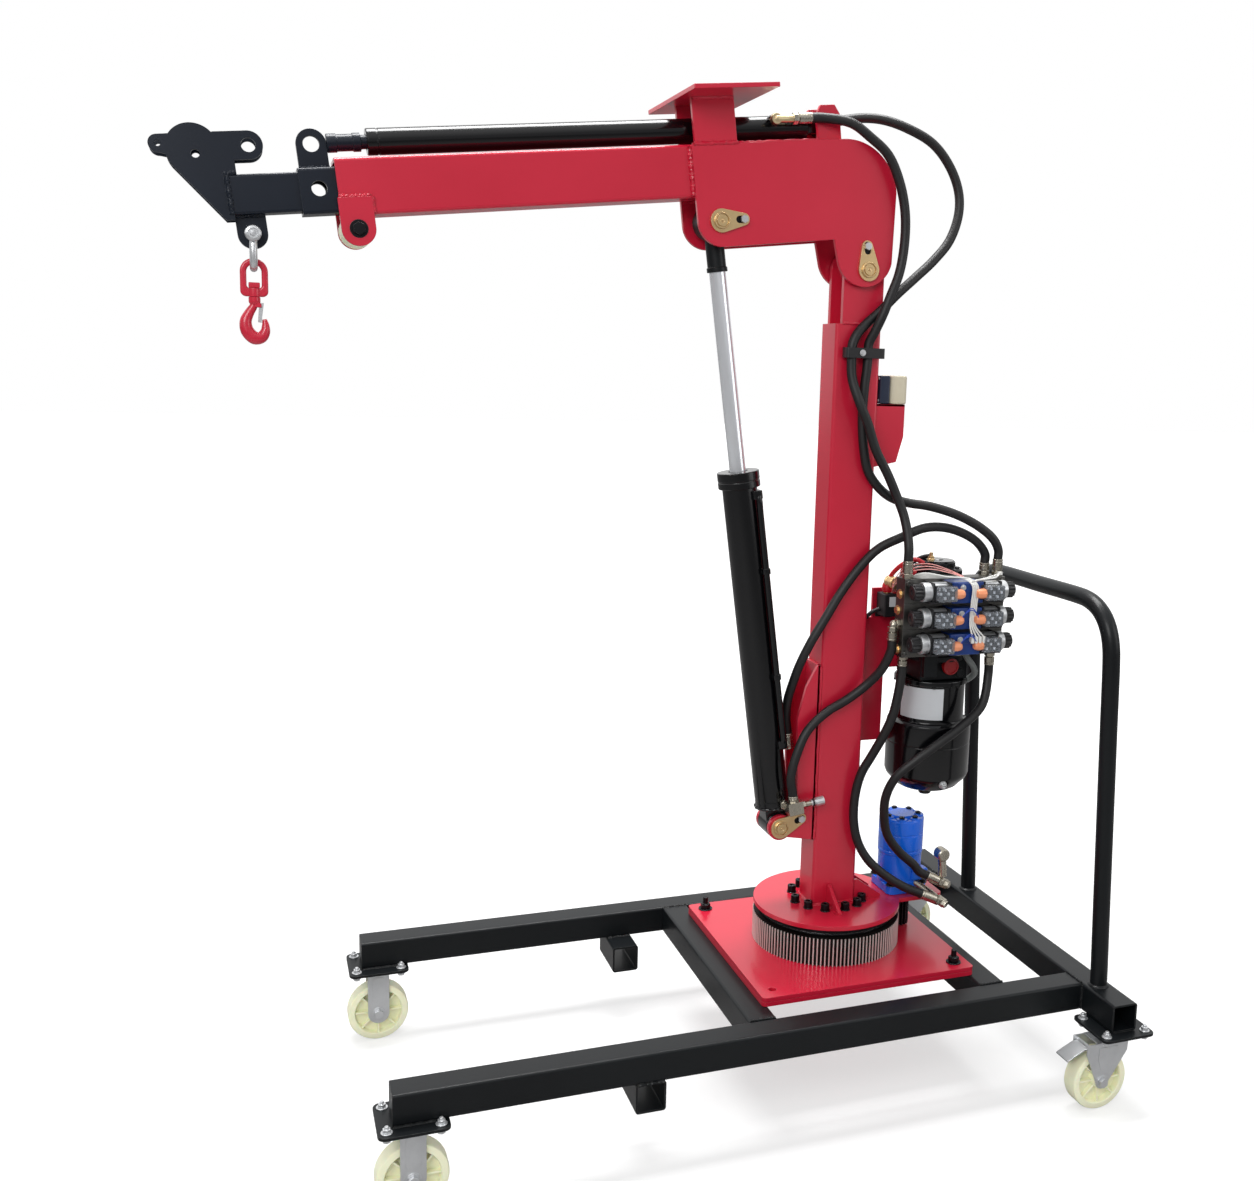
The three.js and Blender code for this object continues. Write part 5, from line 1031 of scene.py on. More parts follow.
disc = soften(rod(TABLE_R, (0, 0, TABLE_LOW), (0, 0, TABLE_TOP), 96), 0.9)
arm = soften(plate(rounded(-266, -100, -66, 58, 14), "Z", TABLE_LOW, TABLE_TOP - 0.05), 0.9)
gussets = []
MAST_X, MAST_Y = 52, 38
RUN, RISE = 66, 46
for sign in (1, -1):
    start = sign * (MAST_Y + 0.3)
    gussets.append(plate(
        [(start, TABLE_TOP - 0.5), (start + sign * RUN, TABLE_TOP - 0.5), (start + sign * RUN, TABLE_TOP + 5),
         (start + sign * 8, TABLE_TOP + RISE), (start, TABLE_TOP + RISE)],
        "X", 10, 18,
    ))
    start = -MAST_X - 0.3
    gussets.append(plate(
        [(start, TABLE_TOP - 0.5), (start, TABLE_TOP + RISE), (start - 8, TABLE_TOP + RISE),
         (start - RUN, TABLE_TOP + 5), (start - RUN, TABLE_TOP - 0.5)],
        "Y", sign * 30 - 4, sign * 30 + 4,
    ))
gussets = [soften(piece, 0.8) for piece in gussets]
foot = MAST_X + 0.5, MAST_Y + 0.5
foot_line = [
    (x, y, TABLE_TOP + 1) for x, y in rounded(-foot[0], foot[0], -foot[1], foot[1], 8, 3)
]
foot_seam = bead([*foot_line, foot_line[0]], 3.4)
gusset_seams = [
    bead([(14 + dx, sign * (MAST_Y + step), TABLE_TOP + 0.5) for step in (2, 34, 64)], 2.4)
    for sign in (1, -1) for dx in (-5, 5)
]
table = join(disc, arm, *gussets, foot_seam, *gusset_seams)
settle(table, "turntable_disc", "tower", red_paint, ["turntable"])

BOLT_CIRCLE = 80
BOLT_ANGLES = (6, 36, 64, 97, 124, 146, 180, 214, 236, 263, 296, 324)
WASHER_TOP = TABLE_TOP + 1.6
spots = [polar(BOLT_CIRCLE, degrees) for degrees in BOLT_ANGLES]
bolts = copied(socket_head(9.5, 15), [at(x, y, WASHER_TOP) for x, y in spots])
washers = [rod(11, (x, y, TABLE_TOP), (x, y, WASHER_TOP), 24) for x, y in spots]
settle(join(*bolts, *washers), "turntable_bolts", "tower", dark_steel)

corners = [(PLATE_HOLE, -PLATE_HOLE), (-PLATE_HOLE, PLATE_HOLE), (-PLATE_HOLE, -PLATE_HOLE)]
plate_bolts = copied(hex_head(12, 11, 16, 2.4), [at(x, y, UPPER_TOP) for x, y in corners])
settle(join(*plate_bolts), "turret_plate_bolts", "chassis", dark_steel)
print("turntable bolts:", len(BOLT_ANGLES), "plate bolts:", len(corners))

# %% [markdown]
# The mast is a rectangular tube with two rounded lugs welded on for the boom's pivot. Behind it
# a small shelf of bent sheet carries the control box, and on its left side a two-piece clamp
# holds the two hoses of the boom.

# %% Mast
MAST_TOP, TABLE_GAP = 1611, 0.3
LUG_R = 45.5
column = soften(
    plate(rounded(-MAST_X, MAST_X, -MAST_Y, MAST_Y, 7), "Z", TABLE_TOP + TABLE_GAP, MAST_TOP), 1.0,
)
lug_line = [
    (PIVOT.x - LUG_R, MAST_TOP - 2), (PIVOT.x + LUG_R, MAST_TOP - 2),
    *arc(PIVOT.x, PIVOT.z, LUG_R, 0, 180, 32),
]
lugs = pair(lug_line, 26, MAST_Y)
sleeve = turned([(18, -43), (26, -43), (27, -42), (27, 42), (26, 43), (18, 43)], "Y", (PIVOT.x, 0, PIVOT.z))
lug_seams = side_beads([(PIVOT.x + x, MAST_Y - 1, MAST_TOP + 1) for x in (-44, 0, 44)], 3.2)
SHELF_FRONT, SHELF_BACK, SHELF_TOP = -51, -120, 1448
SHELF_HALF, SHELF_SHEET = 30, 5
shelf_line = [
    (SHELF_FRONT, 1314), (-105, 1325), (SHELF_BACK, 1380), (SHELF_BACK, SHELF_TOP),
    (SHELF_FRONT, SHELF_TOP),
]
shelf_top = slab((SHELF_BACK, -SHELF_HALF, SHELF_TOP - SHELF_SHEET), (SHELF_FRONT, SHELF_HALF, SHELF_TOP))
shelf_back = slab((SHELF_BACK, -26, 1382), (SHELF_BACK + 4, 26, 1444))
shelf = pair(shelf_line, SHELF_HALF - SHELF_SHEET, SHELF_HALF, 0.7)
shelf += [soften(shelf_top, 0.7), soften(shelf_back, 0.7)]
seam_y = MAST_Y + 2
foot_line = [
    (MAST_X, -MAST_Y), (MAST_X, 0), (MAST_X, seam_y), (0, seam_y), (-MAST_X, seam_y), (-MAST_X, 0),
    (-MAST_X, -seam_y), (0, -seam_y), (MAST_X, -MAST_Y),
]
foot_seam = bead([(x, y, TABLE_TOP + 1.2) for x, y in foot_line], 3)
mast = join(column, *lugs, sleeve, *lug_seams, *shelf, foot_seam)
settle(mast, "mast_tube", "tower", red_paint, ["mast_column"])

# %% [markdown]
# A small cream box sits on the shelf at the back of the mast. Higher up, a clamp with one bolt
# holds the two boom hoses.

# %% Control box and hose clamp
BOX_LOW, BOX_HIGH = SHELF_TOP + 0.3, SHELF_TOP + 60.3
base = soften(plate(rounded(-126, -84, -33, 33, 15), "Z", BOX_LOW, BOX_HIGH), 4.0, 4)
lid = soften(plate(rounded(-83, -58, -32, 32, 5), "Z", BOX_LOW + 1, BOX_HIGH - 1), 1.6, 3)
settle(base, "control_box_base", "tower", cream_housing, ["control_box"])
settle(lid, "control_box_lid", "tower", dark_housing)
screws = copied(
    hex_head(3, 1.6), [at(-58, y, z, "X") for y in (-26, 26) for z in (BOX_LOW + 7, BOX_HIGH - 7)],
)
settle(join(*screws), "control_box_screws", "tower", zinc)

CLAMP_LOW, CLAMP_HIGH = 1542, 1563
CLAMP_NEAR, SPLIT_Y, PAST = 66.3, 52, 5
clamp_line = rounded(-50, 38, MAST_Y + 0.3, CLAMP_NEAR, 6)
clamp = plate(clamp_line, "Z", CLAMP_LOW, CLAMP_HIGH)
tools = [rod(11.4, (x, SPLIT_Y, CLAMP_LOW - PAST), (x, SPLIT_Y, CLAMP_HIGH + PAST)) for x in (21, -16)]
tools.append(slab((-60, SPLIT_Y - 0.4, CLAMP_LOW - PAST), (50, SPLIT_Y + 0.4, CLAMP_HIGH + PAST)))
clamp = soften(cut(clamp, *tools), 0.8)
settle(clamp, "hose_clamp_block", "tower", black_plastic, ["hose_clamp"])
screw = put(hex_head(5, 4, 0, 1.4), 2.5, CLAMP_NEAR, (CLAMP_LOW + CLAMP_HIGH) / 2, "Y")
settle(screw, "hose_clamp_screw", "tower", zinc)

# %% [markdown]
# Every big pin is kept from turning by a teardrop plate: a large lobe welded to the pin and a
# small lobe under a bolt. Its outline is two arcs joined by their common tangents, which one
# function works out for all three pins.

# %% Keeper plates


def keeper_line(x, z, bolt_x, bolt_z, big=23, small=12):
    """The outline of a keeper plate: two arcs and the tangents between them."""
    away = math.degrees(math.atan2(bolt_z - z, bolt_x - x))
    apart = math.hypot(bolt_x - x, bolt_z - z)
    lean = math.degrees(math.acos((big - small) / apart))
    return [
        *arc(x, z, big, away + lean, away + 360 - lean, 28),
        *arc(bolt_x, bolt_z, small, away - lean, away + lean, 14),
    ]


def slot_line(x, z, bolt_x, bolt_z, half=9.5, radius=6.8):
    """The outline of the long hole under the bolt, in line with the pin."""
    away = math.atan2(bolt_z - z, bolt_x - x)
    turn = math.degrees(away)
    ahead = (bolt_x + half * 0.25 * math.cos(away), bolt_z + half * 0.25 * math.sin(away))
    near_end = (bolt_x - half * math.cos(away), bolt_z - half * math.sin(away))
    return [
        *arc(*near_end, radius, turn + 90, turn + 270, 10), *arc(*ahead, radius, turn - 90, turn + 90, 10),
    ]


KEEPER = 5
# Each keeper's slot gets a thin dark sheet just above the cheek: painted shade, so that the slot reads dark.
slot_shade_sheets = []


def keeper(x, z, bolt_x, bolt_z, near):
    """A keeper plate with the grooved end of its pin and the greasing bore."""
    flat = plate(keeper_line(x, z, bolt_x, bolt_z), "Y", near, near + KEEPER)
    slot = slot_line(x, z, bolt_x, bolt_z)
    flat = soften(cut(flat, plate(slot, "Y", near - 1, near + KEEPER + 2)), 0.6)
    # This dark sheet in the slot is painted shade, not a part of the keeper.
    slot_shade_sheets.append(soften(plate(slot, "Y", near + 0.2, near + 1.6), 0.3, 1))
    boss = turned([
        (0, 5), (0, 10), (1.5, 9.8), (2.2, 8.3), (4.4, 8.1), (5, 8.8), (11, 8.8), (11.2, 5.6), (13.4, 5.6),
        (13.6, 8.8), (15.2, 8.8), (16, 8), (16, 5),
    ], "Y", (x, near, z))
    return join(flat, boss)


def far_disc(x, z, near, radius):
    """The plain head of the pin on the far side."""
    return turned([(0, -5), (radius - 1, -5), (radius, -4), (radius, 0), (0, 0)], "Y", (x, -near, z))


# %% [markdown]
# The lift cylinder's lower pin sits between two bracket plates. They are welded to a third plate
# on the front of the mast.

# %% Bracket and base pin of the lift cylinder
BASE_X, BASE_Z = lift_base.x, lift_base.z
BRACKET_IN, BRACKET_OUT = 28, 37
BRACKET_LOW, BRACKET_HIGH = 497, 889
BACK_NEAR, BACK_FAR = MAST_X + 0.3, MAST_X + 8.3
bracket_line = [
    (BACK_NEAR, BRACKET_LOW), (118, 509), *arc(BASE_X, BASE_Z, 28, -126, 135, 22), (96, 577),
    (103, 772), (85, 842), (BACK_FAR, BRACKET_HIGH), (BACK_NEAR, BRACKET_HIGH),
]
cheeks = pair(bracket_line, BRACKET_IN, BRACKET_OUT)
back = slab((BACK_NEAR, -BRACKET_OUT, BRACKET_LOW), (BACK_FAR, BRACKET_OUT, BRACKET_HIGH))
bracket = cut(join(soften(back, 0.9), *cheeks), rod(15.3, (BASE_X, -60, BASE_Z), (BASE_X, 60, BASE_Z)))
seams = side_beads([(MAST_X + 1, BRACKET_OUT + 0.5, z) for z in (500, 600, 700, 800, 886)], 2.6)
bracket = join(bracket, *seams)
settle(bracket, "cylinder_bracket_plates", "tower", red_paint, ["cylinder_bracket"])
pin_near = BRACKET_OUT + 0.3
bolt_x, bolt_z = BASE_X - 46, BASE_Z + 18
base_pin = join(
    rod(15, (BASE_X, -40, BASE_Z), (BASE_X, 42, BASE_Z)),
    keeper(BASE_X, BASE_Z, bolt_x, bolt_z, pin_near), far_disc(BASE_X, BASE_Z, pin_near, 23),
)
settle(base_pin, "lift_base_pin_keeper", "tower", yellow_zinc, ["lift_base_pin"])
keeper_bolt = put(hex_head(8.2, 6.2), bolt_x, pin_near + KEEPER, bolt_z, "Y")
settle(keeper_bolt, "lift_base_keeper_bolt", "tower", zinc)
# The dark sheet in the keeper's slot is painted shade.
settle(slot_shade_sheets.pop(), "lift_base_keeper_slot_shade", "tower", dark_steel)
print("mast, shelf, control box, clamp, bracket and base pin are on")

# %% [markdown]
# The boom is drawn straight, along its own X, and the frame matrix tilts it. Its outer tube is
# open in front, where the middle section slides out over a nylon roller.

# %% Outer tube with its roller
B_START, B_END, B_LOW, B_HIGH, B_HALF = 84, 1020, 162, 262, 43
ROLLER_X, ROLLER_Z = 994, 138
tube = soften(plate(rounded(-B_HALF, B_HALF, B_LOW, B_HIGH, 7), "X", B_START, B_END), 0.6)
hollow(tube, "X", (B_START, B_END), 6)
tube = cut(tube, slab((960, -35.5, B_LOW - 4), (B_END + 4, 35.5, B_LOW + 7)))
LUG_IN, LUG_OUT = 42, 51
lug_line = [(964, 193), *arc(ROLLER_X, ROLLER_Z, 30, 180, 360, 28), (1023.6, 193)]
parts = [tube, *pair(lug_line, LUG_IN, LUG_OUT)]
parts += side_beads([(964, 46, z) for z in (164, 178, 192)], 3.6)
parts += side_beads([(x, 46, 194.5) for x in (966, 980, 994, 1008, 1021)], 3.8)
settle(join(*parts), "boom_outer_tube", "boom", red_paint, ["boom_tube"], BOOM)
bolt = join(
    rod(8, (ROLLER_X, -LUG_OUT - 1, ROLLER_Z), (ROLLER_X, LUG_OUT + 1, ROLLER_Z), 24),
    put(hex_head(12, 7, 0, 1), ROLLER_X, LUG_OUT, ROLLER_Z, "Y"),
    put(hex_head(12, 7, 0, 1), ROLLER_X, -LUG_OUT, ROLLER_Z, "-Y"),
)
settle(bolt, "roller_bolt", "boom", dark_steel, (), BOOM)
wheel_line = [
    (8.7, -41), (14, -41), (14, -34.5), (27, -34), (29, -33), (30, -31), (30, 31), (29, 33), (27, 34),
    (14, 34.5), (14, 41), (8.7, 41),
]
roller = turned(wheel_line, "Y", (ROLLER_X, 0, ROLLER_Z), 64)
settle(roller, "support_roller", "roller", nylon, ["boom_roller"], BOOM)

# %% [markdown]
# Two cheek plates widen the heel of the boom. A rolled plate closes them at the back, and the
# pins of the mast and of the lift cylinder pass through them.

# %% Cheeks with the rolled back plate
CHEEK_IN, CHEEK_OUT = 43.3, 53.3
BACK_X, BACK_Z, BACK_R = 34, 150, 110
PIN_R, PIN_BORE = 17.5, 17.8
cheek_line = [
    (358, 260), *arc(BACK_X, BACK_Z, BACK_R, 90, 180, 28), *arc(4, 28, 62, 198, 352, 28), (70, 65),
    (308, 65), *arc(308, TOP_PIN_Z, 50, -84, 0, 12),
]
pin_spots = ((0, 0), (TOP_PIN_X, TOP_PIN_Z))
cheeks = []
for sign in (1, -1):
    cheek = plate(cheek_line, "Y", *sorted((sign * CHEEK_IN, sign * CHEEK_OUT)))
    bores = [rod(PIN_BORE, (x, -80, z), (x, 80, z)) for x, z in pin_spots]
    cheeks.append(soften(cut(cheek, *bores), 0.9))
outer = arc(BACK_X, BACK_Z, BACK_R - 0.15, 90, 195, 32)
inside = arc(BACK_X, BACK_Z, BACK_R - 6, 195, 90, 32)
wrap = plate([(83, 259.9), *outer, *inside, (83, 254)], "Y", -CHEEK_IN - 0.2, CHEEK_IN + 0.2)
lug_line = [(32, 259), (83, 259), (83, 311), (73, 329), (42, 329), (32, 311)]
RAM_PIN_X, RAM_Z = 57, 291.5
ram_pin = rod(10, (RAM_PIN_X, -36, RAM_Z), (RAM_PIN_X, 36, RAM_Z))
seams = side_beads([(x, B_HALF + 0.6, B_LOW - 0.5) for x in (110, 200, 280, 356)], 2.4)
seams += side_beads([(360, B_HALF + 2, z) for z in (166, 200, 230, 256)], 4.6)
seams += side_beads([(x, B_HALF + 6, 260.4) for x in (90, 200, 256, 310, 356)], 3.2)
cheek_set = join(*cheeks, wrap, *pair(lug_line, 25, 35), ram_pin, *seams)
settle(cheek_set, "boom_cheek_plates", "boom", red_paint, ["boom_cheeks"], BOOM)

pin_near = CHEEK_OUT + 0.3
bolt_spots = ((0, 47), (265, TOP_PIN_Z))
for name, (x, z), bolt_spot in zip(("boom_pivot_pin", "lift_top_pin"), pin_spots, bolt_spots):
    pin = join(
        rod(PIN_R, (x, -CHEEK_OUT - 0.7, z), (x, CHEEK_OUT + 0.7, z)), keeper(x, z, *bolt_spot, pin_near),
        far_disc(x, z, pin_near, 24),
    )
    settle(pin, name + "_keeper", "boom", yellow_zinc, [name], BOOM)

keeper_bolts = copied(hex_head(8.2, 6.2), [at(x, pin_near + KEEPER, z, "Y") for x, z in bolt_spots])
settle(join(*keeper_bolts), "boom_keeper_bolts", "boom", zinc, (), BOOM)
# The dark sheets in the keepers' slots are painted shade.
settle(join(*slot_shade_sheets), "boom_keeper_slot_shades", "boom", dark_steel, (), BOOM)

WINCH_BACK, WINCH_FRONT, WINCH_HALF, WINCH_LOW = 205, 376, 150, 346.5
POST_BACK, POST_FRONT, POST_LOW, POST_TOP = 264, 351, 260.3, WINCH_LOW + 1
winch_line = rounded(WINCH_BACK, WINCH_FRONT, -WINCH_HALF, WINCH_HALF, 2)
top = soften(plate(winch_line, "Z", WINCH_LOW, WINCH_LOW + 8.5), 0.8)
post_line = [(POST_BACK, POST_LOW), (POST_FRONT, POST_LOW), (POST_FRONT, POST_TOP), (POST_BACK, POST_TOP)]
uprights = pair(post_line, CHEEK_IN, CHEEK_OUT)
seams = side_beads([(x, CHEEK_OUT + 0.8, WINCH_LOW - 0.5) for x in (266, 300, 349)], 3.6)
seams += side_beads([(x, CHEEK_OUT - 0.5, POST_LOW + 0.7) for x in (262, 300, 353)], 3.8)
settle(join(top, *uprights, *seams), "winch_plate_top", "boom", red_paint, ["winch_plate"], BOOM)
print("boom tube, roller, cheeks, pins and winch plate are on")

# %% [markdown]
# The extension cylinder lies on top of the boom. Its gloss black barrel is turned, with a round
# cap at each end and two ports at the rear.

# %% Extension cylinder
PORT_X, PORT_Z = 176, 303
barrel = turned([
    (0, 97), (22.5, 97), (24, 98.5), (24, 118), (23.4, 118.6), (23.4, 120), (24, 120.6), (24, 935),
    (23.2, 935.8), (23.2, 938), (24, 938.8), (24, 955), (22.5, 957), (14.5, 957), (14.5, 953.5),
    (13, 953.5), (13, 940), (0, 940),
], "X", (0, 0, RAM_Z), 64)
eye = turned(
    [(10.3, -23), (19, -23), (20, -22), (20, 22), (19, 23), (10.3, 23)], "Y", (RAM_PIN_X, 0, RAM_Z),
)
neck = soften(slab((60, -16, RAM_Z - 14), (98, 16, RAM_Z + 14)), 2)
ports = []
for sign, facing in ((1, "Y"), (-1, "-Y")):
    ports.append(rod(11, (PORT_X, sign * 20, PORT_Z), (PORT_X, sign * 34, PORT_Z), 32))
    ports.append(put(hex_head(12.5, 9), PORT_X, sign * 32, PORT_Z, facing))
settle(join(barrel, eye, neck, *ports), "extension_barrel_tube", "boom", tank_paint,
       ["extension_barrel"], BOOM)
ROD_END = 1025.7
stem = turned([
    (0, 200), (12.5, 200), (12.5, 966), (16.5, 967.5), (16.5, 980), (15, 981), (15, 1008), (16.5, 1009),
    (16.5, ROD_END - 1), (15.5, ROD_END), (0, ROD_END),
], "X", (0, 0, RAM_Z))
settle(stem, "extension_rod_end", "middle_section", night_paint, ["extension_rod"], BOOM)

# %% [markdown]
# Two smaller tubes slide in the boom. The middle one carries a lug for the extension rod, the
# inner one two head plates and the lug for the hook gear. Both have a hole for the locking pin.

# %% Middle and inner sections
SECTION_WALL = 5
LUG_X, LUG_Z = 1052, 291


def lock_hole():
    """The tool for the hole of the locking pin, through both sections."""
    return rod(13.5, (1050, -60, 212), (1050, 60, 212))


def section_tube(outline, ends):
    """A straight tube of one section, open at both ends."""
    return hollow(soften(plate(outline, "X", *ends), 0.5), "X", ends, SECTION_WALL)


section = cut(section_tube(rounded(-31, 31, 168.5, 248.5, 6), (150, 1083)), lock_hole())
lug = plate([(1026, 247.5), (1078, 247.5), *arc(LUG_X, LUG_Z, 26, 0, 180, 28)], "Y", -7, 7)
lug = soften(cut(lug, rod(14, (LUG_X, -20, LUG_Z), (LUG_X, 20, LUG_Z))), 0.9)
section = join(section, lug, *side_beads([(x, 9, 249) for x in (1026, LUG_X, 1078)], 4))
settle(
    section, "middle_section_tube", "middle_section", night_paint, ["mid_boom"], BOOM,
)

HEAD_IN, HEAD_OUT = 17.5, 25.5
inner_tube = cut(section_tube(rounded(-25, 25, 174.5, 242.5, 5), (500, 1202)), lock_hole())
head_line = [
    (1196, 166), (1210, 166), (1284, 262), *arc(1248, 286.5, 43.5, -30, -8, 3), (1301, 283),
    *arc(1301, 298, 15, -80, 90, 14), (1290, 313), *arc(1248, 286.5, 43.5, 38, 142, 20), (1212, 314),
    (1157, 314), *arc(1157, 290, 24, 100, 260, 18), (1157, 266), (1183, 266), (1183, 242), (1196, 242),
]
holes = ((1244, 279, 7), (1301, 298, 5), (1157, 290, 12))
heads = []
for sign in (1, -1):
    head = plate(head_line, "Y", *sorted((sign * HEAD_IN, sign * HEAD_OUT)))
    heads.append(soften(cut(head, *[rod(r, (x, -60, z), (x, 60, z)) for x, z, r in holes]), 0.8))
lug_line = [(1145.5, 175), *arc(HOOK_PIN_X, HOOK_PIN_Z, 25.5, 180, 360, 24), (1196.5, 175)]
lug_hole = rod(7.2, (HOOK_PIN_X, -20, HOOK_PIN_Z), (HOOK_PIN_X, 20, HOOK_PIN_Z))
lug = soften(cut(plate(lug_line, "Y", -6, 6), lug_hole), 0.8)
seams = side_beads([(x, 7.5, 173.5) for x in (1147, HOOK_PIN_X, 1195)], 3.4)
seams += side_beads([(1200, 26, z) for z in (176, 195, 215, 240)], 4.2)
seams += side_beads([(x, 22, 245) for x in (1184, 1194, 1206)], 4.4)
inner = join(inner_tube, *heads, lug, *seams)
settle(inner, "inner_section_head", "inner_section", night_paint, ["inner_boom"], BOOM)
print("extension cylinder, middle and inner sections are on")

# %% [markdown]
# Two shapes serve every hydraulic part: the crimped end of a hose, and a bent pipe or wire.

# %% Hose ends


def along(start, end):
    """A place whose own Z runs from one point to another."""
    run = Vector(end) - Vector(start)
    return Matrix.Translation(start) @ run.to_track_quat("Z", "Y").to_matrix().to_4x4()


def hose_end(base, tip, nut=11.8, sleeve=11.2):
    """A crimped hose end: a hexagon nut at its base and a grooved sleeve towards the hose."""
    length = (Vector(tip) - Vector(base)).length
    nut_high = min(10, length * 0.34)
    crimp = turned([
        (0, nut_high), (8, nut_high), (8, nut_high + 1.5), (sleeve, nut_high + 2.5), (sleeve, length - 6),
        (sleeve - 0.7, length - 5.4), (sleeve - 0.7, length - 4), (sleeve, length - 3.4),
        (sleeve, length - 0.8), (sleeve - 0.8, length), (0, length),
    ], sides=32)
    piece = join(soften(rod(nut, (0, 0, 0.2), (0, 0, nut_high), 6), 0.8), crimp)
    piece.data.transform(along(base, tip))
    return piece


def elbow_pipe(points, radius):
    """A bent pipe or wire through a few points."""
    pipe, line = soft_tube("elbow", points, radius, Matrix(), 5, 8)
    return pipe


# %% [markdown]
# The lift cylinder leans, so it is drawn along its own Z from the base pin upwards. Its black
# barrel has a gland at its top, an oil pipe along its side, and a plated valve with a knob at its
# foot. The chromed rod reaches deep into the barrel, since the boom pulls it far out.

# %% Lift cylinder
barrel = turned([
    (0, 42), (35, 42), (36.5, 43.5), (36.5, 56), (35.8, 57), (35.8, 59), (36.5, 60), (36.5, 744),
    (42.8, 744), (44, 745.2), (44, 757), (43.2, 758), (43.2, 760), (44, 761), (44, 776.8), (42.8, 778),
    (21, 778), (20, 775), (17.5, 774.5), (17.5, 765), (0, 765),
], sides=64)
eye = turned([(15.3, -26), (26.8, -26), (28, -24.8), (28, 24.8), (26.8, 26), (15.3, 26)], "Y")
neck = soften(slab((-24, -22, 8), (24, 22, 43)), 3, 3)
side_pipe = elbow_pipe(
    [(-22, 20, 185), (-26, 31, 186), (-27, 36, 196), (-27, 36, 240), (-27, 36, 450), (-27, 36, 690),
     (-27, 36, 720), (-26, 31, 729), (-22, 20, 730)], 7,
)
bosses = [
    soften(plate(rounded(-36, -14, 14, 41, 6), "Z", z - 9, z + 9), 1.5) for z in (185, 728)
]
clips = [soften(plate(rounded(-35.5, -18, 24, 44.4, 6), "Z", z, z + 12), 1) for z in (330, 560)]
foot_seam = bead([(*polar(38, 30 * k), 43) for k in range(13)], 2.2)
barrel = join(barrel, eye, neck, side_pipe, *bosses, *clips, foot_seam)
settle(barrel, "lift_barrel_tube", "lift_cylinder", tank_paint, ["lift_barrel"], LIFT)

port = join(
    hose_end((-50, 5, 163), (-50, 5, 197)), rod(9, (-34, 5, 171), (-50, 5, 171), 32),
    put(hex_head(12, 8), -42, 5, 171, "-X"),
)
KNOB_Y, KNOB_Z = 62, 50
block = soften(slab((-44, 47, 36), (-10, 77, 64)), 1.5)
stem = turned([(0, 0), (7, 0), (7, 4), (5.5, 5), (5.5, 10), (7, 11), (7, 20), (6, 22), (0, 22)], "Z")
put(stem, -44, KNOB_Y, KNOB_Z, "-X")
lock_nut = put(hex_head(10, 6), -46, KNOB_Y, KNOB_Z, "-X")
feed = rod(9, (-14, 28, 52), (-14, 50, 52), 32)
feed_nut = put(hex_head(12, 7), -14, 38, 52, "Y")
flow_valve = join(block, stem, lock_nut, feed, feed_nut, port, hose_end((-27, 62, 63), (-27, 62, 76.2)))
settle(flow_valve, "lift_flow_valve", "lift_cylinder", nickel, ["lift_barrel"], LIFT)
grip_line = [polar(10 if k % 2 else 9.2, 15 * k, KNOB_Y, KNOB_Z) for k in range(24)]
knob = soften(plate(grip_line, "X", -96, -78), 0.4, 1)
cap = turned([(0, 0), (7.5, 0), (7.5, 11.5), (6.5, 12), (0, 12)], "X", (-78.2, KNOB_Y, KNOB_Z))
settle(join(knob, cap), "flow_knob_grip", "flow_valve", zinc, ["flow_knob"], LIFT)
band = turned([(7, -2), (8.6, -2), (8.6, 2), (7, 2)], "X", (-71.6, KNOB_Y, KNOB_Z))
settle(band, "flow_knob_band", "flow_valve", black_plastic, (), LIFT)

rod_bar = rod(17, (0, 0, 372), (0, 0, 1184), 64)
settle(rod_bar, "lift_rod_bar", "lift_piston", chrome, ["lift_rod"], LIFT)
collar = turned([
    (16, 1181.7), (20, 1181.7), (21, 1182.7), (21, 1190), (20, 1191.2), (19, 1191.6), (19, 1256),
    (0, 1256), (0, 1230), (16, 1230),
])
top_eye = turned([(26, -25), (33, -25), (34, -24), (34, 24), (33, 25), (26, 25)], "Y", (0, 0, LIFT_LENGTH))
settle(join(collar, top_eye), "lift_rod_eye", "lift_piston", black_paint, ["lift_rod"], LIFT)
print("lift cylinder is on")

# %% [markdown]
# Brass elbows turn the ports of the extension cylinder towards the back, where the hoses start.

# %% Fittings of the extension cylinder
for sign, word in ((1, "near"), (-1, "far")):
    turn_points = ((PORT_X, 43), (PORT_X, 47), (170, 47), (150, 45), (138, 45))
    bend = elbow_pipe([(x, sign * y, PORT_Z) for x, y in turn_points], 7.5)
    banjo = turned([(0, 34), (10.5, 34), (11, 36), (11, 50), (10, 52), (0, 52)], "Y", sides=32)
    banjo.data.transform(Matrix.Translation((PORT_X, 0, PORT_Z)) @ Matrix.Scale(sign, 4, (0, 1, 0)))
    face_outwards(banjo)
    settle(join(bend, banjo), f"ram_banjo_{word}", "boom", pale_brass, (), BOOM)
    end = hose_end((140, sign * 45, PORT_Z), (100, sign * 45, PORT_Z))
    settle(end, f"ram_hose_end_{word}", "boom", nickel, (), BOOM)
print("ram fittings are on")

# %% [markdown]
# The power unit is a cast block with an oil tank below it and an electric motor above it. The
# tank is pressed from sheet, so its profile has a rolled shoulder and a dished floor. All round
# bodies are spun from a profile, and their bolts are copies of one bolt.

# %% Power unit
UNIT_X, UNIT_Y = -225, 20
unit_line = [
    (40, 690), (40, 974), (-100, 974), (-100, 1040), (-185, 1040), (-185, 974), (-285, 974), (-285, 857),
    (-135, 857), (-135, 690),
]
unit_plate = soften(plate(unit_line, "Y", -46.3, -38.3), 0.9)
settle(unit_plate, "power_unit_sheet", "tower", red_paint, ["power_unit_plate"])

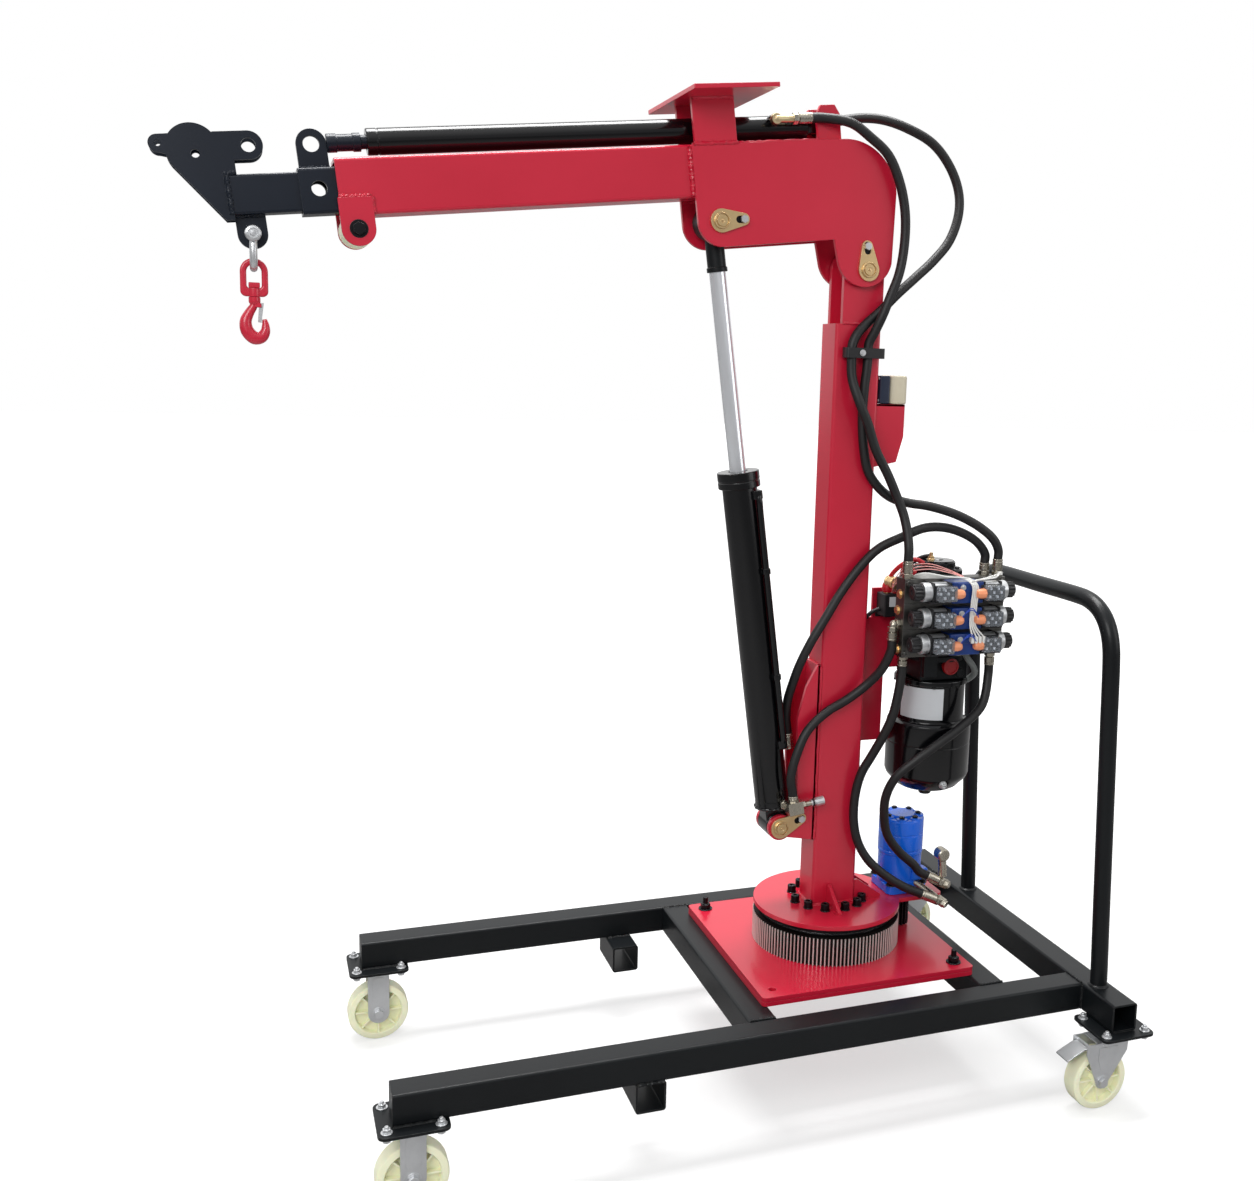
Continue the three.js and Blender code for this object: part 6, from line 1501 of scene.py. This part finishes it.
block = soften(slab((-283, -38, 850.3), (-167, 78, 905)), 3, 3)
UNIT = (UNIT_X, UNIT_Y, 0)
flange = turned([(60, 893), (72, 893), (73, 894), (73, 904), (72, 905.2), (60, 905.2)], "Z", UNIT, 64)
plug_places = [at(-262, 78, 866, "Y"), at(-188, 78, 890, "Y"), at(-283, 20, 878, "-X")]
plugs = copied(hex_head(9, 5, 0, 1.5), plug_places)
settle(join(block, flange, *plugs), "pump_block_cast", "tower", black_paint, ["pump_block"])
cap = turned([
    (0, 77), (16, 77), (16, 84), (19, 84.5), (19, 91), (18, 93), (14.5, 94), (13.5, 91.5), (0, 90.5),
], "Y", (-234, 0, 883))
settle(cap, "pump_filler_cap", "tower", cap_red)
breather = elbow_pipe([
    (-262, 98, 914), (-268, 101, 902), (-284, 99, 884), (-296, 88, 866), (-297, 73, 853), (-291, 66, 845),
], 7)
settle(breather, "pump_breather_hose", "tower", grey_hose)

tank = turned([
    (0, 575), (12, 575), (14, 577), (14, 594), (50, 595), (60, 597.5), (70, 603), (90, 624), (94, 634),
    (94, 700), (94.0, 701), (93.2, 702), (93.2, 704), (94, 705), (94, 744), (92, 750), (86, 753),
    (78, 755), (76, 760), (76, 838), (81, 839), (82, 840), (82, 848), (81, 849.5), (22, 849.5),
    (22, 846), (0, 846),
], "Z", UNIT, 96)
rim_spots = [polar(78, 45 * k + 22, UNIT_X, UNIT_Y) for k in range(8)]
tank_bolts = copied(hex_head(5, 4), [at(x, y, 839, "-Z") for x, y in rim_spots])
settle(join(tank, *tank_bolts), "oil_tank_shell", "tower", tank_paint, ["oil_tank"])
drain = turned([(0, 0), (9, 0), (9, 3), (6.5, 3.5), (6.5, 9), (5.5, 10), (3, 10), (3, 8), (0, 8)], "Z")
drain.data.transform(along((UNIT_X + 6, UNIT_Y + 89, 622), (UNIT_X + 9, UNIT_Y + 130, 606)))
settle(drain, "oil_tank_drain", "tower", zinc)


def curved_label(radius, from_angle, to_angle, low, high):
    """A thin sheet that lies on the round tank."""
    outline = arc(UNIT_X, UNIT_Y, radius + 0.5, from_angle, to_angle, 16)
    outline += arc(UNIT_X, UNIT_Y, radius - 0.5, to_angle, from_angle, 16)
    return plate(outline, "Z", low, high)


label = curved_label(76.2, 6, 84, 764, 834)
settle(label, "oil_tank_label", "tower", silver_label)

motor_body = turned([
    (0, 905.4), (55, 905.4), (56, 906.5), (56, 918), (54.6, 919), (54.6, 922), (56, 923), (56, 1070),
    (54.6, 1071), (54.6, 1074), (56, 1075), (56, 1090), (53, 1094), (40, 1095), (40, 1106), (37, 1110),
    (14, 1110.5), (12, 1112), (0, 1112),
], "Z", UNIT, 72)
lid_spots = [polar(46, 90 * k + 45, UNIT_X, UNIT_Y) for k in range(4)]
tie_bolts = copied(hex_head(5, 4), [at(x, y, 1094) for x, y in lid_spots])
settle(join(motor_body, *tie_bolts), "pump_motor_housing", "tower", tank_paint, ["pump_motor"])
stud = turned([
    (0, 1108), (9, 1108), (9, 1112), (7, 1113), (7, 1118), (4, 1118.5), (4, 1126), (0, 1126),
], "Z", (UNIT_X + 16, UNIT_Y, 0), 24)
settle(stud, "pump_motor_stud", "tower", yellow_zinc)

# %% [markdown]
# A relay with two studs switches the pump's motor. Red boots cover the studs, and thick cables
# leave them.

# %% Relay
relay = soften(slab((-168, -38, 981), (-109, 4, 1032)), 2.5, 3)
relay_foot = soften(slab((-170, -38, 976), (-107, -34, 984)), 1)
settle(join(relay, relay_foot), "relay_case", "tower", black_plastic, ["contactor"])
label = soften(slab((-158, 3.6, 1004), (-120, 5, 1026)), 0.4, 1)
settle(label, "relay_label", "tower", silver_label)
studs = [
    turned([(0, 1030), (8, 1030), (8, 1035), (5, 1036), (5, 1046), (0, 1046)], "Z", (x, y, 0), 24)
    for x, y in ((-154, -18), (-124, -18))
]
settle(join(*studs), "relay_studs", "tower", yellow_zinc)
boots = [
    turned([(0, 0), (10, 0), (12, 6), (11, 16), (7, 24), (0, 26)], "Z", (x, y, 1034), 32)
    for x, y in ((-124, -18), (-138, -4))
]
boot_arm = elbow_pipe(
    [(-124, -18, 1052), (-130, -8, 1076), (-146, 10, 1100), (-168, 26, 1112), (-184, 34, 1104)], 5,
)
big_boot = turned([(0, 0), (9, 0), (12, 5), (12, 14), (9, 24), (6, 34), (0, 34)], "Z")
big_boot.data.transform(along((-140, 16, 1094), (-176, 40, 1076)))
settle(join(*boots, boot_arm, big_boot), "relay_boots", "tower", red_rubber)
coil = turned([
    (0, -2), (12, -2), (14, 0), (14, 5), (12.5, 6), (12.5, 22), (14, 23), (14, 28), (12, 30), (5, 30),
    (5, 34), (0, 34),
], "Y", (-128, -16, 1058), 40)
settle(coil, "relay_coil", "tower", yellow_zinc)
cables = [
    elbow_pipe(
        [(-154, -18, 1046), (-160, -24, 1066), (-176, -20, 1092), (-196, 0, 1112), (-208, 16, 1118)], 5,
    ),
    elbow_pipe([(-110, -22, 996), (-90, -26, 986), (-74, -34, 960), (-70, -36, 920), (-74, -36, 870)], 4.5),
]
settle(join(*cables), "power_cables", "tower", black_plastic)

# %% [markdown]
# Three solenoid valves are stacked on an aluminium manifold. One valve is a blue cast body with
# a coil in a silver can at each end, a ribbed black nut that holds the can, and a small clear
# terminal box with an orange connector.

# %% Valve manifold
M_FAR, M_NEAR, M_BACK, M_FRONT, M_LOW, M_TOP = 78.3, 118, -340, -96, 915, 1085
SCREW_IN = 8
block = soften(slab((M_BACK, M_FAR, M_LOW), (M_FRONT, M_NEAR, M_TOP)), 1.5, 2)
foot = soften(slab((-200, M_FAR, 861), (-168, M_FAR + 12, M_LOW + 3)), 1)
for z in (976, 1032):
    block = cut(block, slab((M_BACK - 5, M_NEAR - 1.5, z - 1), (M_FRONT + 6, M_NEAR + 5, z + 1)))
screw_x, screw_z = (M_BACK + SCREW_IN, M_FRONT - SCREW_IN), (M_LOW + SCREW_IN + 1, M_TOP - SCREW_IN - 1)
screws = copied(socket_head(6, 5), [at(x, M_NEAR, z, "Y") for x in screw_x for z in screw_z])
settle(join(block, *screws), "valve_manifold_block", "tower", aluminium, ["valve_manifold"])
settle(foot, "valve_manifold_foot", "tower", black_paint, ["valve_manifold"])
ends = [
    hose_end((x, y, base), (x, y, tip)) for x, y, base, tip in (
        (-107, 106, M_TOP, 1122), (-326, 106, M_TOP, 1122), (-304, 88, M_TOP, 1112),
        (-109, 98, M_LOW, 893), (-325, 98, M_LOW, 885), (-82, 98, 980, 950),
    )
]
ends.append(elbow_pipe([(-97, 98, 985), (-90, 98, 985.5), (-84, 98, 985), (-82, 98, 978)], 8.5))
ends.append(put(hex_head(12, 7), M_FRONT, 98, 985, "X"))
settle(join(*ends), "valve_hose_ends", "tower", nickel)
plug_places = [at(M_FRONT, y, z, "X") for y, z in ((98, 1050), (98, 930), (90, 1014))]
plug_places += [at(M_BACK, 98, z, "-X") for z in (935, 1000, 1060)]
side_plugs = copied(hex_head(8, 4, 0, 1), plug_places)
settle(join(*side_plugs), "valve_manifold_plugs", "tower", yellow_zinc)

# %% [markdown]
# The three valves are alike, so one loop builds them, and a mirrored placement gives each its
# second coil and terminal box.

# %% Solenoid valves
VALVE_X, COIL_Y, BODY_HALF, BODY_HIGH = -224, 140, 37, 46
VALVE_FAR, VALVE_NEAR = M_NEAR + 0.3, 162.3
RAISED = 1.6


def ribbed_nut():
    """The black nut of a coil: a round cap with finger ribs."""
    ribs = [polar(17.6 if k % 4 in (1, 2) else 14.8, 7.5 * k) for k in range(48)]
    body = plate(ribs, "X", 2.6, 19.4)
    collar = turned([(0, 0), (17, 0), (17, 3), (0, 3)], "X")
    nose = turned([(0, 19), (14.2, 19), (13, 21.8), (6, 21.8), (6, 20), (0, 20)], "X")
    return join(soften(body, 0.6, 1), collar, nose)


def terminal_box():
    """The black foot and the clear lid of one coil's terminal box, from its inner end."""
    foot = soften(slab((0, -14, -16), (50, 1, 16)), 1.2)
    lid = soften(slab((5, 0.6, -16), (49, 20, 16)), 3.5, 3)
    return foot, lid


def coil_can():
    """The silver can of a coil, about its own axis, from the valve's middle."""
    return turned([
        (0, 40), (20, 40), (21, 41), (21, 85), (20.4, 85.6), (20.4, 87), (21, 87.6), (21, 99), (20, 100.6),
        (0, 101),
    ], "X", sides=64)


def coil_frame():
    """The black frame around a coil: a floor and two upright ends."""
    floor = soften(slab((42, -20, -23), (90, 22, -18.5)), 0.8)
    return [floor, *[soften(slab((x, -20, -23), (x + 3, 22, 22)), 0.8) for x in (40, 80)]]


def connector():
    """The orange connector at the inner end of a terminal box."""
    cap = turned([(0, 0), (7, 0), (9.4, 3), (11, 10), (11, 19), (9, 22), (0, 22)], "X", (-15, 9.6, -1), 8)
    return soften(cap, 1.4, 3, 15)


def terminals():
    """The small blocks and screws that show through the clear lid."""
    blocks = []
    for k in range(4):
        for row in range(3):
            low = (12 + 9 * k + row, 3, -11 + 9 * row)
            high = (18 + 9 * k + row, 12 - 2 * row, -5 + 9 * row)
            blocks.append(soften(slab(low, high), 0.6, 1))
    return blocks + [rod(2.6, (16 + 9 * k, 10, 9), (16 + 9 * k, 14, 9), 16) for k in range(3)]


for name, z in (("valve_top", 1060), ("valve_middle", 1004), ("valve_bottom", 948)):
    left, right = VALVE_X - BODY_HALF, VALVE_X + BODY_HALF
    half = BODY_HIGH / 2
    body = soften(slab((left, VALVE_FAR, z - half), (right, VALVE_NEAR, z + half)), 2.5, 3)
    low, high = (VALVE_X - 26, VALVE_NEAR - 3, z + 2), (VALVE_X + 26, VALVE_NEAR + RAISED, z + 20)
    collar_line = [(0, 0), (19, 0), (20, 1), (20, 4), (0, 4)]
    collars = [turned(collar_line, "X", (x, COIL_Y, z)) for x in (left - 4, right)]
    body = join(body, soften(slab(low, high), 1.2), *collars)
    settle(body, name + "_body", "tower", navy_paint, [name])
    screw_places = [at(VALVE_X + x, VALVE_NEAR + RAISED, z + 11, "Y") for x in (14, -14)]
    settle(join(*copied(hex_head(5, 3, 0, 1), screw_places)), name + "_screws", "tower", zinc)

    cans, nuts, feet, lids, caps, pins = [], [], [], [], [], []
    for sign in (-1, 1):
        half_turn = Matrix.Rotation(0 if sign > 0 else math.pi, 4, "Z")
        aside = Matrix.Translation((0, COIL_Y * sign, 0))
        coil_place = Matrix.Translation((VALVE_X, 0, z)) @ half_turn @ aside
        can, frame_parts, nut = coil_can(), coil_frame(), ribbed_nut()
        nut.data.transform(Matrix.Translation((101, 0, 0)))
        for piece in (can, *frame_parts, nut):
            piece.data.transform(coil_place)
        cans.append(can)
        feet += frame_parts
        nuts.append(nut)

        mirror = Matrix.Scale(sign, 4, (1, 0, 0))
        box_place = Matrix.Translation((VALVE_X + sign * 30, VALVE_NEAR, z)) @ mirror
        (foot, lid), cap, inside = terminal_box(), connector(), terminals()
        for piece in (foot, lid, cap, *inside):
            piece.data.transform(box_place)
            face_outwards(piece)
        lids.append(lid)
        caps.append(cap)
        pins += inside[::2]
        feet += [foot, *inside[1::2]]
    for parts, word, finish, slot in (
        (cans, "coils", zinc, "silver_block"), (nuts + feet, "nuts", black_plastic, None),
        (lids, "lids", clear_plastic, None), (caps, "connectors", orange_plastic, None),
        (pins, "terminals", zinc, "silver_block"),
    ):
        settle(join(*parts), f"{name}_{word}", "tower", finish)
print("valves: 3, coils: 6")

# %% [markdown]
# Thin signal wires come from the relay, run over the top valve and hang down in front of the
# stack to the white plugs of the boxes.

# %% Signal wires
WIRE_R, THIN_WIRE_R = 1.8, 1.0
FRONT_Y = VALVE_NEAR + 3
fall_x = VALVE_X - 6
white = []
for k in range(4):
    over, lane, spread = 3.4 * k, fall_x - 4.2 * k, fall_x - 2 - 9 * k
    white.append([
        (-128, 62, 1046), (-120, 92, 1080), (-142 + over, 124 + k, 1088 + over),
        (-180, 140 + 3 * k, 1090 + k), (lane + 12, 154 + k, 1088), (lane, FRONT_Y + 2, 1076),
        (lane, FRONT_Y + 2, 1034), (lane, FRONT_Y + 2, 990), (spread, FRONT_Y + 12, 966),
    ])
for k in range(2):
    white.append([
        (fall_x, FRONT_Y - 1, 1085), (-262, 158 - 4 * k, 1087), (-296, 150 - 6 * k, 1089 + 3 * k),
        (-316, 132, 1094),
    ])
wires = [elbow_pipe(points, WIRE_R) for points in white]
plugs = [
    soften(slab((fall_x - 5 - 9 * k, FRONT_Y + 9, 953), (fall_x + 1 - 9 * k, FRONT_Y + 15, 968)), 0.8, 1)
    for k in range(4)
]
plugs += [soften(slab((-322, 128, 1091), (-312, 136, 1098)), 0.8, 1)]
settle(join(*wires, *plugs), "signal_wires_white", "tower", white_wire)
pink = []
for k in range(3):
    pink.append([
        (-126 - 5 * k, 2, 1036), (-108, 50 - 6 * k, 1062), (-112, 98 - 4 * k, 1096 + 5 * k),
        (-150, 122 - 6 * k, 1106 + 5 * k), (-192, 138 - 4 * k, 1099 + 3 * k),
        (fall_x + 10, 150 - 2 * k, 1090 + k),
    ])
blue = []
for z in (1004, 948):
    for k in range(2):
        blue.append([
            (VALVE_X + 22, FRONT_Y + 8, z - 2), (VALVE_X + 14 - 4 * k, FRONT_Y + 16, z + 16 + 5 * k),
            (VALVE_X, FRONT_Y + 18, z + 22 + 4 * k), (VALVE_X - 14, FRONT_Y + 15, z + 12),
            (VALVE_X - 24, FRONT_Y + 10, z - 2),
        ])
for lines, word, finish in ((pink, "pink", pink_wire), (blue, "blue", blue_wire)):
    thin = join(*[elbow_pipe(points, THIN_WIRE_R) for points in lines])
    settle(thin, "signal_wires_" + word, "tower", finish)
print("signal wires:", len(wires) + len(pink) + len(blue))

# %% [markdown]
# The slewing motor is a stack of castings: a square flange, a gear housing with lobes, and a lid.
# Two elbows leave it to the left, where the last two hoses end.

# %% Slewing motor
MOTOR_X, MOTOR_Y = -186.0, -9.75
MOTOR = (MOTOR_X, MOTOR_Y, 0)
FLANGE_HALF, FLANGE_TOP = 50, 365.3
flange_line = rounded(
    MOTOR_X - FLANGE_HALF, MOTOR_X + FLANGE_HALF, MOTOR_Y - FLANGE_HALF, MOTOR_Y + FLANGE_HALF, 16,
)
flange = soften(plate(flange_line, "Z", 345.4, FLANGE_TOP), 1.5, 3)
housing = turned([
    (0, 364), (51, 364), (51, 372), (49.5, 374), (49.5, 432), (51, 434), (51, 440), (49.8, 441),
    (49.8, 444), (51, 445), (51, 478), (49.8, 479), (49.8, 482), (51, 483), (51, 512), (48, 516),
    (0, 516),
], "Z", MOTOR, 72)
lobe_spots = [polar(38, 360 / 7 * k + 12, MOTOR_X, MOTOR_Y) for k in range(7)]
lobe_line = [(0, 440), (12, 440), (13, 442), (13, 516), (12, 518.5), (0, 519)]
lobes = [turned(lobe_line, "Z", (x, y, 0), 32) for x, y in lobe_spots]
lid = turned([(0, 515), (30, 515), (30, 519), (28, 521), (0, 521)], "Z", MOTOR, 48)
PORTS = {
    "upper": ((-206, 20, 388), (-250, 86, 381), (-208, 82, 403)),
    "lower": ((-200, 24, 372), (-240, 98, 343), (-188, 95, 367)),
}
boss = soften(slab((-232, 18, 376), (-192, 44, 402)), 3, 3)
motor = join(flange, housing, *lobes, lid, boss)
settle(motor, "slew_motor_housing", "tower", blue_paint, ["slew_motor"])
lid_bolts = copied(hex_head(6.5, 4, 1.2, 0), [at(x, y, 519) for x, y in lobe_spots])
foot_bolts = copied(
    hex_head(9, 7, 0, 1.6), [at(MOTOR_X + x, MOTOR_Y + y, FLANGE_TOP) for x in (-39, 39) for y in (-39, 39)],
)
settle(join(*lid_bolts, *foot_bolts), "slew_motor_bolts", "tower", dark_steel)
fittings = []
for word, (root, port, tip) in PORTS.items():
    root, port, tip = Vector(root), Vector(port), Vector(tip)
    fittings.append(elbow_pipe([root, root.lerp(port, 0.5), root.lerp(port, 0.9)], 8.5))
    bolt = turned([(0, -13), (10, -13), (11, -11), (11, 9), (9, 9), (9, 14), (0, 14)], sides=6)
    bolt.data.transform(along(port, port * 2 - root))
    fittings += [soften(bolt, 0.8), hose_end(port.lerp(tip, 0.12), tip)]
plug_base, plug_tip = (-247, 85, 398), (-242, 84, 452)
fittings.append(elbow_pipe([plug_base, (-245, 85, 420), plug_tip], 9.5))
plug_cap = turned([(0, -14), (11, -14), (14.5, -11), (14.5, 11), (12, 14), (0, 14)], "Y", (-242, 84, 450), 32)
fittings.append(plug_cap)
settle(join(*fittings), "slew_motor_fittings", "tower", nickel)
print("slewing motor is on")

# %% [markdown]
# The hook gear hangs plumb from the lug of the inner section. Forged parts have no sharp edge
# anywhere, so the link and the hook get wide, many-step bevels or a swelling round section.

# %% Shackle and swivel link
bow_half = [(17.5, -8), (20, -22), (20, -38), (15.5, -53)]
bow_line = [(0, y, z) for y, z in bow_half] + [(0, 0, -58.6)] + [(0, -y, z) for y, z in reversed(bow_half)]
bow = elbow_pipe(bow_line, 6.6)
eye_line = [(6.6, 12.2), (12, 12.2), (13, 13.5), (13, 22.5), (12, 24), (6.6, 24)]
eyes = [turned(eye_line, "Y"), turned([(r, -y) for r, y in reversed(eye_line)], "Y")]
pin = turned([
    (0, -29), (5.5, -29), (6.5, -28), (6.5, 24), (11, 24), (14, 26), (14, 30), (12.5, 33), (9, 34.5),
    (8, 33), (5.5, 33), (4.5, 34.5), (0, 35),
], "Y")
settle(join(bow, *eyes, pin), "shackle_bow", "shackle_ring", zinc, ["shackle"], HANG)

LINK_TOP, LINK_LOW, LINK_FLOOR, LINK_HALF = -41.1, -108.1, -93.1, 23.5
arc_z = LINK_TOP - LINK_HALF
link_line = [
    *arc(13.5, LINK_LOW + 10, 10, -90, 0, 6), *arc(0, arc_z, LINK_HALF, 0, 180, 24),
    *arc(-13.5, LINK_LOW + 10, 10, 180, 270, 6),
]
window_line = [
    *arc(7.5, LINK_FLOOR + 5, 5, -90, 0, 6), *arc(0, arc_z, LINK_HALF - 11, 0, 180, 24),
    *arc(-7.5, LINK_FLOOR + 5, 5, 180, 270, 6),
]
link = soften(cut(plate(link_line, "Y", -5.5, 5.5), plate(window_line, "Y", -20, 20)), 4, 4, 50)
floor_boss = turned([
    (6.4, LINK_LOW), (9.4, LINK_LOW), (10, LINK_LOW + 1), (10, LINK_FLOOR - 1), (9.4, LINK_FLOOR),
    (6.4, LINK_FLOOR),
])
link = join(link, floor_boss)
settle(link, "swivel_link_forging", "link_ring", red_paint, ["swivel_link"], HANG)

# %% [markdown]
# The hook is a tube that swells in its bend and thins out towards the tip. Two ears hold a sprung
# latch of folded sheet, with room to swing inwards.

# %% Hook and latch
HOOK_TOP, DROP, REACH = -108.4, 77, 18
hook_shares = [
    (0, 0.06), (0.1, 0.2), (0.5, 0.36), (0.86, 0.56), (0.72, 0.78), (0.08, 0.93), (-0.55, 0.91),
    (-0.93, 0.78), (-0.97, 0.63), (-0.88, 0.5),
]
width_shares = [0.9, 0.95, 1.15, 1.45, 1.65, 1.7, 1.5, 1.2, 0.9, 0.55]
bend = [(x * REACH, 0, HOOK_TOP - z * DROP) for x, z in hook_shares]
body, line = soft_tube("hook", bend, 7, Matrix(), 8, 8, width_shares)
shank = turned([
    (0, HOOK_TOP - 14), (7, HOOK_TOP - 14), (9.5, HOOK_TOP - 10), (10, HOOK_TOP - 8), (10, HOOK_TOP - 1),
    (9, HOOK_TOP - 0.1), (6, HOOK_TOP), (6, LINK_FLOOR + 1), (0, LINK_FLOOR + 1),
])
nut = soften(slab((-9.5, -7, LINK_FLOOR + 0.3), (9.5, 7, LINK_FLOOR + 10)), 1.5)
ear_z = HOOK_TOP - DROP * 0.17
ear_line = [(-11.2, ear_z - 5), (0, ear_z - 5), (0, ear_z + 5), (-7, ear_z + 5), (-11.2, ear_z + 1)]
ears = pair(ear_line, 5.4, 7.4, 0.5, 1)
settle(join(body, shank, nut, *ears), "hook_forging", "hook_body", red_paint, ["hook"], HANG)
latch_shares = [(-0.85, 0.13), (-0.6, 0.58), (-0.28, 0.57), (-0.42, 0.13)]
latch_line = [(x * REACH, HOOK_TOP - z * DROP) for x, z in latch_shares]
latch = plate(latch_line, "Y", -5, 5)
groove = plate([(x + 1.2, z + 0.1) for x, z in latch_line], "Y", -3.6, 3.6)
latch = soften(cut(latch, groove), 0.4, 1)
settle(latch, "hook_latch_sheet", "latch_body", zinc, ["hook_latch"], HANG)
print("hook gear is on")

# %% [markdown]
# Some solids of the frame are already right, down to each gear tooth. They stay, and only get a
# better finish in their material slot.

# %% Finishes of the kept solids
gear = Paint("toothed_ring_steel", Metallic=0.5)
ring_low, ring_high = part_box("ring_gear")
ring_axis = (ring_low + ring_high) / 2 * Vector((1, 1, 0))
tip_radius, tooth_depth = (ring_high - ring_low).x / 2, 5.4 * MM
values = {0: gear.stretched((1, 1, 0)), 1: ring_axis}
out_from_axis = gear.node("ShaderNodeVectorMath", {"operation": "DISTANCE"}, values)["Value"]
tip = ((out_from_axis - (tip_radius - tooth_depth)) / tooth_depth).clipped()
lines = gear.noise(260.0, 3.0, 0.6, gear.stretched((1, 1, 0.06)))
# Painted shade: the teeth go near black, with a faint mottle, towards their roots and the ring's inner part,
# and only the tips keep the machined steel.
painted_root_shade = gear.between(gear.noise(12.0, 4.0), tone(15, 13, 12), tone(32, 28, 26))
machined = gear.between(lines, tone(232, 230, 226), tone(188, 184, 178))
gear_steel = gear.set(
    Base_Color=gear.between(tip * 3 - 1.6, painted_root_shade, machined), Roughness=0.5 - tip * 0.16,
    Normal=gear.bump(lines, 0.08, 0.0003),
)
kept = {"ring_gear": gear_steel, "slew_pinion": dark_steel}
for name, finish in kept.items():
    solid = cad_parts[name]
    solid.data.materials.clear()
    solid.data.materials.append(finish)
print("kept solids:", len(kept))

# %% [markdown]
# The studio is plain. To the camera, the floor and the surround are white. To reflections, the
# surround is white behind the crane and above it, and dimmer on the camera's side, as in a room
# with one bright wall, so that glossy paint keeps its depth. The floor still takes the shadow.

# %% Floor and surround


def grey(level):
    """A grey of that brightness, as the shader wants it."""
    return (level, level, level, 1)


bpy.ops.object.select_all(action="DESELECT")
bpy.ops.mesh.primitive_plane_add(size=60, location=(0, 0, -0.0005))
floor = bpy.context.object
floor.name = "studio_floor"
FLOOR_GREY, FAR_GREY, FLOOR_GLOW = 0.42, 0.45, 0.58
GLOW_FROM, GLOW_OVER = 1.3, 2.2
floor_paint = Paint("studio_floor", Roughness=0.7, Specular_IOR_Level=0.1, Emission_Strength=1.0)
path = floor_paint.node("ShaderNodeLightPath")
shown = (path["Is Camera Ray"] + path["Is Transmission Ray"]).clipped()
away = floor_paint.node("ShaderNodeVectorMath", {"operation": "LENGTH"}, {0: floor_paint.place})["Value"]
far_off = ((away - GLOW_FROM) / GLOW_OVER).clipped()
glow = floor_paint.between(far_off, grey(FLOOR_GLOW), grey(1))
grain = floor_paint.between(floor_paint.noise(3.0), grey(FLOOR_GREY), grey(FAR_GREY))
grain = floor_paint.between(path["Is Glossy Ray"] * 0.4, grain, (0.06, 0.05, 0.05, 1))
glow = floor_paint.between(shown, grey(0), glow)
floor.data.materials.append(floor_paint.set(Base_Color=grain, Emission_Color=glow))
floor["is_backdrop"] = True


class Surround(Paint):
    """The world's own nodes, with the direction of each ray at hand."""

    def __init__(self, name):
        self.material = bpy.data.worlds.new(name)
        self.material.use_nodes = True
        self.tree = self.material.node_tree
        self.shader = self.tree.nodes["Background"]
        self.place = self.node("ShaderNodeTexCoord")["Generated"]


sky = Surround("studio")
heading = sky.node("ShaderNodeSeparateXYZ", {}, {"Vector": sky.place})
behind = (heading["Y"] * -1.6 - 0.1).clipped() * (heading["Z"] * 8 + 0.4).clipped()
above = (heading["Z"] * 2.0 - 0.5).clipped()
room = sky.between((behind + above).clipped(), (0.4, 0.4, 0.41, 1), grey(1))
path = sky.node("ShaderNodeLightPath")
lit = sky.between(path["Is Glossy Ray"], grey(0.52), room)
seen = (path["Is Camera Ray"] + path["Is Transmission Ray"]).clipped()
scene.world = sky.set(Color=sky.between(seen, lit, grey(1)))
print("floor and surround are on")

# %% [markdown]
# One large soft lamp stands on the camera's side, a weaker one beyond the push handle, and a long
# one hangs above, which makes the tops of the plates the brightest faces, as in the photograph.

# %% Lamps


def lamp(name, place, aim, size, power):
    """A soft rectangular lamp that points at a place."""
    light = bpy.data.lights.new(name, "AREA")
    light.shape = "RECTANGLE"
    light.size, light.size_y = size
    light.energy = power
    lamp_object = bpy.data.objects.new(name, light)
    scene.collection.objects.link(lamp_object)
    lamp_object.location = place
    direction = Vector(aim) - Vector(place)
    lamp_object.rotation_euler = direction.to_track_quat("-Z", "Y").to_euler()
    return lamp_object


lamp("key_lamp", (2.6, 3.6, 3.4), (0, 0, 1.0), (2.6, 2.0), 105)
lamp("fill_lamp", (-3.4, 2.6, 2.2), (0, 0, 1.0), (2.2, 2.2), 26)
lamp("top_lamp", (0.0, -0.6, 4.6), (0, 0, 0.8), (3.6, 1.4), 255)
print("lamps:", 3)

# %% [markdown]
# The last cell closes the notebook: it prints the box of the dressed crane.

# %% Sizes and finish
low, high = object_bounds()
print("dressed box", [round(v, 3) for v in (*low, *high)])
